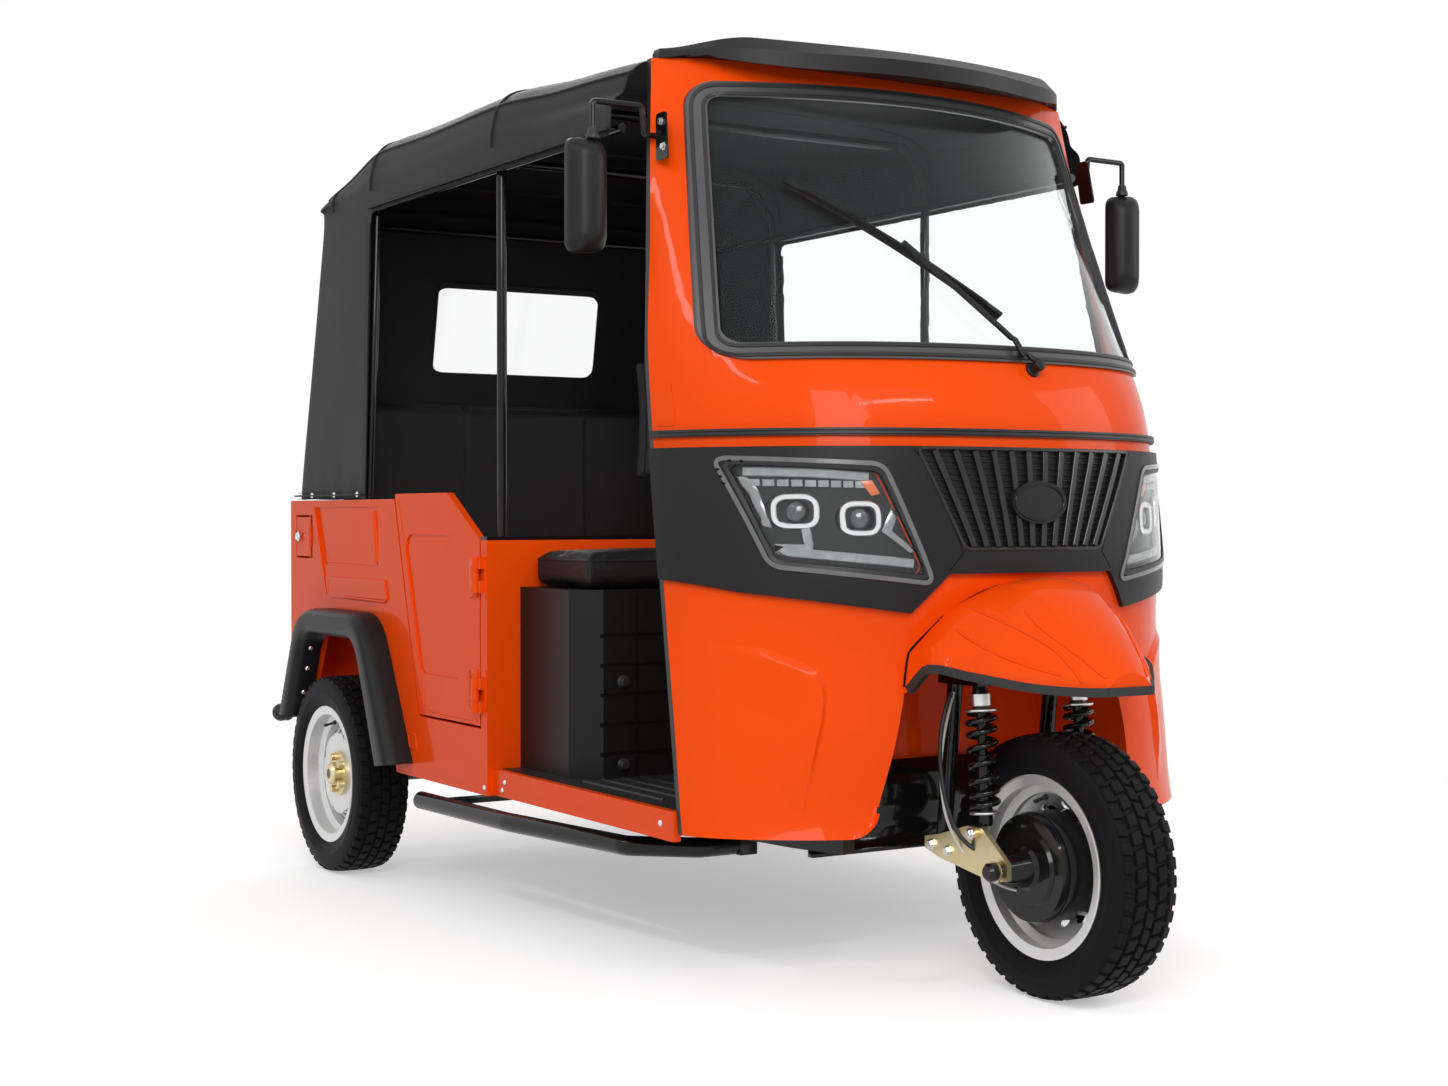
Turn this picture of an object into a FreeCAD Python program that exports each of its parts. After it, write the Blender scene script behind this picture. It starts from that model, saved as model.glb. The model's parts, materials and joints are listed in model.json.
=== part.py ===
import FreeCAD, Part
import math
import os
import Sketcher

# Auto rickshaw, millimetres, +Z up, front towards -Y, right-hand side towards -X.
# Origin: ground level, middle of the overall length and width.
# "Setback" is a distance behind the front axle, "Height" is above the ground.

Vector = FreeCAD.Vector

SIZES = [
    # whole vehicle
    ("OverallLength", 2730.0), ("WheelBase", 2000.0), ("RearTrack", 1210.0),
    ("FitGap", 0.3), ("MoveGap", 6.0), ("CutOverrun", 30.0),
    # wheels
    ("WheelRadius", 245.0), ("TyreWidth", 135.0), ("BeadRadius", 152.4), ("RimLipRadius", 169.5),
    ("RimLipThickness", 7.0), ("RimWellRadius", 138.0), ("RimWall", 3.5), ("RimInnerWidth", 100.0),
    ("DiscInset", 34.0), ("VentRadius", 9.0), ("VentPitchRadius", 108.0),
    ("AxleRadius", 12.0), ("HubRadius", 56.0), ("HubCapRadius", 27.0), ("HubLength", 60.0),
    ("DrumRadius", 102.0), ("DrumWidth", 88.0), ("BrakePlateThickness", 12.0), ("WheelNutRadius", 9.0),
    ("WheelNutPitchRadius", 42.0), ("WheelNutHeight", 12.0),
    # front fork, leading links and steering
    ("SteerSetback", 165.0), ("SteerHeight", 620.0), ("StemRadius", 14.0), ("HeadTubeRadius", 24.0),
    ("HeadTubeBottomHeight", 612.0), ("HeadTubeTopHeight", 800.0), ("CrownHeight", 575.0),
    ("CrownThickness", 28.0), ("CrownDepth", 96.0), ("ForkHalfWidth", 118.0), ("ForkLegRadius", 15.0),
    ("LegTopSetback", 163.0), ("PivotSetback", 200.0), ("PivotHeight", 268.0), ("LinkThickness", 10.0),
    ("LinkDepth", 44.0), ("AxleHalfLength", 156.0), ("AxleNutRadius", 17.0), ("AxleNutLength", 20.0),
    ("ShockHalfWidth", 118.0), ("ShockTopSetback", 92.0), ("ShockFootSetback", 72.0),
    ("ShockFootHeight", 316.0), ("ShockBodyRadius", 14.0), ("SpringRadius", 25.0),
    ("SpringWireRadius", 4.5), ("SpringPitch", 24.0), ("SpringFootHeight", 340.0),
    ("SpringTopHeight", 520.0), ("BarHeight", 1015.0), ("BarHalfWidth", 285.0), ("BarSweep", 95.0),
    ("BarTubeRadius", 11.0), ("GripRadius", 16.0), ("GripLength", 115.0), ("BarPodWidth", 150.0),
    ("BarPodHeight", 46.0),
    # cab shell
    ("CabBottomHeight", 300.0), ("CabTopHeight", 1786.0), ("CabHalfWidth", 600.0),
    ("NoseSetback", 452.0), ("PillarFootSetback", 360.0), ("PillarHeadSetback", 612.0),
    ("ShellWall", 8.0), ("PillarTrimWidth", 12.0), ("PillarTrimDepth", 14.0),
    # windscreen and its rubber
    ("ScreenBottomHeight", 1180.0), ("ScreenTopHeight", 1738.0), ("ScreenBottomHalf", 541.0),
    ("ScreenTopHalf", 474.0), ("ScreenCorner", 58.0), ("SealWidth", 32.0), ("SealProud", 7.0),
    ("GlassInset", 2.0), ("GlassWall", 5.0),
    # belt strip, headlamp band, grille and lamps
    ("BeltHeight", 1037.0), ("BeltWidth", 13.0), ("BeltProud", 8.0),
    ("BandTopHeight", 1017.0), ("BandMidHeight", 783.0), ("BandTipHeight", 711.0),
    ("BandTipHalf", 259.0), ("BandNotchHalf", 195.0), ("BandEndHeight", 779.0), ("BandProud", 12.0),
    ("GrilleTopHeight", 1013.0), ("GrilleBottomHeight", 829.0), ("GrilleTopHalf", 250.0),
    ("GrilleBottomHalf", 160.0), ("GrilleBarWidth", 8.0),
    ("BadgeHalfWidth", 65.0), ("BadgeHalfHeight", 40.0), ("BadgeHeight", 915.0), ("BadgeProud", 9.0),
    ("LampTopHeight", 988.0), ("LampInnerHeight", 973.0), ("LampFootHeight", 778.0),
    ("LampOuterFootHeight", 804.0), ("LampOuterHalf", 533.0), ("LampInnerHalf", 322.0),
    ("LampFootHalf", 236.0), ("LampOuterFootHalf", 476.0), ("LampCorner", 16.0),
    ("LensInset", 2.0), ("LensWall", 3.0), ("LampUnitDepth", 26.0), ("LampEyeRadius", 32.0),
    ("LampEyeBore", 25.0), ("LampEyeProud", 3.0), ("OuterEyeHalf", 448.0), ("OuterEyeHeight", 898.0),
    ("InnerEyeHalf", 352.0), ("InnerEyeHeight", 885.0),
    # front wheel opening, wheel well and mudguard
    ("WellHalfWidth", 258.0), ("WellFootHalf", 314.0), ("WellTopHeight", 655.0), ("WellBackSetback", 400.0),
    ("PanelWall", 6.0), ("GuardRearSetback", 175.0), ("GuardTipSetback", -225.0),
    ("GuardHalfWidth", 262.0), ("GuardEdgeHeight", 562.0), ("GuardTipHeight", 588.0),
    ("GuardArchHeight", 205.0), ("GuardWall", 5.0),
    # visor
    ("VisorReach", 85.0), ("VisorThickness", 44.0), ("VisorBackSetback", 628.0), ("VisorSideReach", 10.0),
    # floor, sills, chassis
    ("FloorHeight", 335.0), ("FloorWall", 12.0), ("MatWall", 6.0), ("FloorHalfWidth", 590.0),
    ("FloorFrontSetback", 412.0), ("FloorRearSetback", 1740.0), ("FloorWaistSetback", 1640.0),
    ("PostSetback", 1170.0), ("SillBottomHeight", 285.0), ("SillWall", 16.0),
    ("RailHalfSpacing", 330.0), ("RailWidth", 40.0), ("RailDepth", 50.0), ("RailFrontSetback", 300.0),
    ("KickSetback", 1760.0), ("KickRise", 95.0), ("KickRun", 120.0), ("FrameRearSetback", 2318.0),
    ("CrossTubeRadius", 14.0), ("HeadStrutRadius", 12.0), ("HeadStrutSetback", 385.0),
    ("HeadStrutHeight", 706.0), ("TowPlateWidth", 180.0), ("TowPlateDepth", 90.0), ("TowPlateWall", 10.0),
    ("TowHoleRadius", 6.5), ("TowHoleSpacingX", 120.0), ("TowHoleSpacingZ", 50.0),
    # rear body
    ("BodyHalfWidth", 620.0), ("SideWall", 16.0), ("BodyTopHeight", 930.0), ("BodyFootHeight", 283.0),
    ("TailSetback", 2368.0), ("TailWall", 16.0), ("TailFootHeight", 405.0), ("DoorFootHeight", 432.0),
    ("DoorFrontSetback", 1192.0), ("DoorRearFootSetback", 1520.0), ("DoorRearTopSetback", 1662.0),
    ("DoorNoseHeight", 838.0), ("DoorShoulderSetback", 1363.0), ("DoorTopHeight", 942.0),
    ("ArchFootFrontSetback", 1655.0), ("ArchTopFrontSetback", 1778.0), ("ArchTopRearSetback", 2130.0),
    ("ArchFootRearSetback", 2228.0), ("ArchTopHeight", 592.0), ("FlareProud", 66.0), ("FlareWidth", 70.0),
    ("ArchFootHeight", 300.0), ("FlareRearFootHeight", 372.0),
    ("HouseWall", 6.0), ("HouseHalfWidth", 505.0), ("PostHalfWidth", 576.0),
    ("BulkheadThickness", 30.0), ("BulkheadTopHeight", 837.0), ("BulkheadCapHeight", 8.0),
    ("HingePinRadius", 4.0), ("HingeRadius", 8.0), ("HingeLength", 78.0), ("HingeTopHeight", 762.0),
    ("HingeFootHeight", 500.0), ("HingeProud", 12.0), ("LatchSize", 22.0), ("LatchLength", 90.0),
    ("LidFrontSetback", 2214.0), ("LidRearSetback", 2322.0), ("LidFootHeight", 785.0),
    ("LidTopHeight", 887.0), ("LidWall", 5.0), ("LidPocketDepth", 52.0), ("LidGap", 5.0),
    # pressings in the doors and the quarters
    ("PressDepth", 4.0), ("DoorPressInset", 95.0), ("DoorPressCorner", 34.0),
    ("QuarterPressFrontSetback", 1765.0), ("QuarterPressRearSetback", 2120.0),
    ("QuarterPressFootHeight", 765.0), ("QuarterPressTopHeight", 912.0), ("QuarterCreaseLean", 62.0),
    ("QuarterCreaseWidth", 8.0), ("QuarterBarFrontSetback", 1702.0), ("QuarterBarFootHeight", 690.0),
    ("QuarterBarTopHeight", 736.0),
    # seats
    ("DriverBoxHalfWidth", 540.0), ("DriverBoxFrontSetback", 876.0), ("DriverBoxTopHeight", 735.0),
    ("DriverBoxChamfer", 55.0), ("DriverBoxChamferDepth", 52.0), ("DriverSeatHalfWidth", 532.0),
    ("DriverSeatFrontSetback", 882.0), ("DriverSeatThickness", 84.0), ("CushionCorner", 24.0),
    ("GrooveHeight", 8.0), ("GroovePitch", 62.0), ("GrooveDepth", 5.0), ("GrooveFirstHeight", 387.0),
    ("DriverBackHalfWidth", 280.0), ("DriverBackFootHeight", 960.0), ("DriverBackTopHeight", 1250.0),
    ("DriverBackThickness", 62.0), ("DriverBackSetback", 1088.0), ("BackBracketWidth", 46.0),
    ("BackBracketWall", 8.0), ("BackBracketSpacing", 300.0),
    ("BenchHeight", 600.0),
    ("BenchSeatThickness", 95.0), ("BenchSeatHalfWidth", 560.0), ("BenchBackThickness", 75.0),
    ("BenchBackTopHeight", 1215.0), ("BenchBackHalfWidth", 545.0), ("BenchBackSetback", 2205.0),
    ("BenchWall", 12.0),
    # canopy and its frame
    ("CanopyWall", 6.0), ("CanopyHalfWidth", 604.0), ("CanopyEdgeHeight", 1632.0),
    ("CanopyCrownHeight", 1852.0), ("CanopyQuarterSetback", 1850.0),
    ("CanopyRearTopSetback", 2232.0), ("CanopyHemHalfWidth", 619.0), ("CanopyHemSetback", 2367.0),
    ("CanopyRearCorner", 70.0), ("WindowHalfWidth", 250.0),
    ("WindowFootHeight", 1280.0), ("WindowTopHeight", 1510.0), ("WindowCorner", 42.0), ("WindowWall", 3.0),
    ("BowRadius", 11.0), ("BowDrop", 62.0), ("BowShoulder", 88.0), ("RearBowSetback", 2190.0),
    # steps, bumper, mirrors, wiper
    ("StepRadius", 20.0), ("StepHeight", 240.0), ("StepHalfWidth", 640.0), ("StepRearSetback", 1465.0),
    ("StepMidSetback", 1050.0), ("StepBendSetback", 640.0), ("StepFrontSetback", 545.0),
    ("BumperRadius", 16.0), ("BumperHeight", 360.0), ("BumperHalfWidth", 600.0), ("BumperBallRadius", 24.0),
    ("MirrorHalfSpacing", 672.0), ("MirrorSetback", 570.0), ("MirrorFootHeight", 1388.0),
    ("MirrorTopHeight", 1612.0), ("MirrorWidth", 124.0), ("MirrorDepth", 56.0), ("MirrorCorner", 22.0),
    ("MirrorArmRadius", 6.0), ("MirrorArmHeight", 1680.0), ("MirrorBracketHeight", 1625.0),
    ("WiperPivotHeight", 1166.0), ("WiperPivotAcross", 30.0), ("WiperPivotRadius", 11.0),
    ("WiperWidth", 9.0), ("WiperThickness", 7.0), ("WiperLift", 22.0),
    ("WiperJointAcross", -172.0), ("WiperJointHeight", 1395.0), ("BladeFootAcross", -10.0),
    ("BladeFootHeight", 1262.0), ("BladeTipAcross", -350.0), ("BladeTipHeight", 1525.0),
    # rear axle and suspension
    ("AxleTubeRadius", 30.0), ("AxleTubeHalfLength", 500.0), ("MotorRadius", 88.0), ("MotorLength", 300.0),
    ("ArmPivotSetback", 1645.0), ("ArmRadius", 17.0), ("ArmHalfSpacing", 400.0),
    ("RearShockRadius", 22.0), ("RearDrumRadius", 92.0), ("RearDrumWidth", 60.0),
    ("TailLampWidth", 70.0), ("TailLampHeight", 150.0), ("TailLampDepth", 24.0),
    ("TailLampFootHeight", 690.0),
    ("DashHeight", 993.0), ("DashTopHeight", 1026.0), ("DashSetback", 205.0),
]


class Size:
    """A length, with the sheet formula that gives it."""

    def __init__(self, value, text):
        self.value = value
        self.text = text

    def __add__(self, other):
        return combine(self, "+", other)

    def __radd__(self, other):
        return combine(other, "+", self)

    def __sub__(self, other):
        return combine(self, "-", other)

    def __rsub__(self, other):
        return combine(other, "-", self)

    def __mul__(self, other):
        return combine(self, "*", other)

    def __rmul__(self, other):
        return combine(other, "*", self)

    def __truediv__(self, other):
        return combine(self, "/", other)

    def __neg__(self):
        return Size(-self.value, f"(-{self.text})")

    def __float__(self):
        return float(self.value)


def as_size(number):
    """Turn a plain number into a Size."""
    if isinstance(number, Size):
        return number
    return Size(float(number), f"({float(number)!r})")


def combine(first, sign, second):
    """Work out one step of a formula, as a value and as text."""
    first = as_size(first)
    second = as_size(second)
    results = {
        "+": first.value + second.value,
        "-": first.value - second.value,
        "*": first.value * second.value,
    }
    value = first.value / second.value if sign == "/" else results[sign]
    return Size(value, f"({first.text} {sign} {second.text})")


class SizeSheet:
    """The spreadsheet of driving sizes, read as attributes."""

    def __init__(self, document, rows):
        self.cells = document.addObject("Spreadsheet::Sheet", "Sizes")
        for number, (alias, value) in enumerate(rows, start=1):
            self.cells.set(f"A{number}", alias)
            self.cells.set(f"B{number}", str(value))
            self.cells.setAlias(f"B{number}", alias)
        document.recompute()

    def __getattr__(self, alias):
        return Size(float(getattr(self.cells, alias)), f"Sizes.{alias}")


doc = FreeCAD.newDocument("auto_rickshaw")
d = SizeSheet(doc, SIZES)
nodes = []

# places worked out from the sizes
front_axle = -d.OverallLength / 2 + d.WheelRadius
rear_axle = front_axle + d.WheelBase


def behind(setback):
    """The Y of something that far behind the front axle."""
    return front_axle + setback


def vec(x, y, z):
    return Vector(float(x), float(y), float(z))


# helpers for sub-parts made of sketches and features


class SubPart:
    """One body with its own name and place, built feature by feature."""

    def __init__(self, label, x=0.0, y=0.0, z=0.0):
        self.body = doc.addObject("PartDesign::Body", label)
        self.body.Label = label
        self.body.AllowCompound = True
        for axis, place in (("x", x), ("y", y), ("z", z)):
            self.body.setExpression(f"Placement.Base.{axis}", as_size(place).text)
        nodes.append(self.body)

    def plane(self, role):
        return [item for item in self.body.Origin.OriginFeatures if item.Role == role][0]

    def sketch(self, role, start=0.0):
        """A sketch on one of the body's own planes, moved along that plane's axis."""
        sketch = self.body.newObject("Sketcher::SketchObject", "Outline")
        sketch.AttachmentSupport = (self.plane(role), [""])
        sketch.MapMode = "FlatFace"
        place = -as_size(start) if role == "XZ_Plane" else as_size(start)
        sketch.setExpression("AttachmentOffset.Base.z", place.text)
        return sketch

    def pad(self, role, outline, start, length):
        """Grow an outline from start, towards plus along the plane's axis."""
        sketch = self.sketch(role, start)
        draw_outline(sketch, outline)
        feature = self.body.newObject("PartDesign::Pad", "Pad")
        feature.Profile = sketch
        feature.setExpression("Length", as_size(length).text)
        feature.Reversed = role == "XZ_Plane"
        self.finish(feature)
        return feature

    def pocket(self, role, outline, start, length):
        """Cut an outline away from start, towards plus along the plane's axis."""
        sketch = self.sketch(role, start)
        draw_outline(sketch, outline)
        return self.pocket_sketch(sketch, role, length)

    def pocket_sketch(self, sketch, role, length):
        feature = self.body.newObject("PartDesign::Pocket", "Pocket")
        feature.Profile = sketch
        feature.setExpression("Length", as_size(length).text)
        feature.Reversed = role != "XZ_Plane"
        self.finish(feature)
        return feature

    def disc_pad(self, role, centre, radius, start, length):
        """A round boss."""
        sketch = self.sketch(role, start)
        draw_circle(sketch, centre, radius)
        feature = self.body.newObject("PartDesign::Pad", "Boss")
        feature.Profile = sketch
        feature.setExpression("Length", as_size(length).text)
        feature.Reversed = role == "XZ_Plane"
        self.finish(feature)
        return feature

    def round_hole(self, role, centre, radius, start, length):
        """A round hole."""
        sketch = self.sketch(role, start)
        draw_circle(sketch, centre, radius)
        return self.pocket_sketch(sketch, role, length)

    def revolve(self, outline):
        """Turn an outline of (along X, radius) round the body's X axis."""
        sketch = self.sketch("XY_Plane")
        draw_outline(sketch, outline)
        feature = self.body.newObject("PartDesign::Revolution", "Revolution")
        feature.Profile = sketch
        feature.ReferenceAxis = (sketch, ["H_Axis"])
        feature.Angle = 360.0
        self.finish(feature)
        return feature

    def around(self, feature, count):
        """Repeat a feature evenly round the body's X axis."""
        axis = [item for item in self.body.Origin.OriginFeatures if item.Role == "X_Axis"][0]
        pattern = self.body.newObject("PartDesign::PolarPattern", "PolarPattern")
        pattern.Originals = [feature]
        pattern.Axis = (axis, [""])
        pattern.Angle = 360.0
        pattern.Occurrences = count
        self.finish(pattern)

    def along(self, feature, role, pitch, count):
        """Repeat a feature along one of the body's axes, a pitch apart."""
        axis = [item for item in self.body.Origin.OriginFeatures if item.Role == role][0]
        pattern = self.body.newObject("PartDesign::LinearPattern", "LinearPattern")
        pattern.Originals = [feature]
        pattern.Direction = (axis, [""])
        pattern.setExpression("Length", (as_size(pitch) * (count - 1)).text)
        pattern.Occurrences = count
        self.finish(pattern)

    def mirror(self, features):
        """Repeat features on the other side of the body's YZ plane."""
        mirrored = self.body.newObject("PartDesign::Mirrored", "Mirrored")
        mirrored.Originals = features
        mirrored.MirrorPlane = (self.plane("YZ_Plane"), [""])
        self.finish(mirrored)

    def fillet(self, base, radius, wanted):
        """Round the edges of a feature that a test picks."""
        doc.recompute()
        names = [f"Edge{n}" for n, edge in enumerate(base.Shape.Edges, start=1) if wanted(edge)]
        feature = self.body.newObject("PartDesign::Fillet", "Fillet")
        feature.Base = (base, names)
        feature.setExpression("Radius", as_size(radius).text)
        self.finish(feature)
        return feature

    def finish(self, feature):
        self.body.Tip = feature


def pin_point(sketch, geometry, corner, point):
    """Hold one point of a sketch at its formula."""
    for kind, place in (("DistanceX", point[0]), ("DistanceY", point[1])):
        place = as_size(place)
        constraint = Sketcher.Constraint(kind, -1, 1, geometry, corner, place.value)
        index = sketch.addConstraint(constraint)
        sketch.setExpression(f"Constraints[{index}]", place.text)


def draw_outline(sketch, outline):
    """Draw a closed outline: (x, y) points, and ("arc", middle, end) for round stretches."""
    first = outline[0]
    here = first
    geometry = []
    for step in list(outline[1:]) + [first]:
        is_arc = isinstance(step[0], str)
        end = step[2] if is_arc else step
        start_point = vec(here[0], here[1], 0.0)
        end_point = vec(end[0], end[1], 0.0)
        if is_arc:
            middle = vec(step[1][0], step[1][1], 0.0)
            arc = Part.Arc(start_point, middle, end_point)
            index = sketch.addGeometry(arc, False)
            place = sketch.addGeometry(Part.Point(middle), True)
            pin_point(sketch, place, 1, step[1])
            sketch.addConstraint(Sketcher.Constraint("PointOnObject", place, 1, index))
            drawn = sketch.Geometry[index]
            turned = (drawn.StartPoint - start_point).Length > (drawn.EndPoint - start_point).Length
            geometry.append((index, 2 if turned else 1, 1 if turned else 2))
        else:
            index = sketch.addGeometry(Part.LineSegment(start_point, end_point), False)
            geometry.append((index, 1, 2))
        here = end
    points = [first] + [step[2] if isinstance(step[0], str) else step for step in outline[1:]]
    for number, (index, start, end) in enumerate(geometry):
        pin_point(sketch, index, start, points[number])
        following = geometry[(number + 1) % len(geometry)]
        sketch.addConstraint(Sketcher.Constraint("Coincident", index, end, following[0], following[1]))


def draw_circle(sketch, centre, radius):
    circle = Part.Circle(vec(centre[0], centre[1], 0.0), Vector(0, 0, 1), float(as_size(radius)))
    index = sketch.addGeometry(circle, False)
    pin_point(sketch, index, 3, centre)
    radius = as_size(radius)
    held = sketch.addConstraint(Sketcher.Constraint("Radius", index, radius.value))
    sketch.setExpression(f"Constraints[{held}]", radius.text)


def rectangle(low_x, low_y, high_x, high_y):
    return [(low_x, low_y), (high_x, low_y), (high_x, high_y), (low_x, high_y)]


def along_axis(axis):
    """A test for straight edges that run along an axis."""
    direction = {"x": Vector(1, 0, 0), "y": Vector(0, 1, 0), "z": Vector(0, 0, 1)}[axis]

    def wanted(edge):
        if edge.Curve.TypeId != "Part::GeomLine":
            return False
        return abs(edge.Curve.Direction.dot(direction)) > 1 - 1e-6

    return wanted


# helpers for shapes that are lofted, swept or cut


def add_shape(label, shape):
    """Store a shape as a node."""
    feature = doc.addObject("Part::Feature", label)
    feature.Label = label
    feature.Shape = shape
    feature.Placement = FreeCAD.Placement()
    nodes.append(feature)
    return feature


def both_sides(shape):
    """The shape and its mirror image across the middle plane."""
    mirrored = shape.mirror(Vector(0, 0, 0), Vector(1, 0, 0))
    return Part.makeCompound(list(shape.Solids) + list(mirrored.Solids))


def mirrored_outline(half):
    """Close a half outline of (x, z) points by its mirror image."""
    return list(half) + [(-as_size(x), z) for x, z in reversed(half) if float(as_size(x)) != 0.0]


def prism_y(outline, start, end, corner=None):
    """A prism along Y from an outline of (x, z) points."""
    return prism([vec(x, start, z) for x, z in outline], Vector(0, float(end) - float(start), 0), corner)


def prism_x(outline, start, end, corner=None):
    """A prism along X from an outline of (y, z) points."""
    return prism([vec(start, y, z) for y, z in outline], Vector(float(end) - float(start), 0, 0), corner)


def prism(points, direction, corner=None):
    wire = Part.makePolygon(points + [points[0]])
    solid = Part.Face(wire).extrude(direction)
    if corner is not None:
        unit = Vector(direction).normalize()
        edges = [e for e in solid.Edges if abs(e.Curve.Direction.dot(unit)) > 1 - 1e-6]
        solid = solid.makeFillet(float(corner), edges)
    return solid


def block(low, high):
    size = high - low
    return Part.makeBox(size.x, size.y, size.z, low)


def rod(start, end, radius, bore=None):
    """A round bar or tube between two points."""
    axis = end - start
    solid = Part.makeCylinder(float(radius), axis.Length, start, axis)
    if bore is not None:
        solid = solid.cut(Part.makeCylinder(float(bore), axis.Length, start, axis))
    return solid


def bent_rod(points, radius, bend):
    """A round bar along straight runs joined by tangent bends."""
    radius = float(radius)
    bend = float(bend)
    pieces = []
    here = points[0]
    for before, corner, after in zip(points, points[1:], points[2:]):
        into = (corner - before).normalize()
        out = (after - corner).normalize()
        turn = into.getAngle(out)
        reach = bend * math.tan(turn / 2)
        start = corner - into * reach
        centre = corner + (out - into).normalize() * (bend / math.cos(turn / 2))
        circle = Part.Face(Part.Wire([Part.makeCircle(radius, start, into)]))
        pieces.append(rod(here, start, radius))
        pieces.append(circle.revolve(centre, into.cross(out), math.degrees(turn)))
        here = corner + out * reach
    pieces.append(rod(here, points[-1], radius))
    return pieces[0].multiFuse(pieces[1:])


# cab form

# rows from the foot to the head of the cab, as shares of the cab's height, of NoseSetback,
# of CabHalfWidth, and of the way from the lower plan curve to the upper one
CAB_SHARES = [
    (0.000, 0.221, 1.000, 0.000),
    (0.088, 0.239, 0.997, 0.000),
    (0.175, 0.250, 0.994, 0.000),
    (0.276, 0.221, 0.991, 0.000),
    (0.326, 0.178, 0.989, 0.000),
    (0.404, 0.175, 0.987, 0.000),
    (0.505, 0.190, 0.983, 0.000),
    (0.599, 0.288, 0.975, 0.209),
    (0.713, 0.493, 0.944, 0.463),
    (0.834, 0.712, 0.912, 0.731),
    (0.956, 0.929, 0.879, 1.000),
    (1.000, 1.000, 0.868, 1.000),
]
# half of a plan curve from the nose to the pillar: share of the width, share of the depth
LOWER_PLAN_SHARES = [(0, 0), (0.25, 0.02), (0.45, 0.09), (0.65, 0.25), (0.82, 0.50), (0.94, 0.76), (1, 1)]
UPPER_PLAN_SHARES = [(0, 0), (0.25, 0.06), (0.45, 0.195), (0.65, 0.41), (0.82, 0.66), (0.94, 0.88), (1, 1)]


def cab_row(share):
    """The cab's row at a share of its height, between the table's rows."""
    for low, high in zip(CAB_SHARES, CAB_SHARES[1:]):
        if share <= high[0]:
            part = (share - low[0]) / (high[0] - low[0])
            return [a + (b - a) * part for a, b in zip(low, high)]
    return list(CAB_SHARES[-1])


def pillar_edge(share):
    """The Y of the cab's rear edge at a share of its height."""
    foot = float(behind(d.PillarFootSetback))
    head = float(behind(d.PillarHeadSetback))
    return foot + (head - foot) * share


def cab_height(share):
    low = float(d.CabBottomHeight)
    return low + (float(d.CabTopHeight) - low) * share


def plan_points(share, offset=0.0):
    """The cab's plan curve at a share of its height, moved outwards by an offset."""
    _, nose_share, half_share, blend = cab_row(share)
    nose = float(behind(d.NoseSetback * nose_share))
    half = float(d.CabHalfWidth * half_share)
    depth = pillar_edge(share) - nose
    height = cab_height(share)
    right = []
    for lower, upper in zip(LOWER_PLAN_SHARES, UPPER_PLAN_SHARES):
        depth_share = lower[1] + (upper[1] - lower[1]) * blend
        right.append(Vector(half * lower[0], nose + depth * depth_share, height))
    row = [Vector(-p.x, p.y, p.z) for p in reversed(right[1:])] + right
    moved = []
    for number, point in enumerate(row):
        before = row[max(number - 1, 0)]
        after = row[min(number + 1, len(row) - 1)]
        along = (after - before).normalize()
        if number in (0, len(row) - 1):
            along = Vector(0, -1 if number == 0 else 1, 0)
        moved.append(point + Vector(along.y, -along.x, 0) * offset)
    return moved


def spline_edge(points):
    curve = Part.BSplineCurve()
    curve.interpolate(points)
    return curve.toShape()


def cab_band(outer, inner, low_share=0.0, high_share=1.0):
    """The part of the cab's wall between two offsets, over a range of heights."""
    levels = [low_share] + [row[0] for row in CAB_SHARES if low_share < row[0] < high_share] + [high_share]
    wires = []
    for share in levels:
        front = plan_points(share, float(outer))
        back = list(reversed(plan_points(share, float(inner))))
        wires.append(Part.Wire([
            spline_edge(front),
            Part.LineSegment(front[-1], back[0]).toShape(),
            spline_edge(back),
            Part.LineSegment(back[-1], front[0]).toShape(),
        ]))
    return Part.makeLoft(wires, True, False)


def height_share(height):
    low = float(d.CabBottomHeight)
    return (float(height) - low) / (float(d.CabTopHeight) - low)


def skin_point(across, height, proud=0.0):
    """The point of the cab's skin seen from ahead at a width and a height, moved out."""
    curve = spline_edge(plan_points(height_share(height), float(proud)))
    low, high = curve.FirstParameter, curve.LastParameter
    for _ in range(30):
        middle = (low + high) / 2
        if curve.valueAt(middle).x < float(across):
            low = middle
        else:
            high = middle
    return curve.valueAt(low)


def cutter(outline, corner=None):
    """A prism through the whole front of the cab."""
    return prism_y(outline, -d.OverallLength / 2, 0.0, corner)


# wheels


def tyre(label, x, y):
    """A road tyre, turned from its section."""
    part = SubPart(label, x, y, d.WheelRadius)
    half = d.TyreWidth / 2
    bead = d.BeadRadius + d.FitGap
    section = d.WheelRadius - bead
    foot = d.RimInnerWidth / 2 - d.FitGap
    part.revolve([
        (-foot, bead), (foot, bead), (foot, bead + section * 0.19),
        ("arc", (half, bead + section * 0.55), (half * 0.86, bead + section * 0.93)),
        (half * 0.74, bead + section * 0.975),
        ("arc", (0.0, d.WheelRadius), (half * -0.74, bead + section * 0.975)),
        (half * -0.86, bead + section * 0.93),
        ("arc", (-half, bead + section * 0.55), (-foot, bead + section * 0.19)),
    ])


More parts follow.
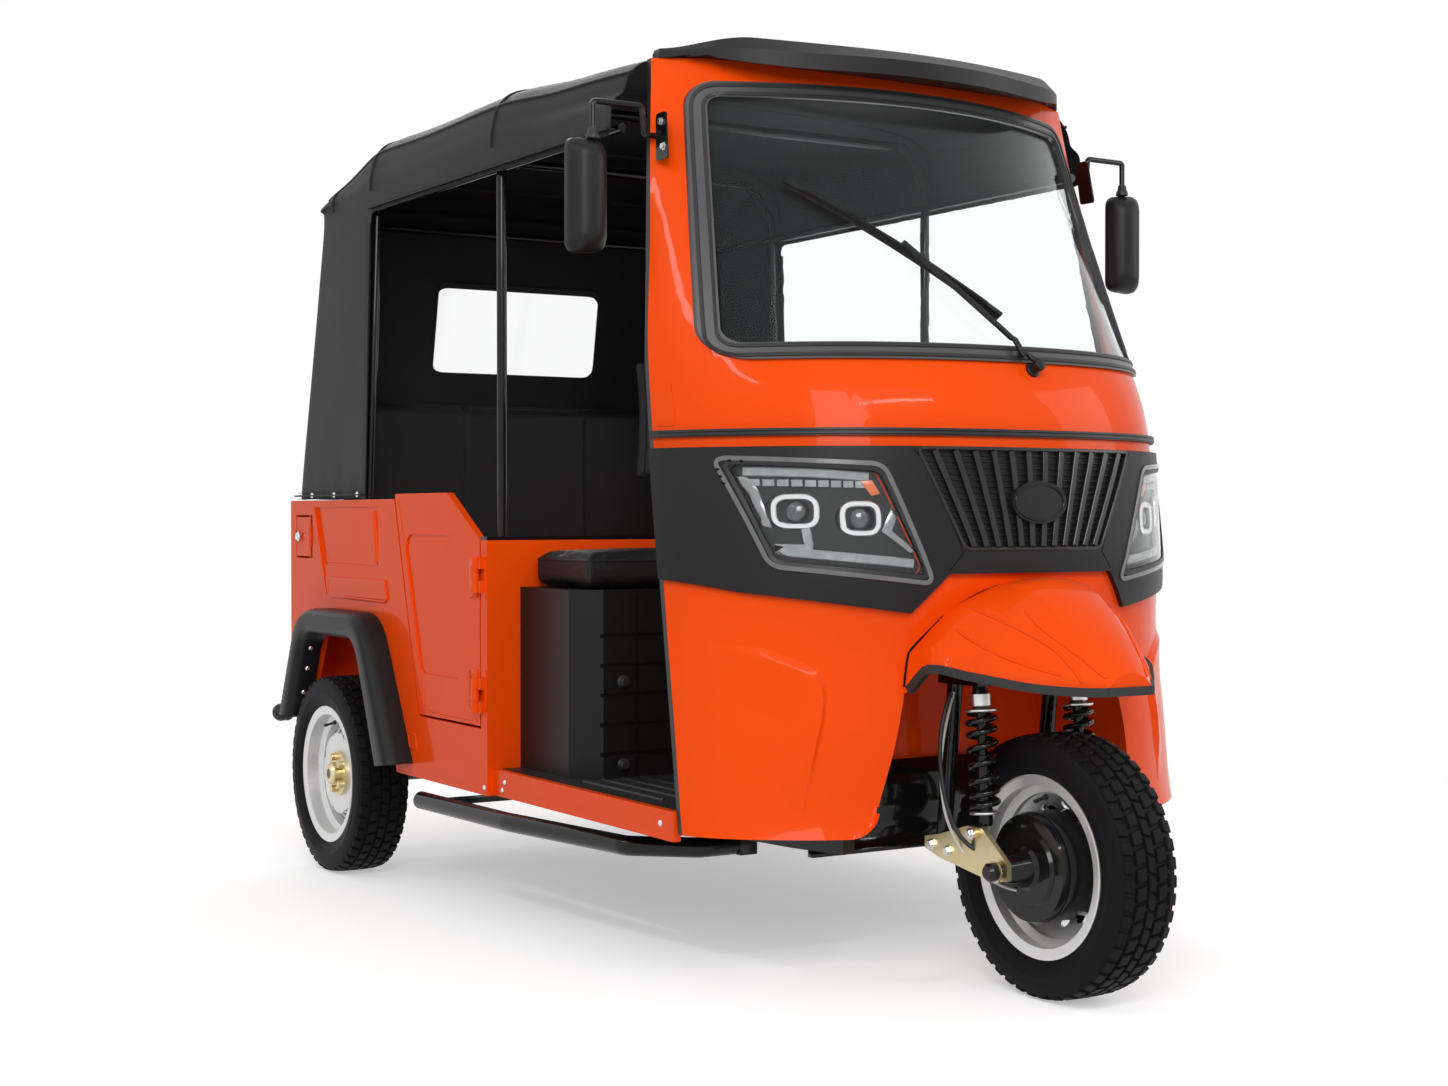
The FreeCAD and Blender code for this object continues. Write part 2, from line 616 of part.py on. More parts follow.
def rim(label, x, y, side):
    """A pressed steel rim with a vented disc; side is the way the disc faces."""
    part = SubPart(label, x, y, d.WheelRadius)
    inner = d.RimInnerWidth / 2
    outer = inner + d.RimLipThickness
    wall = d.RimWall
    barrel = [
        (-outer, d.RimLipRadius), (-inner, d.RimLipRadius), (-inner, d.BeadRadius),
        (inner * -0.62, d.BeadRadius), (inner * -0.46, d.RimWellRadius), (inner * 0.3, d.RimWellRadius),
        (inner * 0.46, d.BeadRadius), (inner, d.BeadRadius), (inner, d.RimLipRadius),
        (outer, d.RimLipRadius), (outer, d.RimLipRadius - wall), (inner + wall, d.BeadRadius - wall),
        (inner * 0.46, d.BeadRadius - wall), (inner * 0.3, d.RimWellRadius - wall),
        (inner * -0.46, d.RimWellRadius - wall), (inner * -0.62, d.BeadRadius - wall),
        (-inner - wall, d.BeadRadius - wall), (-outer, d.RimLipRadius - wall),
    ]
    part.revolve([(x_place * side, radius) for x_place, radius in barrel])
    face = outer - d.DiscInset
    bore = d.HubCapRadius + d.FitGap
    root = inner * -0.2
    edge = d.RimWellRadius - wall / 2
    shoulder = d.RimWellRadius * 0.86
    disc = [
        (face, bore), (face, d.HubRadius * 1.1), (face + wall, shoulder * 0.84), (root, edge),
        (root - wall, edge), (face, shoulder * 0.8), (face - wall, d.HubRadius * 1.1), (face - wall, bore),
    ]
    part.revolve([(x_place * side, radius) for x_place, radius in disc])
    reach = inner * 2
    hole = part.round_hole("YZ_Plane", (d.VentPitchRadius, 0.0), d.VentRadius, -inner, reach)
    part.around(hole, 12)


def rear_hub(label, x, y, side):
    """A rear hub and drum, its flange against the disc, with its cap and wheel nuts."""
    part = SubPart(label, x, y, d.WheelRadius)
    face = disc_face()
    flange = face + d.RimWall * 2
    cap = face + d.HubLength / 2
    bore = d.AxleRadius + d.FitGap
    back = face - d.RearDrumWidth
    disc_back = face - d.RimWall
    drum = d.RearDrumRadius
    outline = [
        (back, bore), (cap, bore), (cap, d.HubCapRadius * 0.8),
        (cap - d.HubCapRadius * 0.25, d.HubCapRadius), (flange, d.HubCapRadius),
        (flange, d.HubRadius), (face, d.HubRadius), (face, d.HubCapRadius), (disc_back, d.HubCapRadius),
        (disc_back, drum * 0.9), (disc_back - d.RimWall, drum), (back, drum), (back, drum * 0.94),
        (disc_back - d.RimWall * 2, drum * 0.94), (disc_back - d.RimWall * 2, d.HubCapRadius),
        (back, d.HubCapRadius),
    ]
    part.revolve([(x_place * side, radius) for x_place, radius in outline])
    start = flange if side > 0 else -flange - d.WheelNutHeight
    pitch = (d.WheelNutPitchRadius, 0.0)
    nut = part.disc_pad("YZ_Plane", pitch, d.WheelNutRadius, start, d.WheelNutHeight)
    part.around(nut, 5)


def disc_face():
    """How far a rim's disc stands from the wheel's middle plane."""
    return d.RimInnerWidth / 2 + d.RimLipThickness - d.DiscInset


def front_drum():
    """The front brake drum, which turns with the wheel."""
    part = SubPart("front_hub", 0.0, front_axle, d.WheelRadius)
    face = disc_face()
    bore = d.AxleRadius + d.FitGap
    open_side = face - d.DrumWidth
    lip = d.DrumRadius * 0.94
    part.revolve([
        (open_side, lip), (open_side, d.DrumRadius), (face - d.RimWall * 2.5, d.DrumRadius),
        (face - d.RimWall, d.DrumRadius * 0.9), (face - d.RimWall, d.HubCapRadius),
        (face + d.HubLength / 3, d.HubCapRadius),
        (face + d.HubLength / 3, bore), (open_side, bore), (open_side, d.HubCapRadius),
        (face - d.RimWall * 3, d.HubCapRadius), (face - d.RimWall * 3, lip),
    ])


def wheels():
    right = -d.RearTrack / 2
    left = d.RearTrack / 2
    tyre("front_tyre", 0.0, front_axle)
    rim("front_rim", 0.0, front_axle, 1)
    front_drum()
    for name, x, side in (("rear_right", right, -1), ("rear_left", left, 1)):
        tyre(f"{name}_tyre", x, rear_axle)
        rim(f"{name}_rim", x, rear_axle, side)
        rear_hub(f"{name}_hub", x, rear_axle, side)


# front fork and steering


def steer_axis_point(height):
    """The point of the steering axis at a height."""
    rake = math.tan(math.radians(STEER_RAKE_DEGREES))
    y = float(behind(d.SteerSetback)) + (float(height) - float(d.SteerHeight)) * rake
    return Vector(0, y, float(height))


STEER_RAKE_DEGREES = 18.0


def fork():
    """Crown and two legs, with the pivot eyes at their feet."""
    low = d.CrownHeight
    top = low + d.CrownThickness
    leg_y = behind(d.LegTopSetback)
    half = d.ForkHalfWidth + d.ForkLegRadius * 1.6
    crown = prism([
        vec(-half, leg_y - d.CrownDepth, low), vec(half, leg_y - d.CrownDepth, low),
        vec(half, leg_y + d.ForkLegRadius * 1.5, low), vec(half * 0.3, leg_y + d.CrownDepth / 2, low),
        vec(half * -0.3, leg_y + d.CrownDepth / 2, low), vec(-half, leg_y + d.ForkLegRadius * 1.5, low),
    ], Vector(0, 0, float(top - low)))
    shape = crown
    for side in (-1, 1):
        foot = vec(d.ForkHalfWidth * side, behind(d.PivotSetback), d.PivotHeight)
        head = vec(d.ForkHalfWidth * side, leg_y, low + d.CrownThickness / 2)
        shape = shape.fuse(rod(head, foot, d.ForkLegRadius))
        eye_reach = Vector(float(d.ForkLegRadius * 1.15), 0, 0)
        eye = rod(foot - eye_reach, foot + eye_reach, d.ForkLegRadius * 1.3)
        shape = shape.fuse(eye)
    add_shape("fork", shape.fuse(steering_stem()).removeSplitter())


def steering_stem():
    """The stem on the fork's crown, up to the handlebar's clamp."""
    foot = steer_axis_point(d.CrownHeight + d.CrownThickness / 2)
    head = steer_axis_point(d.BarHeight - d.BarPodHeight / 2)
    return rod(foot, head, d.StemRadius)


def handlebar():
    """Handlebar tube with its two grips and its clamp on the stem."""
    middle = steer_axis_point(d.BarHeight)
    inner = d.BarHalfWidth - d.GripLength
    sweep = Vector(0, float(d.BarSweep), 0)
    points = []
    for side in (-1, 1):
        row = [
            middle + Vector(float(inner) * side, 0, 0) + sweep,
            middle + Vector(float(inner) * 0.55 * side, 0, 0) + sweep / 2,
            middle + Vector(float(d.BarPodWidth) / 2 * side, 0, 0),
        ]
        points += row if side < 0 else list(reversed(row))
    shape = bent_rod(points, d.BarTubeRadius, d.BarTubeRadius * 2)
    shape = shape.fuse(rod(steer_axis_point(d.BarHeight - d.BarPodHeight / 2), middle, d.StemRadius * 1.4))
    for side in (-1, 1):
        start = middle + Vector(float(inner) * side, 0, 0) + sweep
        end = middle + Vector(float(d.BarHalfWidth) * side, 0, 0) + sweep
        shape = shape.fuse(rod(start, end, d.GripRadius))
    add_shape("handlebar", shape.removeSplitter())


def leading_links():
    """Links from the leg pivots forward to the axle, one each side."""
    inner = d.ForkHalfWidth + d.ForkLegRadius * 1.15 + d.FitGap
    pivot = (behind(d.PivotSetback), d.PivotHeight)
    axle = (front_axle, d.WheelRadius)
    seat = (behind(d.ShockFootSetback), d.ShockFootHeight)
    reach = d.LinkDepth / 2
    outline = [
        (pivot[0] + reach, pivot[1] - reach * 0.4), (pivot[0] + reach, pivot[1] + reach * 0.6),
        (pivot[0] - reach, pivot[1] + reach), (seat[0] + reach, seat[1]), (seat[0] - reach, seat[1]),
        (axle[0] - reach, axle[1] + reach * 0.7), (axle[0] - reach, axle[1] - reach * 0.7),
        (axle[0] + reach, axle[1] - reach), (pivot[0] - reach, pivot[1] - reach),
    ]
    plate = prism_x(outline, inner, inner + d.LinkThickness)
    bore = rod(vec(inner, axle[0], axle[1]), vec(inner + d.LinkThickness, axle[0], axle[1]), d.AxleRadius)
    plate = plate.cut(bore)
    spigot = rod(vec(inner - d.ForkLegRadius, seat[0], seat[1] - reach * 0.5),
                 vec(inner + d.LinkThickness * 1.8, seat[0], seat[1] - reach * 0.5), d.AxleRadius * 0.7)
    plate = plate.fuse(spigot)
    add_shape("leading_links", both_sides(plate.removeSplitter()))


def front_axle_bar():
    """Axle with its end nuts, and the brake plate that closes the drum."""
    part = SubPart("front_axle", 0.0, front_axle, d.WheelRadius)
    half = d.AxleHalfLength
    nut = half + d.AxleNutLength
    part.revolve([
        (-nut, 0.0), (nut, 0.0), (nut, d.AxleNutRadius * 0.7), (nut - d.AxleNutLength * 0.3, d.AxleNutRadius),
        (half, d.AxleNutRadius), (half, d.AxleRadius), (-half, d.AxleRadius), (-half, d.AxleNutRadius),
        (-nut + d.AxleNutLength * 0.3, d.AxleNutRadius), (-nut, d.AxleNutRadius * 0.7),
    ])
    open_side = disc_face() - d.DrumWidth - d.MoveGap / 2
    outer = open_side - d.BrakePlateThickness
    rib = outer - d.BrakePlateThickness / 2
    hub_end = -(d.ForkHalfWidth + d.ForkLegRadius * 1.15 + d.FitGap)
    part.revolve([
        (open_side, d.AxleRadius), (open_side, d.DrumRadius), (outer, d.DrumRadius * 0.96),
        (outer, d.DrumRadius * 0.72), (rib, d.DrumRadius * 0.68), (rib, d.DrumRadius * 0.4),
        (outer - d.BrakePlateThickness, d.DrumRadius * 0.34), (hub_end, d.DrumRadius * 0.22),
        (hub_end, d.AxleRadius),
    ])


def shock_absorbers():
    """Two coil-over dampers, their springs drawn as rings on the damper."""
    x = d.ShockHalfWidth + d.ForkLegRadius * 1.15 + d.FitGap + d.LinkThickness + d.SpringRadius * 0.2
    head = vec(x, behind(d.ShockTopSetback), d.CrownHeight + d.FitGap)
    foot = vec(x, behind(d.ShockFootSetback), d.ShockFootHeight - d.FitGap)
    axis = (head - foot).normalize()
    shape = rod(foot, head, d.ShockBodyRadius)
    low = foot + axis * float(d.SpringFootHeight - d.ShockFootHeight)
    count = max(2, int((d.SpringTopHeight - d.SpringFootHeight).value / d.SpringPitch.value))
    half_wire = axis * float(d.SpringWireRadius)
    for number in range(count + 1):
        centre = low + axis * (float(d.SpringPitch) * number)
        shape = shape.fuse(rod(centre - half_wire, centre + half_wire, d.SpringRadius))
    shape = shape.common(slab(d.ShockFootHeight + d.FitGap, d.CrownHeight - d.FitGap))
    add_shape("shock_absorbers", both_sides(shape))


# cab


def well_outline(grow=0.0, top=None):
    """The front wheel opening seen from ahead."""
    top = d.WellTopHeight if top is None else top
    foot = d.CabBottomHeight - d.CutOverrun
    half = [
        (d.WellFootHalf + grow, foot), (d.WellFootHalf + grow, d.CabBottomHeight + d.CutOverrun),
        (d.WellHalfWidth + grow, d.GuardEdgeHeight), (d.WellHalfWidth * 0.86 + grow, top),
    ]
    return mirrored_outline(half)


def screen_outline(inset=0.0):
    half = [
        (d.ScreenBottomHalf - inset, d.ScreenBottomHeight + inset),
        (d.ScreenTopHalf - inset, d.ScreenTopHeight - inset),
    ]
    return mirrored_outline(half)


def lamp_outline(grow=0.0):
    """One headlamp seen from ahead, on the plus X side."""
    return [
        (d.LampOuterHalf + grow, d.LampTopHeight + grow), (d.LampInnerHalf - grow, d.LampInnerHeight + grow),
        (d.LampFootHalf - grow, d.LampFootHeight - grow),
        (d.LampOuterFootHalf + grow, d.LampOuterFootHeight - grow),
    ]


def grille_outline():
    half = [(d.GrilleTopHalf, d.GrilleTopHeight), (d.GrilleBottomHalf, d.GrilleBottomHeight)]
    return mirrored_outline(half)


def band_outline():
    """The headlamp band seen from ahead."""
    wide = d.CabHalfWidth + d.CutOverrun
    half = [
        (wide, d.BandTopHeight), (wide, d.BandEndHeight), (d.BandTipHalf * 2, d.BandEndHeight - d.CutOverrun),
        (d.BandTipHalf, d.BandTipHeight), (d.BandNotchHalf, d.BandMidHeight),
    ]
    return mirrored_outline(half)


def lamp_cutters(grow=0.0):
    one = cutter(lamp_outline(grow), d.LampCorner)
    return one.fuse(one.mirror(Vector(0, 0, 0), Vector(1, 0, 0)))


def screen_cutter(inset=0.0):
    return cutter(screen_outline(inset), d.ScreenCorner - inset)


def cab_front():
    """Shell, windscreen, rubber, belt strip, headlamp band, grille and lamps."""
    wall = -float(d.ShellWall)
    shell = cab_band(0.0, wall)
    shell = shell.cut(screen_cutter()).cut(cutter(well_outline()))
    shell = shell.cut(lamp_cutters())
    add_shape("cab_shell", shell)
    seal = cab_band(d.SealProud, wall).cut(screen_cutter(d.SealWidth)).common(screen_cutter())
    add_shape("windscreen_seal", seal)
    glass = cab_band(-d.GlassInset, -d.GlassInset - d.GlassWall).common(screen_cutter(d.SealWidth))
    add_shape("windscreen", glass)
    strip = cab_band(d.BeltProud, 0.0).common(slab(d.BeltHeight, d.BeltHeight + d.BeltWidth))
    add_shape("belt_moulding", strip)
    band = cab_band(d.BandProud, 0.0).common(cutter(band_outline()))
    band = band.cut(lamp_cutters())
    band = band.cut(cutter(grille_outline()))
    add_shape("headlamp_band", band)
    grille()
    lens = cab_band(d.BandProud - d.LensInset, d.BandProud - d.LensInset - d.LensWall)
    add_shape("headlamp_lenses", lens.common(lamp_cutters()))
    bowl = cab_band(wall + float(d.LensWall), wall - float(d.LampUnitDepth)).common(lamp_cutters())
    rings = cab_band(d.LampEyeProud, wall).common(lamp_eyes(d.LampEyeRadius))
    bores = cab_band(d.BandProud, wall).common(lamp_eyes(d.LampEyeBore))
    add_shape("headlamp_units", bowl.fuse(rings).cut(bores))


def lamp_eyes(radius):
    """Round bars along Y at the four projector lamps."""
    bars = []
    for half, height in ((d.OuterEyeHalf, d.OuterEyeHeight), (d.InnerEyeHalf, d.InnerEyeHeight)):
        for side in (-1, 1):
            near = vec(half * side, -d.OverallLength / 2, height)
            bars.append(rod(near, vec(half * side, 0.0, height), radius))
    return bars[0].multiFuse(bars[1:])


def slab(low, high):
    half = float(d.OverallLength / 2)
    return block(Vector(-half, -half, float(low)), Vector(half, half, float(high)))


def ellipse_prism(half_width, half_height, height):
    ellipse = Part.Ellipse(Vector(0, 0, 0), float(half_width), float(half_height)).toShape()
    face = Part.Face(Part.Wire([ellipse]))
    face.rotate(Vector(0, 0, 0), Vector(1, 0, 0), 90)
    face.translate(vec(0.0, -d.OverallLength / 2, height))
    return face.extrude(Vector(0, float(d.OverallLength / 2), 0))


# places of the grille's ribs, as shares of its half width
GRILLE_RIB_SHARES = [(2 * number - 11) / 12.4 for number in range(12)]


def grille():
    """The grille's back, its upright ribs and the bare oval badge."""
    back = cab_band(d.BandProud * 0.4, 0.0).common(cutter(grille_outline()))
    half = float(d.GrilleBarWidth) / 2
    top = float(d.GrilleTopHeight) - half
    foot = float(d.GrilleBottomHeight) + half
    ribs = []
    for share in GRILLE_RIB_SHARES:
        high_x = float(d.GrilleTopHalf) * share
        low_x = float(d.GrilleBottomHalf) * share
        ribs.append(cutter([
            (low_x - half, foot), (low_x + half, foot), (high_x + half, top), (high_x - half, top),
        ]))
    front = cab_band(d.BandProud, d.BandProud * 0.2)
    badge = ellipse_prism(d.BadgeHalfWidth, d.BadgeHalfHeight, d.BadgeHeight)
    boss = cab_band(d.BandProud + d.BadgeProud, d.BandProud * 0.2).common(badge)
    ridges = [front.common(rib).cut(badge) for rib in ribs]
    add_shape("grille", back.multiFuse(ridges + [boss]))


def roof_visor():
    """The moulded peak over the windscreen, seated on the shell's head."""
    share = 1.0
    head = plan_points(share, 0.0)
    back = behind(d.VisorBackSetback)
    levels = []
    for lift, reach in ((0.0, 1.0), (0.55, 1.0), (1.0, 0.55)):
        row = []
        for point in head:
            ahead = 1.0 - (abs(point.x) / abs(head[-1].x)) ** 3
            side = float(d.VisorSideReach) * (1 if point.x > 0 else -1) * abs(point.x) / abs(head[-1].x)
            forward = float(d.VisorReach) * ahead * reach
            row.append(Vector(point.x + side * reach, point.y - forward - float(d.VisorSideReach) * reach,
                              float(d.CabTopHeight) + float(d.VisorThickness) * lift))
        right_back = Vector(row[-1].x, float(back), row[-1].z)
        left_back = Vector(row[0].x, float(back), row[0].z)
        levels.append(Part.Wire([
            spline_edge(row),
            Part.LineSegment(row[-1], right_back).toShape(),
            Part.LineSegment(right_back, left_back).toShape(),
            Part.LineSegment(left_back, row[0]).toShape(),
        ]))
    add_shape("roof_visor", Part.makeLoft(levels, True, True))


def front_mudguard():
    """The beak over the front wheel, an open shell that ends on the cab's skin."""
    outer = guard_form(0.0)
    inner = guard_form(-float(d.GuardWall))
    shell = outer.cut(inner).cut(cab_solid(float(d.FitGap)))
    add_shape("front_mudguard", shell)


# rows from the cab to the tip: share of the length, of the half width, of the crown's
# rise over the edge, and of the way down to the rear corner's height
GUARD_SHARES = [
    (0.00, 1.00, 1.00, 0.00),
    (0.18, 0.98, 0.98, 0.30),
    (0.42, 0.90, 0.86, 0.95),
    (0.68, 0.72, 0.62, 1.00),
    (0.88, 0.50, 0.34, 0.95),
    (1.00, 0.34, 0.16, 0.90),
]


# half of a mudguard section from its edge to the crown: shares of the half width and of the rise;
# straight up to the third, a smooth crown after it
GUARD_SECTION_SHARES = [(1.0, 0.0), (0.955, 0.36), (0.70, 0.72), (0.48, 0.87), (0.24, 0.97), (0.0, 1.0)]


def guard_form(offset):
    """The mudguard's solid form, moved outwards by an offset."""
    start = float(behind(d.GuardRearSetback))
    length = float(d.GuardTipSetback - d.GuardRearSetback) - offset
    drop = float(d.CutOverrun) if offset < 0 else 0.0
    wires = []
    for along, wide, rise, edge_share in GUARD_SHARES:
        y = start + length * along
        half = float(d.GuardHalfWidth) * wide + offset
        edge = float(d.GuardEdgeHeight)
        edge += (float(d.GuardTipHeight) - edge) * edge_share
        top = edge + float(d.GuardArchHeight) * rise + offset
        right = []
        for across, up in GUARD_SECTION_SHARES:
            right.append(Vector(half * across, y, edge + (top - edge) * up))
        wires.append(arch_wire(right, 2, drop))
    return Part.makeLoft(wires, True, False)


def arch_wire(right, straight, drop):
    """A closed arch from the points of its right half, foot to crown.

    The first runs are straight, the rest is one smooth crown; the foot is let down by a drop.
    """
    left = [Vector(-point.x, point.y, point.z) for point in reversed(right)]
    crown = right[straight:] + left[1:len(left) - straight]
    edges = [Part.LineSegment(a, b).toShape() for a, b in zip(right, right[1:straight + 1])]
    edges.append(spline_edge(crown))
    ends = left[len(left) - straight - 1:]
    if drop:
        low_left = left[-1] - Vector(0, 0, drop)
        low_right = right[0] - Vector(0, 0, drop)
        ends += [low_left, low_right]
    ends.append(right[0])
    edges += [Part.LineSegment(a, b).toShape() for a, b in zip(ends, ends[1:])]
    return Part.Wire(edges)


def cab_solid(offset=0.0):
    """Everything inside the cab's outer skin, back to the pillars."""
    wires = []
    for row in CAB_SHARES:
        front = plan_points(row[0], offset)
        wires.append(Part.Wire([spline_edge(front), Part.LineSegment(front[-1], front[0]).toShape()]))
    return Part.makeLoft(wires, True, False)


def wheel_well():
    """The inner wall of the front wheel opening: sides, back and top."""
    wall = float(d.PanelWall)
    back = float(behind(d.WellBackSetback))
    nose = float(front_axle)
    outline = well_outline(wall, d.WellTopHeight + wall)
    outer = prism_y(outline, nose, back)
    inner = prism_y(well_outline(), nose - float(d.CutOverrun), back - wall)
    shape = outer.cut(inner)
    inside = cab_solid(-float(d.ShellWall))
    half = d.CabHalfWidth
    shape = shape.common(prism_y(rectangle(-half, d.CabBottomHeight, half, d.CabTopHeight), nose, back))
    low = block(vec(-half, nose, d.CabBottomHeight - d.CutOverrun),
                vec(half, behind(d.PillarFootSetback) - d.CutOverrun, d.CabTopHeight))
    front = shape.common(low).common(inside)
    rear = shape.cut(low)
    shape = front.fuse(rear)
    foot = steer_axis_point(d.CrownHeight)
    head = steer_axis_point(d.HeadTubeTopHeight)
    tube = rod(foot, head, d.HeadTubeRadius + d.FitGap)
    add_shape("wheel_well", shape.cut(tube))


def pillar_trims():
    """The rubber edges along the cab's rear edges."""
    wires = []
    for row in CAB_SHARES:
        edge = plan_points(row[0])[-1]
        width = float(d.PillarTrimWidth)
        depth = float(d.PillarTrimDepth)
        low_x = edge.x - width + float(d.FitGap)
        points = [
            Vector(low_x, edge.y, edge.z), Vector(edge.x + float(d.FitGap), edge.y, edge.z),
            Vector(edge.x + float(d.FitGap), edge.y + depth, edge.z), Vector(low_x, edge.y + depth, edge.z),
        ]
        wires.append(Part.makePolygon(points + [points[0]]))
    add_shape("pillar_trims", both_sides(Part.makeLoft(wires, True, True)))


def dashboard():
    """The shelf under the windscreen, which follows the cab's skin."""
    inside = cab_solid(-float(d.ShellWall + d.FitGap))
    shelf = block(vec(-d.CabHalfWidth, front_axle, d.DashHeight),
                  vec(d.CabHalfWidth, behind(d.DashSetback), d.DashTopHeight))
    add_shape("dashboard", inside.common(shelf))


# floor and chassis


def rail_top():
    return d.FloorHeight - d.FloorWall


def post_front():
    """The front face of the bulkhead that carries the middle posts."""
    return behind(d.PostSetback) - d.BulkheadThickness / 2


def floor():
    half = d.FloorHalfWidth
    front = behind(d.FloorFrontSetback)
    waist = behind(d.FloorWaistSetback)
    rear = behind(d.FloorRearSetback)
    narrow = d.HouseHalfWidth - d.HouseWall
    wide = d.BodyHalfWidth - d.SideWall
    step = post_front()
    base = SubPart("floor_pan")
    base.pad("XY_Plane", [
        (-half, front), (half, front), (half, step), (wide, step), (wide, waist), (narrow, waist),
        (narrow, rear), (-narrow, rear), (-narrow, waist), (-wide, waist), (-wide, step), (-half, step),
    ], rail_top(), d.FloorWall)
    mat = SubPart("floor_mat")
    gap = d.ShellWall
    sheet = rectangle(-half + gap, front + gap, half - gap, post_front())
    mat.pad("XY_Plane", sheet, d.FloorHeight, d.MatWall)
    sill = SubPart("sills")
    sill_front = behind(d.PillarFootSetback) + d.PillarTrimDepth * 1.6
    outline = rectangle(half, d.SillBottomHeight, half + d.SillWall, d.FloorHeight + d.MatWall)
    piece = sill.pad("XZ_Plane", outline, sill_front, post_front() - sill_front)
    sill.mirror([piece])


def side_rail():
    """One side rail, kicked up over the rear axle."""
    top = rail_top()
    low = top - d.RailDepth
    front = behind(d.RailFrontSetback)
    kick = behind(d.KickSetback)
    rear = behind(d.FrameRearSetback)
    rise = d.KickRise
    run = d.KickRun
    corner = d.RailDepth * 0.3
    outline = [
        (front, low), (kick, low), (kick + run, low + rise), (rear, low + rise),
        (rear, top + rise), (kick + run - corner, top + rise), (kick - corner, top), (front, top),
    ]
    return prism_x(outline, d.RailHalfSpacing, d.RailHalfSpacing + d.RailWidth)


def chassis_frame():
    """Side rails, cross tubes, outriggers to the sills and the rear mounting plate."""
    height = rail_top() - d.RailDepth / 2
    inner = d.RailHalfSpacing
    outer = d.RailHalfSpacing + d.RailWidth
    solids = []
    outriggers = (d.FloorFrontSetback + d.RailWidth, d.PostSetback, d.FloorWaistSetback - d.RailWidth)
    for setback in outriggers:
        y = behind(setback)
        solids.append(rod(vec(-inner, y, height), vec(inner, y, height), d.CrossTubeRadius))
        for side in (-1, 1):
            solids.append(rod(vec(outer * side, y, height), vec(d.FloorHalfWidth * side, y, height),
                              d.CrossTubeRadius))
    solids.append(rear_beam(height + d.KickRise))
    for rail in both_sides(side_rail()).Solids:
        solids.append(rail)
    add_shape("chassis_frame", solids[0].multiFuse(solids[1:]).removeSplitter())


def rear_beam(height):
    """The rear cross beam with its mounting plate and the plate's four bolt holes."""
    half = d.RailDepth / 2
    rear = behind(d.FrameRearSetback)
    front = rear - d.RailDepth
    wide = d.TowPlateWidth / 2
    foot = height + half - d.TowPlateDepth
    beam = block(vec(-d.RailHalfSpacing, front, height - half), vec(d.RailHalfSpacing, rear, height + half))
    plate = block(vec(-wide, rear, foot), vec(wide, rear + d.TowPlateWall, height + half))
    hollow = block(vec(-wide, front - d.FitGap, height - half - d.FitGap),
                   vec(wide, rear - d.TowPlateWall, height + half * 0.8))
    shape = beam.cut(hollow).fuse(plate).removeSplitter()
    for x_side in (-1, 1):
        for z_side in (0, 1):
            x = d.TowHoleSpacingX / 2 * x_side
            z = foot + d.TowHoleSpacingZ * (z_side + 0.4)
            hole = rod(vec(x, front, z), vec(x, rear + d.TowPlateWall * 2, z), d.TowHoleRadius)
            shape = shape.cut(hole)
    return shape


def head_frame():
    """Head tube for the steering stem, carried by a hoop from the rails."""
    low = steer_axis_point(d.HeadTubeBottomHeight)
    top = steer_axis_point(d.HeadTubeTopHeight)
    tube = rod(low, top, d.HeadTubeRadius)
    x = d.RailHalfSpacing + d.RailWidth / 2
    y = behind(d.HeadStrutSetback)
    at_head = steer_axis_point(d.HeadStrutHeight)
    radius = d.HeadStrutRadius
    hoop = bent_rod([
        vec(-x, y, rail_top()), vec(-x, y, d.HeadStrutHeight), at_head,
        vec(x, y, d.HeadStrutHeight), vec(x, y, rail_top()),
    ], radius, radius * 3)
    bore = rod(low - (top - low), top + (top - low), d.StemRadius + d.FitGap)
    add_shape("head_frame", tube.fuse(hoop).cut(bore).removeSplitter())


# rear body


def side_outline():
    """A side panel seen from the side: (Y, Z), with the doorway and the wheel arch left open."""
    front = behind(d.PostSetback) + d.BulkheadThickness / 2
    return [
        (front, d.BodyFootHeight), (front, d.DoorFootHeight - d.MoveGap),
        (behind(d.DoorRearFootSetback) + d.MoveGap, d.DoorFootHeight - d.MoveGap),
        (behind(d.DoorRearTopSetback) + d.MoveGap, d.BodyTopHeight),
        (behind(d.TailSetback), d.BodyTopHeight), (behind(d.TailSetback), d.TailFootHeight),
        (behind(d.ArchFootRearSetback), d.TailFootHeight), (behind(d.ArchTopRearSetback), d.ArchTopHeight),
        (behind(d.ArchTopFrontSetback), d.ArchTopHeight), (behind(d.ArchFootFrontSetback), d.BodyFootHeight),
    ]


def side_panels():
    """The rear body's side panels; the right-hand one has the filler opening."""
    for name, side in (("right", -1), ("left", 1)):
        panel = SubPart(f"side_panel_{name}")
        start = -d.BodyHalfWidth if side < 0 else d.BodyHalfWidth - d.SideWall
        panel.pad("YZ_Plane", side_outline(), start, d.SideWall)
        if side < 0:
            gap = d.LidGap
            opening = rectangle(behind(d.LidFrontSetback) - gap, d.LidFootHeight - gap,
                                behind(d.LidRearSetback) + gap, d.LidTopHeight + gap)
            panel.pocket("YZ_Plane", opening, start - d.CutOverrun, d.SideWall + d.CutOverrun * 2)
            filler_pocket(panel, start + d.SideWall, opening)
        quarter_pressings(panel, side)


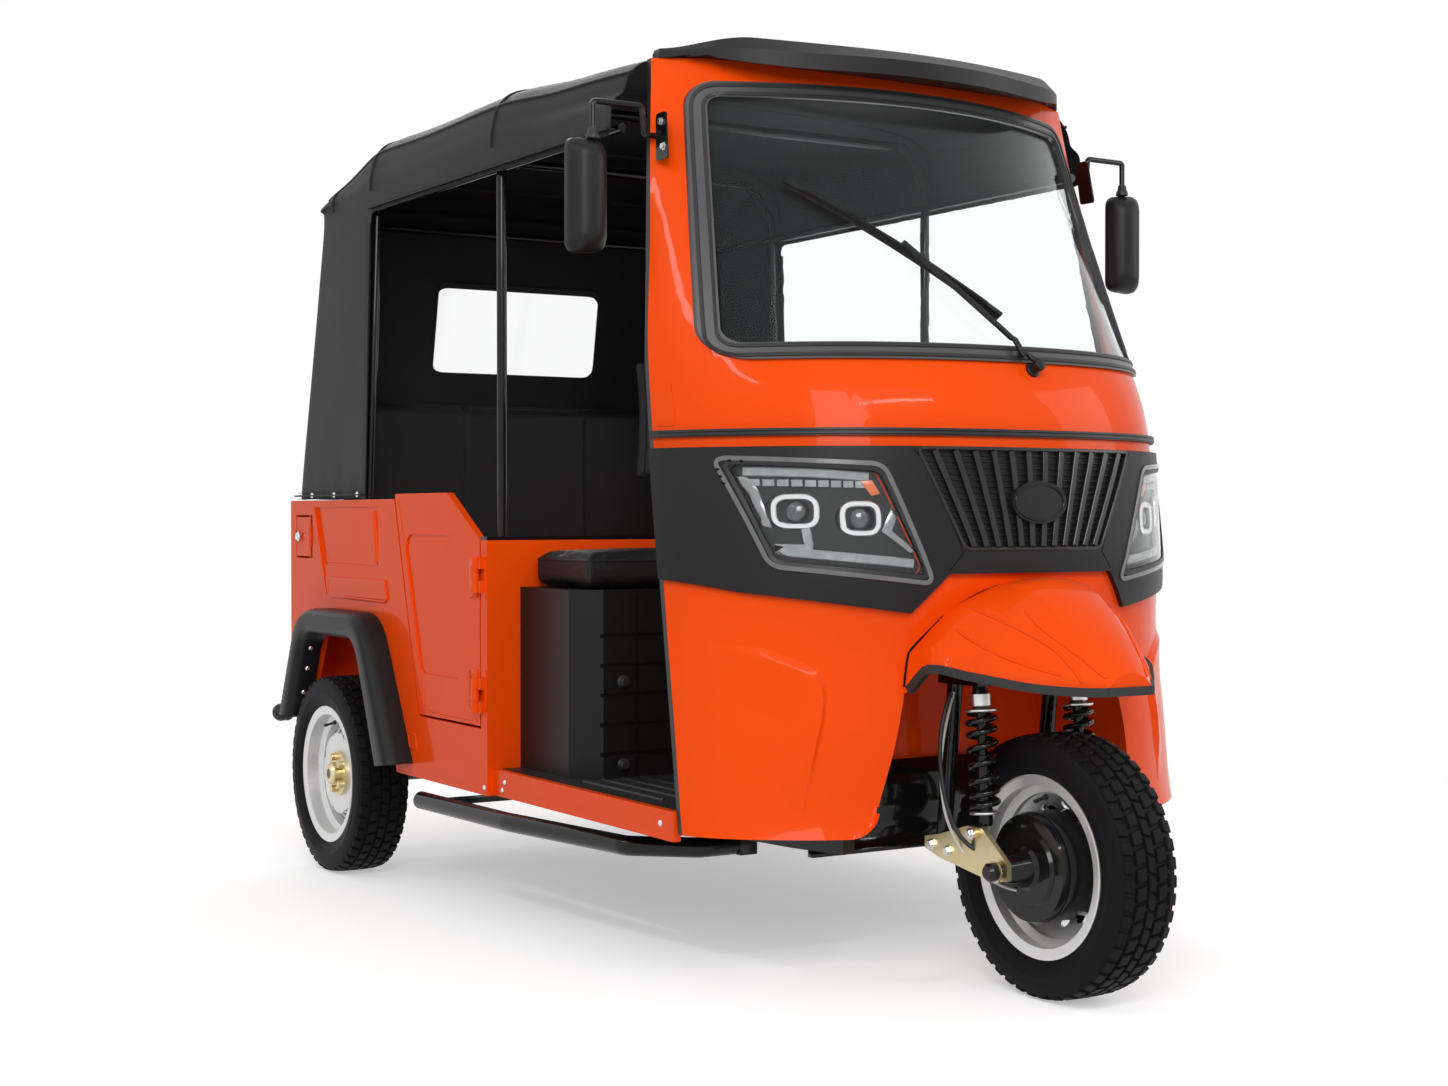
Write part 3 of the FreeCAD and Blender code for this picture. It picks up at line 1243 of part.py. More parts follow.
def quarter_pressings(panel, side):
    """A sunk field, a raised bar and a raised crease on a rear quarter."""
    depth = d.PressDepth
    skin = d.BodyHalfWidth * side
    front = behind(d.QuarterPressFrontSetback)
    rear = behind(d.QuarterPressRearSetback)
    foot = d.QuarterPressFootHeight
    top = d.QuarterPressTopHeight
    lean = d.QuarterCreaseLean
    sunk = -d.BodyHalfWidth if side < 0 else d.BodyHalfWidth - depth
    panel.pocket("YZ_Plane", [(front, foot), (rear, foot), (rear + lean, top), (front, top)], sunk, depth)
    proud = skin - depth if side < 0 else skin
    low = d.QuarterBarFootHeight
    bar_front = behind(d.QuarterBarFrontSetback)
    bar_rise = d.QuarterBarTopHeight - low
    panel.pad("YZ_Plane", [
        (bar_front, low), (rear - lean * 0.4, low), (rear - lean * 0.2, low + bar_rise),
        (bar_front + bar_rise * 0.4, low + bar_rise),
    ], proud, depth)
    width = d.QuarterCreaseWidth
    panel.pad("YZ_Plane", [
        (rear - lean * 0.3, low), (rear - lean * 0.3 + width, low), (rear + lean + width * 1.5, top),
        (rear + lean + width * 0.5, top),
    ], proud, depth)


def filler_pocket(panel, start, opening):
    """The box behind the filler opening, with the lid's hinge pin across the opening."""
    wall = d.PanelWall
    (low_y, low_z), (high_y, high_z) = opening[0], opening[2]
    rim_outline = rectangle(low_y - wall, low_z - wall, high_y + wall, high_z + wall)
    panel.pad("YZ_Plane", rim_outline, start, d.LidPocketDepth)
    panel.pocket("YZ_Plane", opening, start, d.LidPocketDepth - wall)
    x, y, _, pin = lid_hinge()
    panel.disc_pad("XY_Plane", (x, y), pin, low_z, high_z - low_z)


def tail_panel():
    """The rear panel between the side panels."""
    half = d.BodyHalfWidth - d.SideWall
    panel = SubPart("tail_panel")
    panel.pad("XZ_Plane", rectangle(-half, d.TailFootHeight, half, d.BodyTopHeight),
              behind(d.TailSetback) - d.TailWall, d.TailWall)


def wheel_houses():
    """Covers over the rear wheels, open outwards."""
    inner = float(d.HouseHalfWidth)
    outer = float(d.BodyHalfWidth - d.SideWall)
    wall = float(d.HouseWall)
    front = behind(d.ArchFootFrontSetback)
    rear = behind(d.TailSetback) - d.TailWall
    top = d.ArchTopHeight + wall
    cover = prism_x([(front - wall * 2, d.SillBottomHeight), (behind(d.ArchTopFrontSetback) - wall, top),
                     (rear, top), (rear, d.TailFootHeight)], inner - wall, outer)
    hollow = prism_x([(front, d.SillBottomHeight - wall), (behind(d.ArchTopFrontSetback), d.ArchTopHeight),
                      (rear - wall, d.ArchTopHeight), (rear - wall, d.TailFootHeight - wall * 2)],
                     inner, outer + wall)
    add_shape("wheel_houses", both_sides(cover.cut(hollow)))


def arch_flares():
    """Angular black flares round the rear wheel arches."""
    width = d.FlareWidth
    rise = width * 0.92
    flare = SubPart("arch_flares")
    rear_foot = d.FlareRearFootHeight
    outline = [
        (behind(d.ArchFootFrontSetback), d.ArchFootHeight), (behind(d.ArchTopFrontSetback), d.ArchTopHeight),
        (behind(d.ArchTopRearSetback), d.ArchTopHeight), (behind(d.ArchFootRearSetback), rear_foot),
        (behind(d.ArchFootRearSetback) + width, rear_foot),
        (behind(d.ArchTopRearSetback) + width * 0.5, d.ArchTopHeight + rise),
        (behind(d.ArchTopFrontSetback) - width * 0.5, d.ArchTopHeight + rise),
        (behind(d.ArchFootFrontSetback) - width * 1.4, d.ArchFootHeight + width * 0.2),
    ]
    piece = flare.pad("YZ_Plane", outline, d.BodyHalfWidth, d.FlareProud)
    flare.mirror([piece])


def bulkhead():
    """The panel behind the driver, its cap, and the hinge posts at its ends."""
    half = d.BodyHalfWidth
    low = d.FloorHeight
    panel = SubPart("bulkhead")
    inner = half - d.SideWall
    thick = d.BulkheadThickness
    panel.pad("XZ_Plane", rectangle(-inner, low, inner, d.BulkheadTopHeight), post_front(), thick)
    end = rectangle(inner, d.BodyFootHeight, half, d.BulkheadTopHeight)
    post = panel.pad("XZ_Plane", end, post_front(), thick)
    panel.mirror([post])
    cap = SubPart("bulkhead_cap")
    top = d.BulkheadTopHeight + d.BulkheadCapHeight
    cap.pad("XZ_Plane", rectangle(-half, d.BulkheadTopHeight, half, top), post_front(), thick)
    start = d.BackBracketSpacing / 2
    y = behind(d.DriverBackSetback) + d.DriverBackThickness + d.FitGap
    outline = rectangle(start, top - d.BulkheadCapHeight / 2, start + d.BackBracketWidth,
                        d.DriverBackTopHeight - d.BackBracketWidth)
    bracket = cap.pad("XZ_Plane", outline, y, post_front() + d.BackBracketWall - y)
    cap.mirror([bracket])


def hinge_axis():
    """Place (x, y) of the right-hand door's hinge pins."""
    rear = behind(d.PostSetback) + d.BulkheadThickness / 2
    return -(d.BodyHalfWidth + d.HingeProud), rear + d.MoveGap / 2


def door_outline():
    return [
        (behind(d.DoorFrontSetback), d.DoorFootHeight), (behind(d.DoorRearFootSetback), d.DoorFootHeight),
        (behind(d.DoorRearTopSetback), d.DoorTopHeight), (behind(d.DoorShoulderSetback), d.DoorTopHeight),
        (behind(d.DoorFrontSetback), d.DoorNoseHeight),
    ]


def door_pressing():
    """The shallow field pressed into a door's outer face."""
    inset = d.DoorPressInset
    front = behind(d.DoorFrontSetback) + inset * 0.85
    low = d.DoorFootHeight + inset
    high = d.DoorTopHeight - inset
    outline = [
        (front, low), (behind(d.DoorRearFootSetback) - inset * 0.1, low),
        (behind(d.DoorRearTopSetback) - inset * 0.55, high), (behind(d.DoorShoulderSetback), high),
        (front, d.DoorNoseHeight - inset * 0.6),
    ]
    skin = -d.BodyHalfWidth
    return prism_x(outline, skin - d.CutOverrun, skin + d.PressDepth, d.DoorPressCorner)


def hinge_levels():
    return (d.HingeFootHeight, d.HingeTopHeight)


def door_parts():
    """The half doors with their hinge knuckles, and the fixed halves with pins."""
    moving = prism_x(door_outline(), -d.BodyHalfWidth, -d.BodyHalfWidth + d.SideWall)
    moving = moving.cut(door_pressing()).fuse(door_latch())
    fixed = []
    x, y = hinge_axis()
    for middle in hinge_levels():
        low = middle - d.HingeLength / 2
        third = d.HingeLength / 3
        for number in (0, 2):
            fixed.append(fixed_knuckle(low + third * number, low + third * (number + 1)))
        moving = moving.fuse(door_knuckle(low + third + d.FitGap, low + third * 2 - d.FitGap))
        end = d.HingeRadius / 4
        fixed.append(rod(vec(x, y, low + end), vec(x, y, low + d.HingeLength - end), d.HingePinRadius))
    door = moving.removeSplitter()
    add_shape("door_right", door)
    add_shape("door_left", door.mirror(Vector(0, 0, 0), Vector(1, 0, 0)))
    add_shape("door_hinges", both_sides(fixed[0].multiFuse(fixed[1:])))


def door_knuckle(start, end):
    """A door's knuckle with the web that joins it to the door."""
    x, y = hinge_axis()
    front = y + d.HingeRadius * 0.7
    web = block(vec(x, front, start), vec(-d.BodyHalfWidth, front + d.HingeRadius * 3, end))
    knuckle = rod(vec(x, y, start), vec(x, y, end), d.HingeRadius)
    bore = rod(vec(x, y, start), vec(x, y, end), d.HingePinRadius + d.FitGap)
    return knuckle.fuse(web).cut(bore)


def fixed_knuckle(start, end):
    """A knuckle on the hinge post with its web."""
    x, y = hinge_axis()
    rear = y - d.HingeRadius * 0.7
    web = block(vec(x, rear - d.HingeRadius * 2.3, start), vec(-d.BodyHalfWidth, rear, end))
    return rod(vec(x, y, start), vec(x, y, end), d.HingeRadius).fuse(web)


def door_latch():
    """The pull inside a door, near its rear top corner."""
    size = d.LatchSize
    inner = -d.BodyHalfWidth + d.SideWall
    y = behind(d.DoorRearTopSetback) - size * 2
    z = d.DoorTopHeight - size * 2
    bar = block(vec(inner, y - d.LatchLength, z), vec(inner + size, y, z + size))
    edges = [edge for edge in bar.Edges if edge.BoundBox.XMin > float(inner)]
    return bar.makeFillet(float(size) * 0.3, edges)


def lid_hinge():
    """The filler lid's hinge: place (x, y), barrel radius and pin radius."""
    radius = d.HingeRadius * 0.6
    return -d.BodyHalfWidth - radius * 0.2, behind(d.LidFrontSetback) + radius, radius, d.HingePinRadius * 0.6


def filler_lid():
    """The filler lid with its hinge barrel."""
    skin = -d.BodyHalfWidth
    x, y, radius, pin = lid_hinge()
    low = d.LidFootHeight
    high = d.LidTopHeight
    quarter = (high - low) / 4
    edge = behind(d.LidFrontSetback) + radius * 2.4
    plate = block(vec(skin, edge, low), vec(skin + d.LidWall, behind(d.LidRearSetback), high))
    tab = block(vec(skin, y, low + quarter), vec(skin + d.LidWall, edge, high - quarter))
    barrel = rod(vec(x, y, low + quarter), vec(x, y, high - quarter), radius)
    bore = rod(vec(x, y, low), vec(x, y, high), pin + d.FitGap)
    add_shape("filler_lid", plate.fuse(tab).fuse(barrel).cut(bore).removeSplitter())


# seats


def driver_seat():
    """The moulded box with its grooves, the cushion and the small backrest."""
    half = d.DriverBoxHalfWidth
    front = behind(d.DriverBoxFrontSetback)
    rear = post_front()
    base_height = d.FloorHeight + d.MatWall
    box = SubPart("driver_seat_box")
    box.pad("XY_Plane", [
        (-half, front + d.DriverBoxChamferDepth), (-half + d.DriverBoxChamfer, front),
        (half - d.DriverBoxChamfer, front), (half, front + d.DriverBoxChamferDepth),
        (half, rear), (-half, rear),
    ], base_height, d.DriverBoxTopHeight - base_height)
    groove = box.pocket("XZ_Plane", rectangle(-half - d.CutOverrun, d.GrooveFirstHeight,
                                             half + d.CutOverrun, d.GrooveFirstHeight + d.GrooveHeight),
                        front - d.CutOverrun, d.CutOverrun + d.GrooveDepth)
    box.along(groove, "Z_Axis", d.GroovePitch, 5)
    half = d.DriverSeatHalfWidth
    seat = SubPart("driver_seat_cushion")
    piece = seat.pad("XY_Plane", rectangle(-half, behind(d.DriverSeatFrontSetback), half, rear - d.FitGap),
                     d.DriverBoxTopHeight + d.FitGap, d.DriverSeatThickness)
    seat.fillet(piece, d.CushionCorner, along_axis("x"))
    half = d.DriverBackHalfWidth
    back = SubPart("driver_backrest")
    piece = back.pad("XZ_Plane", rectangle(-half, d.DriverBackFootHeight, half, d.DriverBackTopHeight),
                     behind(d.DriverBackSetback), d.DriverBackThickness)
    back.fillet(piece, d.CushionCorner, along_axis("y"))


def passenger_bench():
    """The bench base, its cushion and the backrest."""
    top = d.BenchHeight
    rear = behind(d.TailSetback) - d.TailWall
    half = d.HouseHalfWidth - d.HouseWall
    front = behind(d.FloorRearSetback)
    base = SubPart("bench_base")
    base.pad("YZ_Plane", [
        (front - d.BenchWall, d.FloorHeight), (front, d.FloorHeight), (front, top - d.BenchWall),
        (rear, top - d.BenchWall), (rear, top), (front - d.BenchWall, top),
    ], -half, half * 2)
    seat = SubPart("bench_cushion")
    half = d.BenchSeatHalfWidth
    piece = seat.pad("XY_Plane", rectangle(-half, front, half, behind(d.BenchBackSetback) - d.FitGap),
                     top + d.FitGap, d.BenchSeatThickness)
    seat.fillet(piece, d.CushionCorner, along_axis("x"))
    back = SubPart("bench_backrest")
    half = d.BenchBackHalfWidth
    piece = back.pad("XZ_Plane", rectangle(-half, top + d.FitGap, half, d.BenchBackTopHeight),
                     behind(d.BenchBackSetback), d.BenchBackThickness)
    back.fillet(piece, d.CushionCorner, along_axis("y"))


# canopy and its frame

# rows along the roof: share of the way from the visor to the rear top corner, share of the
# crown's height over the side edge, share of the half width at the shoulder
ROOF_SHARES = [
    (0.000, 0.84, 0.900), (0.120, 0.92, 0.925), (0.300, 0.98, 0.940), (0.480, 1.00, 0.940),
    (0.760, 0.98, 0.940), (0.850, 0.80, 0.940), (0.930, 0.58, 0.950), (1.000, 0.30, 0.970),
]
# half of a roof section: share of the half width, share of the height over the edge
ROOF_SECTION_SHARES = [(1.0, 0.0), (1.0, 0.40), (0.965, 0.70), (0.86, 0.88), (0.55, 0.965), (0.0, 1.0)]


def roof_form(inset):
    """The roof's solid form over a flat foot, moved inwards by an inset."""
    front = float(behind(d.VisorBackSetback))
    rear = float(behind(d.CanopyRearTopSetback))
    low = float(d.CanopyEdgeHeight)
    full_rise = float(d.CanopyCrownHeight) - low
    half = float(d.CanopyHalfWidth) - inset
    overrun = float(d.CutOverrun) if inset else 0.0
    wires = []
    for along, rise, shoulder in ROOF_SHARES:
        y = front + (rear - front) * along
        if along == 0.0:
            y -= overrun
        if along == 1.0:
            y -= inset
        right = []
        for across, up in ROOF_SECTION_SHARES:
            narrow = 1.0 if across in (0.0, 1.0) else shoulder / 0.94
            right.append(Vector(half * across * narrow, y, low + (full_rise * rise - inset) * up))
        wires.append(arch_wire(right, 1, overrun))
    return Part.makeLoft(wires, True, True)


def canopy_roof():
    """The roof sheet, with its short sides, from the visor to the rear top corner."""
    add_shape("canopy_roof", roof_form(0.0).cut(roof_form(float(d.CanopyWall))))


def canopy_rear():
    """The rear hood: both sides and the back, down to the hem, with the window cut."""
    wall = float(d.CanopyWall)
    front = float(behind(d.CanopyQuarterSetback))
    low = float(d.BodyTopHeight + d.FitGap)
    high = float(d.CanopyEdgeHeight)
    wires = []
    for share in (0.0, 1.0):
        height = low + (high - low) * share
        half = float(d.CanopyHemHalfWidth) + float(d.CanopyHalfWidth - d.CanopyHemHalfWidth) * share
        rear = float(behind(d.CanopyHemSetback)) + float(d.CanopyRearTopSetback - d.CanopyHemSetback) * share
        wires.append(hood_wire(height, half, front, rear, wall))
    hood = Part.makeLoft(wires, True, True)
    half = d.WindowHalfWidth
    window = rectangle(-half, d.WindowFootHeight, half, d.WindowTopHeight)
    far = behind(d.CanopyHemSetback) + d.CutOverrun
    opening = prism_y(window, behind(d.CanopyQuarterSetback), far, d.WindowCorner)
    pane_wires = []
    for share in (0.0, 1.0):
        height = low + (high - low) * share
        half = float(d.CanopyHemHalfWidth) + float(d.CanopyHalfWidth - d.CanopyHemHalfWidth) * share
        rear = float(behind(d.CanopyHemSetback)) + float(d.CanopyRearTopSetback - d.CanopyHemSetback) * share
        inner = rear - wall / 2 - float(d.WindowWall) / 2
        outer = inner + float(d.WindowWall)
        pane_wires.append(Part.makePolygon([
            Vector(-half, inner, height), Vector(half, inner, height), Vector(half, outer, height),
            Vector(-half, outer, height), Vector(-half, inner, height),
        ]))
    pane = Part.makeLoft(pane_wires, True, True)
    add_shape("canopy_rear", hood.cut(opening))
    add_shape("rear_window", pane.common(opening))


def hood_wire(height, half, front, rear, wall):
    """A U-shaped section of the hood at one height, with round rear corners."""
    edges = []
    for inset in (0.0, wall):
        corner = float(d.CanopyRearCorner) - inset
        x = half - inset
        y = rear - inset
        lean = corner * (1 - math.sqrt(0.5))
        edges.append([
            Vector(-x, front, height), Vector(-x, y - corner, height), Vector(-x + lean, y - lean, height),
            Vector(-x + corner, y, height), Vector(x - corner, y, height), Vector(x - lean, y - lean, height),
            Vector(x, y - corner, height), Vector(x, front, height),
        ])
    outer, inner = edges
    parts = []
    for row in (outer, list(reversed(inner))):
        parts += [
            Part.LineSegment(row[0], row[1]).toShape(), Part.Arc(row[1], row[2], row[3]).toShape(),
            Part.LineSegment(row[3], row[4]).toShape(), Part.Arc(row[4], row[5], row[6]).toShape(),
            Part.LineSegment(row[6], row[7]).toShape(),
        ]
        other = inner[-1] if row is outer else outer[0]
        parts.append(Part.LineSegment(row[7], other).toShape())
    return Part.Wire(parts)


def canopy_frame():
    """Middle posts, bows and the rail round their heads."""
    radius = d.BowRadius
    shoulder = float(d.BowShoulder)
    top = float(d.CanopyCrownHeight - d.BowDrop)
    x = float(d.PostHalfWidth)
    quarter = behind(d.CanopyQuarterSetback) + radius * 1.5
    inside_hood = d.CanopyHemHalfWidth - d.CanopyWall - radius - d.FitGap * 3
    feet = (
        (behind(d.PostSetback), d.PostHalfWidth, d.BulkheadTopHeight + d.BulkheadCapHeight),
        (quarter, inside_hood, d.BodyTopHeight + radius * 0.08),
    )
    frames = []
    for y, foot_x, low in feet:
        frames.append(bent_rod([
            vec(-foot_x, y, low), vec(-x, y, top - shoulder), vec(-x + shoulder * 0.75, y, top),
            vec(x - shoulder * 0.75, y, top), vec(x, y, top - shoulder), vec(foot_x, y, low),
        ], radius, radius * 3))
    rail = d.CanopyEdgeHeight + radius * 1.4
    front = behind(d.VisorBackSetback)
    rear = behind(d.RearBowSetback)
    corner = radius * 3
    frames.append(bent_rod([
        vec(-x, front, rail), vec(-x, rear, rail), vec(x, rear, rail), vec(x, front, rail),
    ], radius * 0.85, corner))
    add_shape("canopy_frame", frames[0].multiFuse(frames[1:]))


# steps, bumper, mirrors and wiper


def side_steps():
    """Bent step tubes along both sides, with brackets to the chassis."""
    z = d.StepHeight
    rail_x = d.RailHalfSpacing + d.RailWidth
    points = [
        vec(d.StepHalfWidth, behind(d.StepRearSetback), z),
        vec(d.StepHalfWidth * 0.97, behind(d.StepMidSetback), z),
        vec(d.StepHalfWidth * 0.875, behind(d.StepBendSetback), z),
        vec(rail_x + d.RailWidth * 2, behind(d.StepFrontSetback), z),
        vec(rail_x, behind(d.StepFrontSetback), z),
    ]
    tube = bent_rod(points, d.StepRadius, d.StepRadius * 2)
    inner = rail_top() - d.RailDepth
    foot = block(vec(rail_x - d.RailWidth, behind(d.StepFrontSetback) - d.StepRadius, z - d.StepRadius),
                 vec(rail_x, behind(d.StepFrontSetback) + d.StepRadius, inner))
    stay_y = behind(d.StepRearSetback) - d.StepRadius * 3
    stay = block(vec(rail_x - d.RailWidth, stay_y, z - d.StepRadius * 0.4),
                 vec(d.StepHalfWidth - d.StepRadius * 0.5, stay_y + d.StepRadius * 2, z + d.StepRadius * 0.2))
    lug = block(vec(rail_x - d.RailWidth, stay_y, z - d.StepRadius * 0.4),
                vec(rail_x, stay_y + d.StepRadius * 2, inner))
    shape = tube.fuse(foot).fuse(stay).fuse(lug)
    add_shape("side_steps", both_sides(shape.removeSplitter()))


def rear_bumper():
    """Bumper tube with ball ends, on two stays from the rails."""
    radius = d.BumperRadius
    ball = d.BumperBallRadius
    y = d.OverallLength / 2 - ball
    z = d.BumperHeight
    half = d.BumperHalfWidth
    shape = rod(vec(-half, y, z), vec(half, y, z), radius)
    rail_rear = behind(d.FrameRearSetback)
    for side in (-1, 1):
        shape = shape.fuse(Part.makeSphere(float(ball), vec(half * side, y, z)))
        x = (d.RailHalfSpacing + d.RailWidth / 2) * side
        shape = shape.fuse(rod(vec(x, rail_rear, z), vec(x, y, z), radius * 0.8))
    add_shape("rear_bumper", shape.removeSplitter())


def mirrors():
    """Door mirrors: bent arms from the pillars, and moulded housings."""
    x = float(d.MirrorHalfSpacing)
    y = float(behind(d.MirrorSetback))
    radius = d.MirrorArmRadius
    top = float(d.MirrorArmHeight)
    mount = plan_points(height_share(d.MirrorBracketHeight))[-1]
    start = Vector(mount.x, mount.y - float(d.MirrorArmRadius) * 3, mount.z)
    elbow = Vector(start.x + float(radius) * 5, start.y, top)
    arm = bent_rod([
        start, Vector(start.x + float(radius) * 4, start.y, start.z), elbow,
        Vector(x, y, top), Vector(x, y, float(d.MirrorTopHeight)),
    ], radius, radius * 1.2)
    add_shape("mirror_arms", both_sides(arm))
    half_width = d.MirrorWidth / 2
    half_depth = d.MirrorDepth / 2
    housing = block(vec(x - half_width, y - half_depth, d.MirrorFootHeight),
                    vec(x + half_width, y + half_depth, d.MirrorTopHeight))
    housing = housing.makeFillet(float(d.MirrorCorner), housing.Edges)
    add_shape("mirror_housings", both_sides(housing))


def wiper():
    """Wiper pivot, arm and blade in front of the windscreen."""
    lift = d.WiperLift
    foot = skin_point(d.WiperPivotAcross, d.WiperPivotHeight)
    head = skin_point(d.WiperPivotAcross, d.WiperPivotHeight, lift + d.WiperThickness)
    shape = rod(foot, head, d.WiperPivotRadius).cut(cab_solid(d.FitGap))
    start = skin_point(d.WiperPivotAcross, d.WiperPivotHeight, lift)
    joint = skin_point(d.WiperJointAcross, d.WiperJointHeight, lift)
    shape = shape.fuse(flat_bar([start, joint]))
    across = d.BladeTipAcross - d.BladeFootAcross
    up = d.BladeTipHeight - d.BladeFootHeight
    points = []
    for number in range(5):
        share = number / 4
        points.append(skin_point(d.BladeFootAcross + across * share, d.BladeFootHeight + up * share, lift))
    add_shape("wiper", shape.fuse(flat_bar(points)).removeSplitter())


def flat_bar(points):
    """A thin bar through points, its depth along Y."""
    half = float(d.WiperWidth) / 2
    run = points[-1] - points[0]
    side = Vector(-run.z, 0, run.x).normalize() * half
    back = Vector(0, -float(d.WiperThickness), 0)
    wires = []
    for point in points:
        low = point - side
        high = point + side
        wires.append(Part.makePolygon([low, high, high + back, low + back, low]))
    return Part.makeLoft(wires, True, True)


# rear axle


def rear_running_gear():
    """Axle tube with its motor, brake plates, trailing arms and dampers."""
    z = d.WheelRadius
    y = rear_axle
    half = d.AxleTubeHalfLength
    axle = SubPart("rear_axle", 0.0, y, z)
    stub = d.RearTrack / 2 + disc_face() + d.HubLength / 2
    radius = d.AxleTubeRadius
    axle.revolve([
        (-stub, 0.0), (stub, 0.0), (stub, d.AxleRadius), (half, d.AxleRadius), (half, radius),
        (d.MotorLength / 2, radius), (d.MotorLength / 2 * 0.86, d.MotorRadius),
        (d.MotorLength / 2 * -0.86, d.MotorRadius),
        (-d.MotorLength / 2, radius), (-half, radius), (-half, d.AxleRadius), (-stub, d.AxleRadius),
    ])
    pivot = (behind(d.ArmPivotSetback) - y, rail_top() - d.RailDepth / 2 - z)
    deep = d.ArmRadius
    outline = [
        (pivot[0] - deep, pivot[1] - deep), (pivot[0] - deep, pivot[1] + deep),
        (pivot[0] + deep, pivot[1] + deep),
        (0.0, deep), (0.0, -deep),
    ]
    arm = axle.pad("YZ_Plane", outline, d.ArmHalfSpacing - deep, deep * 2)
    inner = d.RailHalfSpacing + d.RailWidth
    eye = axle.disc_pad("YZ_Plane", pivot, deep * 0.8, inner, d.ArmHalfSpacing - inner)
    top = d.BenchHeight - d.BenchWall - d.FitGap
    damper = axle.disc_pad("XY_Plane", (d.ArmHalfSpacing + deep, 0.0), d.RearShockRadius, 0.0, top - z)
    back = d.RearTrack / 2 + disc_face() - d.RearDrumWidth - d.MoveGap / 2
    plate = axle.disc_pad("YZ_Plane", (0.0, 0.0), d.RearDrumRadius, back - d.BrakePlateThickness,
                          d.BrakePlateThickness)
    axle.mirror([arm, eye, damper, plate])


def tail_lamps():
    half = d.BodyHalfWidth - d.SideWall
    lamp = SubPart("tail_lamps")
    start = half - d.TailLampWidth
    outline = rectangle(start, d.TailLampFootHeight, half, d.TailLampFootHeight + d.TailLampHeight)
    piece = lamp.pad("XZ_Plane", outline, behind(d.TailSetback), d.TailLampDepth)
    lamp.mirror([piece])


def build_vehicle():
    wheels()
    fork()
    handlebar()
    leading_links()
    front_axle_bar()
    shock_absorbers()
    cab_front()
    roof_visor()
    front_mudguard()
    wheel_well()
    pillar_trims()
    dashboard()
    floor()
    chassis_frame()
    head_frame()
    side_panels()
    tail_panel()
    wheel_houses()
    arch_flares()
    bulkhead()
    door_parts()
    filler_lid()
    driver_seat()
    passenger_bench()
    canopy_roof()
    canopy_rear()
    canopy_frame()
    side_steps()
    rear_bumper()
    mirrors()
    wiper()
    rear_running_gear()
    tail_lamps()


def write_parts():
    """Check every object, then write each node's shape."""
    doc.recompute()
    for item in doc.Objects:
        faults = [state for state in item.State if state in ("Invalid", "Error")]
        if faults:
            raise ValueError(f"{item.Name} in {item.getParentGeoFeatureGroup()} is {faults}")
    for node in nodes:
        if node.Shape.isNull() or not node.Shape.isValid():
            raise ValueError(f"{node.Label} has no valid shape")
    os.makedirs("parts", exist_ok=True)
    for node in nodes:
        node.Shape.exportStep(f"parts/{node.Label}.step")
        print(node.Label, len(node.Shape.Solids), round(node.Shape.Volume / 1000.0, 1))


build_vehicle()
write_parts()
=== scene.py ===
"""Auto rickshaw: finishes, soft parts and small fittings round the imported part."""

import json
import logging
import math
from dataclasses import dataclass
from enum import Enum
from functools import cache
from typing import Callable, Iterable, Optional, Sequence

import bmesh
import bpy
from mathutils import Matrix, Vector
from mathutils.bvhtree import BVHTree

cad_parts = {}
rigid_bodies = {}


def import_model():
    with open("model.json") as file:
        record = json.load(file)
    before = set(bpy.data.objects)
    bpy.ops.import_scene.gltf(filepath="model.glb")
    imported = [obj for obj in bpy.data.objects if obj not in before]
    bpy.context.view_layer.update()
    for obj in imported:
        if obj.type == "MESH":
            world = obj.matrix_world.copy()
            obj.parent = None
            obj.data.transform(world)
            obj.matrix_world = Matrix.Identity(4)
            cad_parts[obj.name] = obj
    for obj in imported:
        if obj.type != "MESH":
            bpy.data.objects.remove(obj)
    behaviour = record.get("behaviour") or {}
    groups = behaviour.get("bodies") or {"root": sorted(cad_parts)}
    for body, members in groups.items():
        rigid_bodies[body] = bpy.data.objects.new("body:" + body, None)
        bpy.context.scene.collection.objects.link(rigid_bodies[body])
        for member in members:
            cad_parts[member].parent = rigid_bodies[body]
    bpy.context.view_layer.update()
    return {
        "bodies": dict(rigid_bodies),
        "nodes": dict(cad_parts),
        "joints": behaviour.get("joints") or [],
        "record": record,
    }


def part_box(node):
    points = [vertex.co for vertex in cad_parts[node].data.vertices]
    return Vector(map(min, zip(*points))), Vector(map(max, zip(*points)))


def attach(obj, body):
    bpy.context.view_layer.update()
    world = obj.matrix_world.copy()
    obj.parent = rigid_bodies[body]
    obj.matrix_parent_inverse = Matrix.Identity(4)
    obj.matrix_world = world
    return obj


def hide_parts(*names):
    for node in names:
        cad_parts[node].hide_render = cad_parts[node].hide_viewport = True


LOG = logging.getLogger("auto_rickshaw")
FRONT_AXLE = -1.120
REAR_AXLE = 0.880
AXLE_HEIGHT = 0.245
SIDES = (-1, 1)
ACROSS, AHEAD, UP = Vector((1, 0, 0)), Vector((0, -1, 0)), Vector((0, 0, 1))
Colour = tuple[float, float, float]
Flat = tuple[float, float]
Spot = tuple[float, float, float]
Line = Sequence[Sequence[float]]
Row = Sequence[Vector]
Piece = bpy.types.Object
Socket = bpy.types.NodeSocket
Node = bpy.types.Node
Tree = bpy.types.NodeTree


def behind(setback: float) -> float:
    """The Y of something that far behind the front axle."""
    return FRONT_AXLE + setback


# node helpers


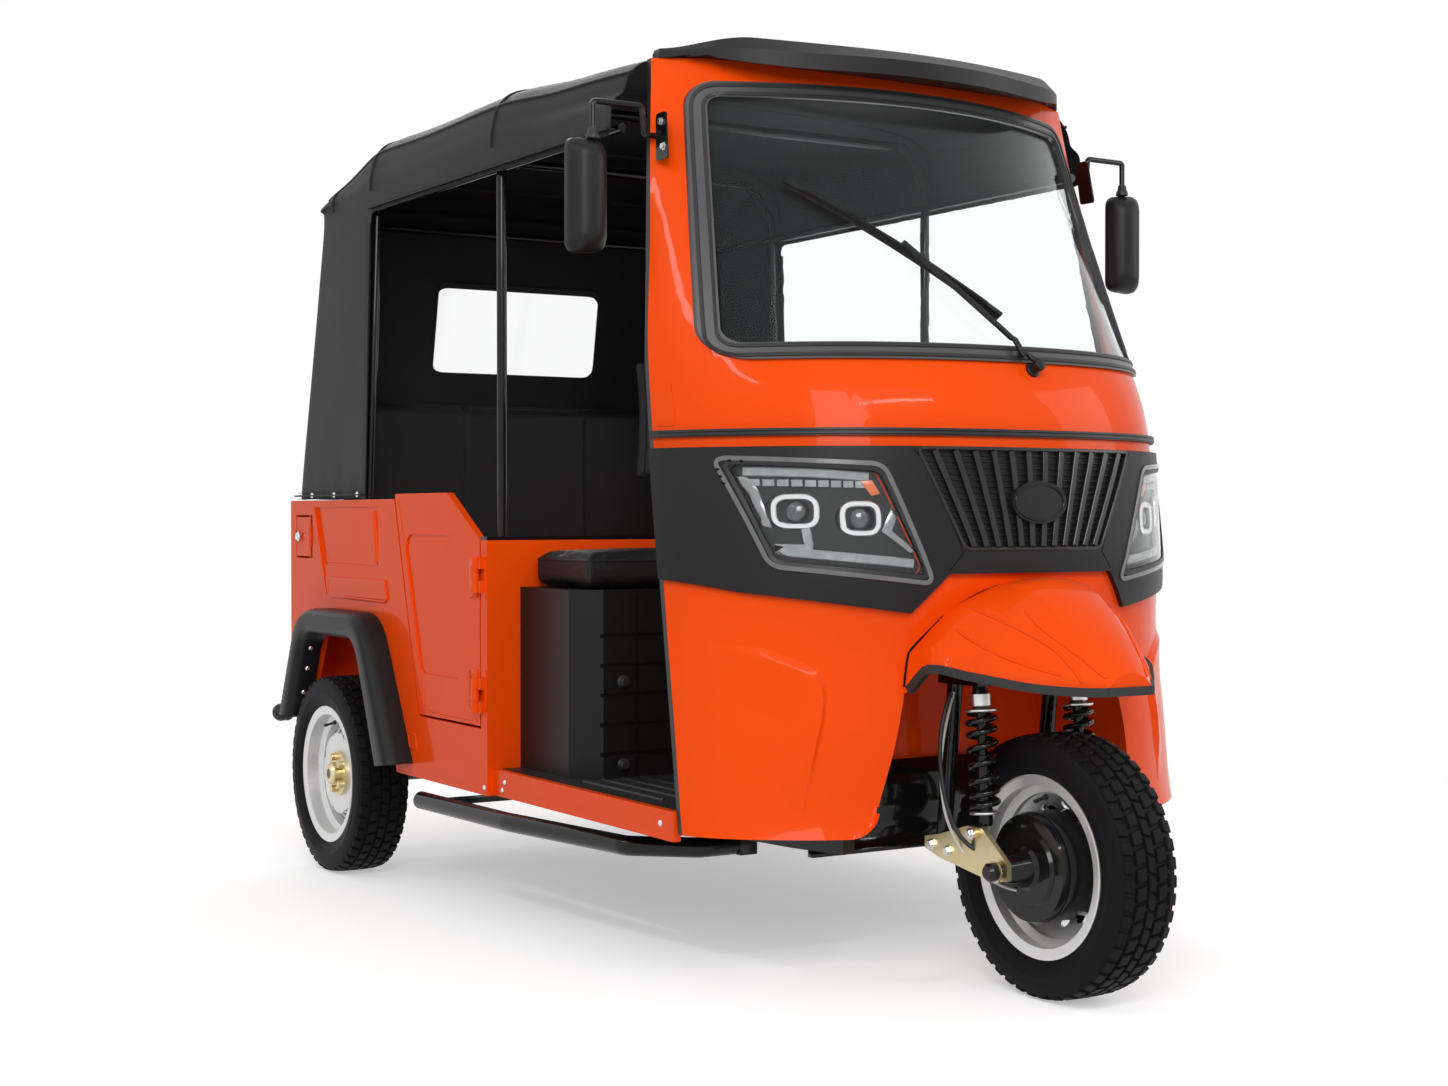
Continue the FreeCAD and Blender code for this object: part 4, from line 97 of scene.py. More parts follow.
class Graph:
    """A node tree with short ways to add and join nodes."""

    def __init__(self, tree: Tree) -> None:
        """Keep the tree to fill."""
        self.tree = tree

    def node(self, kind: str, feeds: Optional[dict] = None, **values: object) -> Node:
        """Add a node.

        Args:
            kind: The node's type name.
            feeds: Sockets or numbers, by the name or number of the input that takes them.
            values: Properties of the node by name.

        Returns:
            The new node.
        """
        made = self.tree.nodes.new(kind)
        for name, value in values.items():
            setattr(made, name, value)
        for name, value in (feeds or {}).items():
            self.feed(value, made.inputs[name])
        return made

    def feed(self, value: object, socket: Socket) -> None:
        """Set a socket to a number, or link a socket to it.

        Args:
            value: A number or a socket.
            socket: The input that takes it.
        """
        if isinstance(value, Socket):
            self.tree.links.new(value, socket)
        else:
            socket.default_value = value

    def math(self, operation: str, *values: object) -> Socket:
        """The result of a Math node on sockets or numbers."""
        return self.node("ShaderNodeMath", dict(enumerate(values)), operation=operation).outputs[0]

    def mix(self, share: object, first: object, second: object) -> Socket:
        """Mix two colours.

        Args:
            share: The share of the second colour.
            first: A colour or socket.
            second: A colour or socket.

        Returns:
            The mixed colour's socket.
        """
        made = self.node("ShaderNodeMix", {"Factor": share}, data_type="RGBA")
        for value, socket in zip((first, second), [s for s in made.inputs if s.type == "RGBA"]):
            self.feed(value if isinstance(value, Socket) else (*value, 1.0), socket)
        return [s for s in made.outputs if s.type == "RGBA"][0]


def new_group(name: str, inputs: dict[str, float], *outputs: str) -> tuple[Graph, Node, Node]:
    """Make a shader node group of float sockets.

    Args:
        name: The group's name.
        inputs: Default values by input name.
        outputs: The outputs' names.

    Returns:
        The graph, its input node and its output node.
    """
    tree = bpy.data.node_groups.new(name, "ShaderNodeTree")
    for label, value in inputs.items():
        tree.interface.new_socket(label, in_out="INPUT", socket_type="NodeSocketFloat").default_value = value
    for label in outputs:
        tree.interface.new_socket(label, in_out="OUTPUT", socket_type="NodeSocketFloat")
    graph = Graph(tree)
    return graph, graph.node("NodeGroupInput"), graph.node("NodeGroupOutput")


def grain_group() -> Tree:
    """A fine random grain on object coordinates: a height and a slow variation.

    Returns:
        The group's tree.
    """
    graph, given, made = new_group("fine_grain", {"Scale": 300.0, "Drift": 3.0}, "Height", "Variation")
    place = graph.node("ShaderNodeTexCoord").outputs["Object"]
    for scale, detail, target in (("Scale", 3.0, "Height"), ("Drift", 2.0, "Variation")):
        noise = graph.node("ShaderNodeTexNoise", {"Vector": place, "Scale": given.outputs[scale], "Detail": detail})
        graph.feed(noise.outputs["Fac"], made.inputs[target])
    return graph.tree


def dust_group() -> Tree:
    """Dust that thins out upwards from the ground, broken up by noise.

    Returns:
        The group's tree.
    """
    graph, given, made = new_group("road_dust", {"Reach": 0.5, "Amount": 0.3}, "Mask")
    place = graph.node("ShaderNodeTexCoord").outputs["Object"]
    split = graph.node("ShaderNodeSeparateXYZ", {0: place})
    noise = graph.node("ShaderNodeTexNoise", {"Vector": place, "Scale": 9.0, "Detail": 6.0})
    fall = graph.math("DIVIDE", split.outputs["Z"], given.outputs["Reach"])
    rest = graph.math("SUBTRACT", 1.0, graph.math("MINIMUM", fall, 1.0))
    rough = graph.math("MULTIPLY", rest, noise.outputs["Fac"])
    graph.feed(graph.math("MULTIPLY", rough, given.outputs["Amount"]), made.inputs["Mask"])
    return graph.tree


def pebble_group() -> Tree:
    """The pebbled grain of vinyl on object coordinates.

    Returns:
        The group's tree.
    """
    graph, given, made = new_group("vinyl_pebble", {"Scale": 420.0}, "Height")
    place = graph.node("ShaderNodeTexCoord").outputs["Object"]
    cells = graph.node("ShaderNodeTexVoronoi", {"Vector": place, "Scale": given.outputs["Scale"]},
                       feature="DISTANCE_TO_EDGE")
    smooth = graph.node("ShaderNodeMapRange", {"From Max": 0.22, "Value": cells.outputs["Distance"]},
                        interpolation_type="SMOOTHSTEP")
    graph.feed(smooth.outputs["Result"], made.inputs["Height"])
    return graph.tree


def weave_group() -> Tree:
    """A plain weave on the piece's own UV map, in threads a metre.

    Returns:
        The group's tree.
    """
    graph, given, made = new_group("plain_weave", {"Threads": 900.0}, "Height")
    place = graph.node("ShaderNodeUVMap", uv_map="cloth").outputs["UV"]
    split = graph.node("ShaderNodeSeparateXYZ", {0: place})
    waves = []
    for axis in ("X", "Y"):
        turns = graph.math("MULTIPLY", graph.math("MULTIPLY", split.outputs[axis], given.outputs["Threads"]), math.pi)
        waves.append(graph.math("ABSOLUTE", graph.math("SINE", turns)))
    graph.feed(graph.math("MULTIPLY", *waves), made.inputs["Height"])
    return graph.tree


class Effects:
    """The shader groups that finishes share, built once."""

    trees: dict[str, Tree] = {}
    makers: dict[str, Callable[[], Tree]] = {
        "grain": grain_group, "dust": dust_group, "pebble": pebble_group, "weave": weave_group,
    }

    @classmethod
    def place(cls, graph: Graph, name: str, **values: float) -> Node:
        """Put a shared group into a material.

        Args:
            graph: The material's graph.
            name: The group's short name.
            values: Input values by name.

        Returns:
            The group node.
        """
        if name not in cls.trees:
            cls.trees[name] = cls.makers[name]()
        made = graph.node("ShaderNodeGroup", node_tree=cls.trees[name])
        for label, value in values.items():
            graph.feed(value, made.inputs[label])
        return made


class Texture(Enum):
    """What the surface of a finish feels like."""

    SMOOTH = "smooth"
    GRAINED = "grained"
    VINYL = "vinyl"
    CLOTH = "cloth"


DUST_COLOUR: Colour = (0.22, 0.19, 0.16)
DUST_ROUGHNESS = 0.5
COAT_ROUGHNESS = 0.03
# how much of the fine grain's height goes into the pebble or the weave
UNDER_GRAIN = {Texture.VINYL: ("pebble", 0.4), Texture.CLOTH: ("weave", 0.6)}


@dataclass(frozen=True)
class Finish:
    """A surface finish, with everything its material needs."""

    name: str
    colour: Colour
    second: Colour
    roughness: float
    second_roughness: float
    metallic: float = 0.0
    coat: float = 0.0
    texture: Texture = Texture.SMOOTH
    grain_scale: float = 300.0
    grain_height: float = 0.0002
    drift: float = 3.0
    dust: float = 0.0
    transmission: float = 0.0
    specular: float = 0.5
    ior: float = 1.45
    coat_ior: float = 1.5
    sheen_tint: Colour = (1.0, 1.0, 1.0)

    def material(self) -> bpy.types.Material:
        """The finish's material, built on first use.

        Returns:
            The material.
        """
        found = bpy.data.materials.get(self.name)
        if found is not None:
            return found
        made = bpy.data.materials.new(self.name)
        made.use_nodes = True
        graph = Graph(made.node_tree)
        grain = Effects.place(graph, "grain", Scale=self.grain_scale, Drift=self.drift)
        colour = graph.mix(grain.outputs["Variation"], self.colour, self.second)
        spread = self.second_roughness - self.roughness
        rough = graph.math("MULTIPLY_ADD", grain.outputs["Variation"], spread, self.roughness)
        if self.dust > 0.0:
            mask = Effects.place(graph, "dust", Amount=self.dust).outputs["Mask"]
            colour = graph.mix(mask, colour, DUST_COLOUR)
            rough = graph.math("MULTIPLY_ADD", mask, DUST_ROUGHNESS, rough)
        feeds = {
            "Base Color": colour, "Roughness": rough, "Metallic": self.metallic, "Coat Weight": self.coat,
            "Coat Roughness": COAT_ROUGHNESS, "Coat IOR": self.coat_ior, "Specular IOR Level": self.specular,
            "Transmission Weight": self.transmission, "IOR": self.ior, "Specular Tint": (*self.sheen_tint, 1.0),
        }
        if self.texture is not Texture.SMOOTH:
            feeds["Normal"] = self.relief(graph, grain)
        for label, value in feeds.items():
            graph.feed(value, made.node_tree.nodes["Principled BSDF"].inputs[label])
        return made

    def relief(self, graph: Graph, grain: Node) -> Socket:
        """The surface's fine relief.

        Args:
            graph: The material's graph.
            grain: The placed grain group.

        Returns:
            The bent normal's socket.
        """
        height = grain.outputs["Height"]
        if self.texture in UNDER_GRAIN:
            name, share = UNDER_GRAIN[self.texture]
            values = {"Scale": self.grain_scale} if self.texture is Texture.VINYL else {}
            height = graph.math("MULTIPLY_ADD", height, share, Effects.place(graph, name, **values).outputs["Height"])
        feeds = {"Distance": self.grain_height, "Strength": 1.0, "Height": height}
        return graph.node("ShaderNodeBump", feeds).outputs["Normal"]


def grey(value: float) -> Colour:
    """A neutral colour."""
    return (value, value, value)


PAINT = Finish(
    "orange_gloss_paint", (0.80, 0.060, 0.002), (0.86, 0.078, 0.003), 0.22, 0.30, coat=0.30, drift=1.7, specular=0.08,
    ior=1.3, coat_ior=1.28)
BLACK_PLASTIC = Finish(
    "black_textured_plastic", grey(0.010), grey(0.016), 0.36, 0.48, texture=Texture.GRAINED, grain_scale=900.0,
    grain_height=0.00012, dust=0.02, specular=0.22)
SEAT_BOX_PLASTIC = Finish(
    "moulded_seat_box", grey(0.006), grey(0.010), 0.34, 0.46, texture=Texture.GRAINED, grain_scale=700.0,
    grain_height=0.00018, dust=0.02, specular=0.22)
BLACK_PAINT = Finish(
    "black_gloss_enamel", grey(0.004), grey(0.007), 0.12, 0.20, coat=0.25, dust=0.02, specular=0.20)
BLACK_RUBBER = Finish(
    "grained_black_rubber", grey(0.014), grey(0.024), 0.34, 0.48, texture=Texture.GRAINED, grain_scale=520.0,
    grain_height=0.0001, specular=0.35)
TYRE_RUBBER = Finish(
    "blocked_tyre_rubber", grey(0.004), grey(0.008), 0.46, 0.62, texture=Texture.GRAINED, grain_scale=420.0,
    grain_height=0.00012, specular=0.10)
RIM_SILVER = Finish("silver_wheel_paint", grey(0.66), grey(0.76), 0.28, 0.40, metallic=0.6, coat=0.3, dust=0.02)
GOLD_ZINC = Finish(
    "yellow_zinc_plate", (0.62, 0.52, 0.24), (0.70, 0.60, 0.42), 0.25, 0.42, metallic=1.0, drift=40.0)
BRIGHT_ZINC = Finish("bright_zinc_plate", (0.62, 0.63, 0.64), grey(0.74), 0.22, 0.38, metallic=1.0, drift=60.0)
CHROME = Finish("bright_chrome", (0.80, 0.80, 0.81), grey(0.88), 0.06, 0.12, metallic=1.0)
CANVAS = Finish(
    "coated_canvas", grey(0.010), grey(0.017), 0.40, 0.54, texture=Texture.CLOTH, grain_scale=260.0,
    grain_height=0.00025, drift=4.0, specular=0.18)
SEAT_VINYL = Finish(
    "grained_seat_vinyl", grey(0.009), (0.015, 0.0145, 0.014), 0.34, 0.48, texture=Texture.VINYL, grain_scale=420.0,
    grain_height=0.00018, drift=5.0, specular=0.20)
FLARE_PLASTIC = Finish(
    "satin_flare_plastic", grey(0.010), grey(0.015), 0.34, 0.46, texture=Texture.GRAINED, grain_scale=900.0,
    grain_height=0.0001, dust=0.02, specular=0.2)
# partly painted sheen: this rubber's grey is lighter than the other black rubbers to stand for the sheen on the
# windscreen seal; its higher specular level is real gloss
SEAL_RUBBER = Finish(
    "satin_seal_rubber", grey(0.040), grey(0.055), 0.28, 0.36, texture=Texture.GRAINED, grain_scale=520.0,
    grain_height=0.00006, specular=0.7)
LAMP_FRAME = Finish(
    "grey_lamp_frame", (0.10, 0.102, 0.105), (0.15, 0.152, 0.155), 0.16, 0.26, metallic=0.4, coat=0.6, drift=30.0)
GRILLE_GLOSS = Finish("satin_grille_plastic", grey(0.008), grey(0.012), 0.22, 0.32)
THREAD = Finish("black_sewing_thread", grey(0.024), grey(0.036), 0.55, 0.7, drift=90.0, specular=0.2)
SCREEN_GLASS = Finish(
    "windscreen_glass", (0.95, 0.985, 0.98), (0.96, 0.99, 0.985), 0.0, 0.01, transmission=0.992, specular=0.2,
    ior=1.16, sheen_tint=(0.7, 1.0, 1.0))
LAMP_LENS = Finish(
    "clear_lamp_lens", (0.93, 0.95, 0.95), (0.95, 0.96, 0.96), 0.0, 0.02, transmission=1.0, specular=0.3, ior=1.26)
SOFT_WINDOW = Finish("clear_vinyl_window", (0.93, 0.94, 0.94), grey(0.96), 0.04, 0.10, transmission=1.0, drift=12.0)
LAMP_BODY = Finish("dark_lamp_body", (0.012, 0.012, 0.013), (0.022, 0.022, 0.023), 0.16, 0.28, specular=0.4)
LAMP_SILVER = Finish("satin_reflector", (0.24, 0.245, 0.25), (0.34, 0.345, 0.35), 0.16, 0.30, metallic=0.8)
LIGHT_GUIDE = Finish(
    "milky_light_guide", (0.22, 0.225, 0.23), (0.34, 0.345, 0.35), 0.20, 0.32, coat=0.4, drift=40.0)
LAMP_AMBER = Finish("amber_reflector", (0.62, 0.12, 0.03), (0.70, 0.16, 0.04), 0.18, 0.3, coat=0.6)
LAMP_RED = Finish("red_lamp_lens", (0.42, 0.012, 0.010), (0.52, 0.02, 0.015), 0.12, 0.2, coat=0.8)
MIRROR_GLASS = Finish("mirror_glass", (0.86, 0.88, 0.88), (0.90, 0.91, 0.91), 0.02, 0.04, metallic=1.0)
WHITE_CABLE = Finish("pale_cable_sleeve", (0.62, 0.63, 0.60), (0.70, 0.70, 0.68), 0.35, 0.5, drift=30.0)
PROJECTOR_GLASS = Finish("projector_lens", (0.05, 0.055, 0.06), (0.08, 0.085, 0.09), 0.02, 0.05, metallic=0.3, coat=1.0)
JOINT_BLACK = Finish("panel_joint", grey(0.003), grey(0.005), 0.8, 0.9, drift=20.0, specular=0.1)

NODE_FINISHES: tuple[tuple[Finish, str], ...] = (
    (TYRE_RUBBER, "front_tyre rear_right_tyre rear_left_tyre"),
    (RIM_SILVER, "front_rim rear_right_rim rear_left_rim"),
    (GOLD_ZINC, "rear_right_hub rear_left_hub leading_links"),
    (BLACK_PAINT, "front_hub fork handlebar front_axle shock_absorbers floor_pan chassis_frame head_frame bulkhead_cap"
                  " bench_base canopy_frame side_steps rear_bumper mirror_arms wiper rear_axle"),
    (PAINT, "cab_shell front_mudguard wheel_well sills side_panel_right side_panel_left tail_panel wheel_houses"
            " bulkhead door_right door_left door_hinges filler_lid"),
    (BLACK_RUBBER, "belt_moulding pillar_trims floor_mat"),
    (BLACK_PLASTIC, "headlamp_band grille roof_visor dashboard arch_flares mirror_housings"),
    (SEAT_BOX_PLASTIC, "driver_seat_box"), (SEAL_RUBBER, "windscreen_seal"), (SCREEN_GLASS, "windscreen"),
    (LAMP_LENS, "headlamp_lenses"), (LAMP_BODY, "headlamp_units"), (LAMP_RED, "tail_lamps"),
    (SEAT_VINYL, "driver_seat_cushion driver_backrest bench_cushion bench_backrest"),
    (CANVAS, "canopy_roof canopy_rear"), (SOFT_WINDOW, "rear_window"),
)


# mesh helpers


def show(name: str, data: bpy.types.ID) -> Piece:
    """Put a mesh, curve, lamp or camera into the scene.

    Args:
        name: The object's name.
        data: The mesh, curve, lamp or camera.

    Returns:
        The object.
    """
    made = bpy.data.objects.new(name, data)
    bpy.context.scene.collection.objects.link(made)
    return made


def add_mesh(name: str, points: Iterable[Sequence[float]], faces: Iterable[Sequence[int]], finish: Finish,
             smooth: bool = True) -> Piece:
    """Make a mesh object with a finish.

    Args:
        name: The piece's name.
        points: Its points in metres.
        faces: Its faces as point numbers.
        finish: Its finish.
        smooth: Whether the faces are shaded smooth.

    Returns:
        The new object.
    """
    mesh = bpy.data.meshes.new(name)
    mesh.from_pydata([tuple(p) for p in points], [], [tuple(f) for f in faces])
    mesh.validate()
    mesh.polygons.foreach_set("use_smooth", [smooth] * len(mesh.polygons))
    return add_object(name, mesh, finish)


def add_object(name: str, mesh: bpy.types.Mesh, finish: Finish) -> Piece:
    """Put a mesh into the scene as a piece with a finish.

    Args:
        name: The name.
        mesh: The mesh.
        finish: The finish.

    Returns:
        The piece.
    """
    made = show(name, mesh)
    mesh.materials.clear()
    mesh.materials.append(finish.material())
    made["finish"] = finish.name
    return made


def from_work(name: str, work: bmesh.types.BMesh, finish: Finish, merge: Optional[float] = None,
              sharp: float = 35.0) -> Piece:
    """Make a piece of a mesh in work, and free the latter.

    Args:
        name: The piece's name.
        work: The mesh in work.
        finish: The finish.
        merge: The merging distance of the tidying, or None to leave the piece as it is.
        sharp: Edges bent more than this many degrees stay sharp.

    Returns:
        The piece.
    """
    mesh = bpy.data.meshes.new(name)
    work.to_mesh(mesh)
    work.free()
    piece = add_object(name, mesh, finish)
    if merge is not None:
        all_smooth(piece)
        tidy_mesh(piece, merge, sharp)
    return piece


def all_smooth(piece: Piece) -> None:
    """Shade every face of a piece smooth."""
    piece.data.polygons.foreach_set("use_smooth", [True] * len(piece.data.polygons))


def tidy_mesh(piece: Piece, merge: float = 1e-5, sharp: Optional[float] = 35.0) -> None:
    """Merge doubles, turn faces outwards and mark sharp edges.

    Args:
        piece: The piece to tidy.
        merge: The merging distance in metres.
        sharp: Edges bent more than this many degrees stay sharp.
    """
    work = bmesh.new()
    work.from_mesh(piece.data)
    bmesh.ops.remove_doubles(work, verts=work.verts, dist=merge)
    bmesh.ops.recalc_face_normals(work, faces=work.faces)
    if sharp is not None:
        limit = math.radians(sharp)
        for edge in work.edges:
            edge.smooth = len(edge.link_faces) == 2 and edge.calc_face_angle(0.0) < limit
    work.to_mesh(piece.data)
    work.free()


def fit(piece: Piece, body: str, *nodes: str) -> Piece:
    """Let a piece ride on a body, and stand for CAD nodes.

    Args:
        piece: The finished piece.
        body: The body it moves with.
        nodes: The CAD nodes that it stands for.

    Returns:
        The piece.
    """
    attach(piece, body)
    if nodes:
        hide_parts(*nodes)
    return piece


def bake(piece: Piece) -> None:
    """Turn a piece's modifiers into its mesh and remove them.

    Args:
        piece: The piece.
    """
    graph = bpy.context.evaluated_depsgraph_get()
    graph.update()
    mesh = bpy.data.meshes.new_from_object(piece.evaluated_get(graph))
    piece.modifiers.clear()
    piece.data = mesh


def skin_rows(rows: Sequence[Row], closed: bool = False, capped: bool = False) -> tuple[list, list]:
    """Faces between rows of points of equal length.

    Args:
        rows: The rows.
        closed: Whether each row is a ring.
        capped: Whether the first and last rows are filled.

    Returns:
        The points and the faces.
    """
    width = len(rows[0])
    points = [p for row in rows for p in row]
    faces: list[tuple[int, ...]] = []
    for low in range(len(rows) - 1):
        here, over = low * width, (low + 1) * width
        for step in range(width if closed else width - 1):
            after = (step + 1) % width
            faces.append((here + step, here + after, over + after, over + step))
    if capped:
        faces.append(tuple(reversed(range(width))))
        faces.append(tuple((len(rows) - 1) * width + k for k in range(width)))
    return points, faces


def loft(name: str, rows: Sequence[Row], finish: Finish, smooth: bool = True) -> Piece:
    """A closed body over rings of points, with both ends filled."""
    return add_mesh(name, *skin_rows(rows, closed=True, capped=True), finish, smooth)


def side_rings(side: int, levels: Iterable[tuple[float, Iterable[Flat]]]) -> list[list[Vector]]:
    """Rings that lie in planes across the vehicle.

    Args:
        side: Minus one for the right side, one for the left.
        levels: The distance from the middle plane, and the (y, z) of the points.

    Returns:
        The rings.
    """
    return [[Vector((side * x, y, z)) for y, z in ring] for x, ring in levels]


def around(steps: int) -> list[float]:
    """The angles of even steps round a circle."""
    return [2 * math.pi * k / steps for k in range(steps)]


def turned(name: str, profile: Sequence[Flat], place: Vector, axis: Vector, finish: Finish, steps: int = 64) -> Piece:
    """Turn a profile of (along, radius) round an axis.

    Args:
        name: The piece's name.
        profile: The profile's points; a radius of zero closes an end.
        place: The start of the axis.
        axis: The axis's direction.
        finish: The piece's finish.
        steps: The number of steps round.

    Returns:
        The new object.
    """
    along = axis.normalized()
    across = along.orthogonal().normalized()
    other = along.cross(across)
    outs = [across * math.cos(angle) + other * math.sin(angle) for angle in around(steps)]
    rows = [[place + along * reach + out * max(radius, 1e-5) for out in outs] for reach, radius in profile]
    made = loft(name, rows, finish)
    tidy_mesh(made, 2e-5, 38.0)
    return made


def smooth_path(points: Line, steps: int = 8) -> list[Vector]:
    """A smooth path through points (Catmull-Rom).

    Args:
        points: The points to pass through.
        steps: The number of steps between two points.

    Returns:
        The path's points.
    """
    row = [Vector(p) for p in points]
    row = [row[0] * 2 - row[1]] + row + [row[-1] * 2 - row[-2]]
    path = []
    for a, b, c, e in zip(row, row[1:], row[2:], row[3:]):
        for step in range(steps):
            t = step / steps
            path.append(0.5 * ((b * 2) + (c - a) * t + (a * 2 - b * 5 + c * 4 - e) * t * t
                               + (b * 3 - a - c * 3 + e) * t * t * t))
    path.append(row[-2])
    return path


def bend(before: Sequence[float], corner: Sequence[float], after: Sequence[float], radius: float, steps: int,
         share: float = 1e9) -> list[Flat]:
    """The curve that rounds one corner of an outline.

    Args:
        before: The point before the corner.
        corner: The corner.
        after: The point after it.
        radius: The distance from the corner at which the curve starts.
        steps: The number of steps.
        share: The most that the radius takes of each side.

    Returns:
        The curve's points.
    """
    here = Vector(corner)
    back, ahead = Vector(before) - here, Vector(after) - here
    reach = min(radius, back.length * share, ahead.length * share)
    start, end = here + back.normalized() * reach, here + ahead.normalized() * reach
    spots = [start * (1 - t) ** 2 + here * (2 * t * (1 - t)) + end * t * t for t in
             [step / steps for step in range(steps + 1)]]
    return [(spot.x, spot.y) for spot in spots]


def rounded(outline: Sequence[Flat], radius: float, steps: int = 6) -> list[Flat]:
    """A closed outline with its corners rounded.

    Args:
        outline: The corners.
        radius: The distance from a corner at which its curve starts.
        steps: The number of steps in a corner.

    Returns:
        The outline's points.
    """
    following = [*outline[1:], outline[0]]
    return [p for index, corner in enumerate(outline)
            for p in bend(outline[index - 1], corner, following[index], radius, steps, 0.48)]


def round_path(points: Sequence[Flat], radius: float, steps: int = 8) -> list[Flat]:
    """An open path with its inner corners rounded."""
    inner = [p for corner in zip(points, points[1:], points[2:]) for p in bend(*corner, radius, steps)]
    return [points[0], *inner, points[-1]]


def plate(x0: float, z0: float, x1: float, z1: float, inset: float = 0.0) -> list[Flat]:
    """The corners of an upright rectangle, drawn in by an inset."""
    return [(x0 + inset, z0 + inset), (x1 - inset, z0 + inset), (x1 - inset, z1 - inset), (x0 + inset, z1 - inset)]


def both(*lines: Iterable[Flat]) -> list[list[Flat]]:
    """Lines of (x, z) for both sides of the vehicle, the right side's first."""
    return [[(side * x, z) for x, z in line] for side in SIDES for line in lines]


# trees for repeated things


def geometry_tree(name: str, **inputs: str) -> tuple[Graph, Node]:
    """Start a geometry tree.

    Args:
        name: The tree's name.
        inputs: The kinds of its inputs after the geometry, by name.

    Returns:
        The graph and its input node.
    """
    tree = bpy.data.node_groups.new(name, "GeometryNodeTree")
    for label, kind in (("Geometry", "Geometry"), *inputs.items(), ("Finish", "Material")):
        tree.interface.new_socket(label, in_out="INPUT", socket_type=f"NodeSocket{kind}")
    tree.interface.new_socket("Geometry", in_out="OUTPUT", socket_type="NodeSocketGeometry")
    graph = Graph(tree)
    return graph, graph.node("NodeGroupInput")


def finish_geometry(graph: Graph, shape: Socket, given: Node) -> Tree:
    """End a geometry tree in Realize Instances and Set Material.

    Args:
        graph: The tree's graph.
        shape: The geometry so far.
        given: The tree's input node.

    Returns:
        The tree.
    """
    real = graph.node("GeometryNodeRealizeInstances", {"Geometry": shape})
    feeds = {"Geometry": real.outputs["Geometry"], "Material": given.outputs["Finish"]}
    graph.node("NodeGroupOutput", {"Geometry": graph.node("GeometryNodeSetMaterial", feeds).outputs["Geometry"]})
    return graph.tree


@cache
def path_tree() -> Tree:
    """Geometry nodes that sweep a flat or round section along the edges of a mesh.

    Returns:
        The tree.
    """
    graph, given = geometry_tree("section_along_path", Width="Float", Height="Float", Sides="Int", Round="Bool")
    take = given.outputs
    path = graph.node("GeometryNodeMeshToCurve", {"Mesh": take["Geometry"]})
    flat = graph.node("GeometryNodeCurvePrimitiveQuadrilateral", {"Width": take["Width"], "Height": take["Height"]})
    half = graph.math("MULTIPLY", take["Width"], 0.5)
    ring = graph.node("GeometryNodeCurvePrimitiveCircle", {"Resolution": take["Sides"], "Radius": half})
    feeds = {"Switch": take["Round"], "False": flat.outputs["Curve"], "True": ring.outputs["Curve"]}
    section = graph.node("GeometryNodeSwitch", feeds, input_type="GEOMETRY").outputs["Output"]
    feeds = {"Fill Caps": True, "Curve": path.outputs["Curve"], "Profile Curve": section}
    return finish_geometry(graph, graph.node("GeometryNodeCurveToMesh", feeds).outputs["Mesh"], given)


@cache
def point_tree() -> Tree:
    """Geometry nodes that put a small part on every point of a mesh, facing its normal.

    Returns:
        The tree.
    """
    graph, given = geometry_tree("part_on_points", Part="Object", Scale="Float", Spread="Float", Seed="Int")
    take = given.outputs
    ways = [graph.node("GeometryNodeInputNamedAttribute", {"Name": name}, data_type="FLOAT_VECTOR").outputs["Attribute"]
            for name in ("facing", "heading")]
    turn = graph.node("FunctionNodeAxesToRotation", {"Primary Axis": ways[0], "Secondary Axis": ways[1]},
                      primary_axis="Z", secondary_axis="X")
    dice = graph.node("FunctionNodeRandomValue", {"Seed": take["Seed"]}, data_type="FLOAT")
    limits = [s for s in dice.inputs if s.type == "VALUE" and s.enabled]
    for operation, socket in zip(("SUBTRACT", "ADD"), limits):
        graph.feed(graph.math(operation, take["Scale"], take["Spread"]), socket)
    part = graph.node("GeometryNodeObjectInfo", {"Object": take["Part"]})
    feeds = {
        "Points": take["Geometry"], "Instance": part.outputs["Geometry"], "Rotation": turn.outputs["Rotation"],
        "Scale": [s for s in dice.outputs if s.enabled][0],
    }
    return finish_geometry(graph, graph.node("GeometryNodeInstanceOnPoints", feeds).outputs["Instances"], given)


def run_tree(piece: Piece, tree: Tree, finish: Finish, **values: object) -> None:
    """Run a geometry tree on a piece and keep the result as its plain mesh.

    Args:
        piece: The piece that carries the points or paths.
        tree: The geometry tree.
        finish: The finish of the result.
        values: The tree's inputs by name.
    """
    modifier = piece.modifiers.new("make", "NODES")
    modifier.node_group = tree
    values["Finish"] = finish.material()
    for item in tree.interface.items_tree:
        if item.in_out == "INPUT" and item.name in values:
            modifier[item.identifier] = values[item.name]
    bake(piece)
    all_smooth(piece)


def swept(name: str, paths: Sequence[Line], width: float, finish: Finish, height: Optional[float] = None,
          sides: int = 10, closed: bool = False) -> Piece:
    """Sweep a round or flat section along paths.

    Args:
        name: The piece's name.
        paths: The paths, each a row of points.
        width: The section's width.
        finish: The finish.
        height: The section's height if it is flat, or None for a round one.
        sides: The number of sides of a round section.
        closed: Whether each path is a ring.

    Returns:
        The piece.
    """
    points: list[Sequence[float]] = []
    edges: list[tuple[int, int]] = []
    for path in paths:
        start = len(points)
        points += list(path)
        edges += [(start + k, start + k + 1) for k in range(len(path) - 1)]
        if closed:
            edges.append((start + len(path) - 1, start))
    mesh = bpy.data.meshes.new(name)
    mesh.from_pydata([tuple(p) for p in points], edges, [])
    piece = add_object(name, mesh, finish)
    run_tree(piece, path_tree(), finish, Width=width, Height=height or width, Sides=sides, Round=height is None)
    tidy_mesh(piece, 1e-6, 40.0)
    return piece


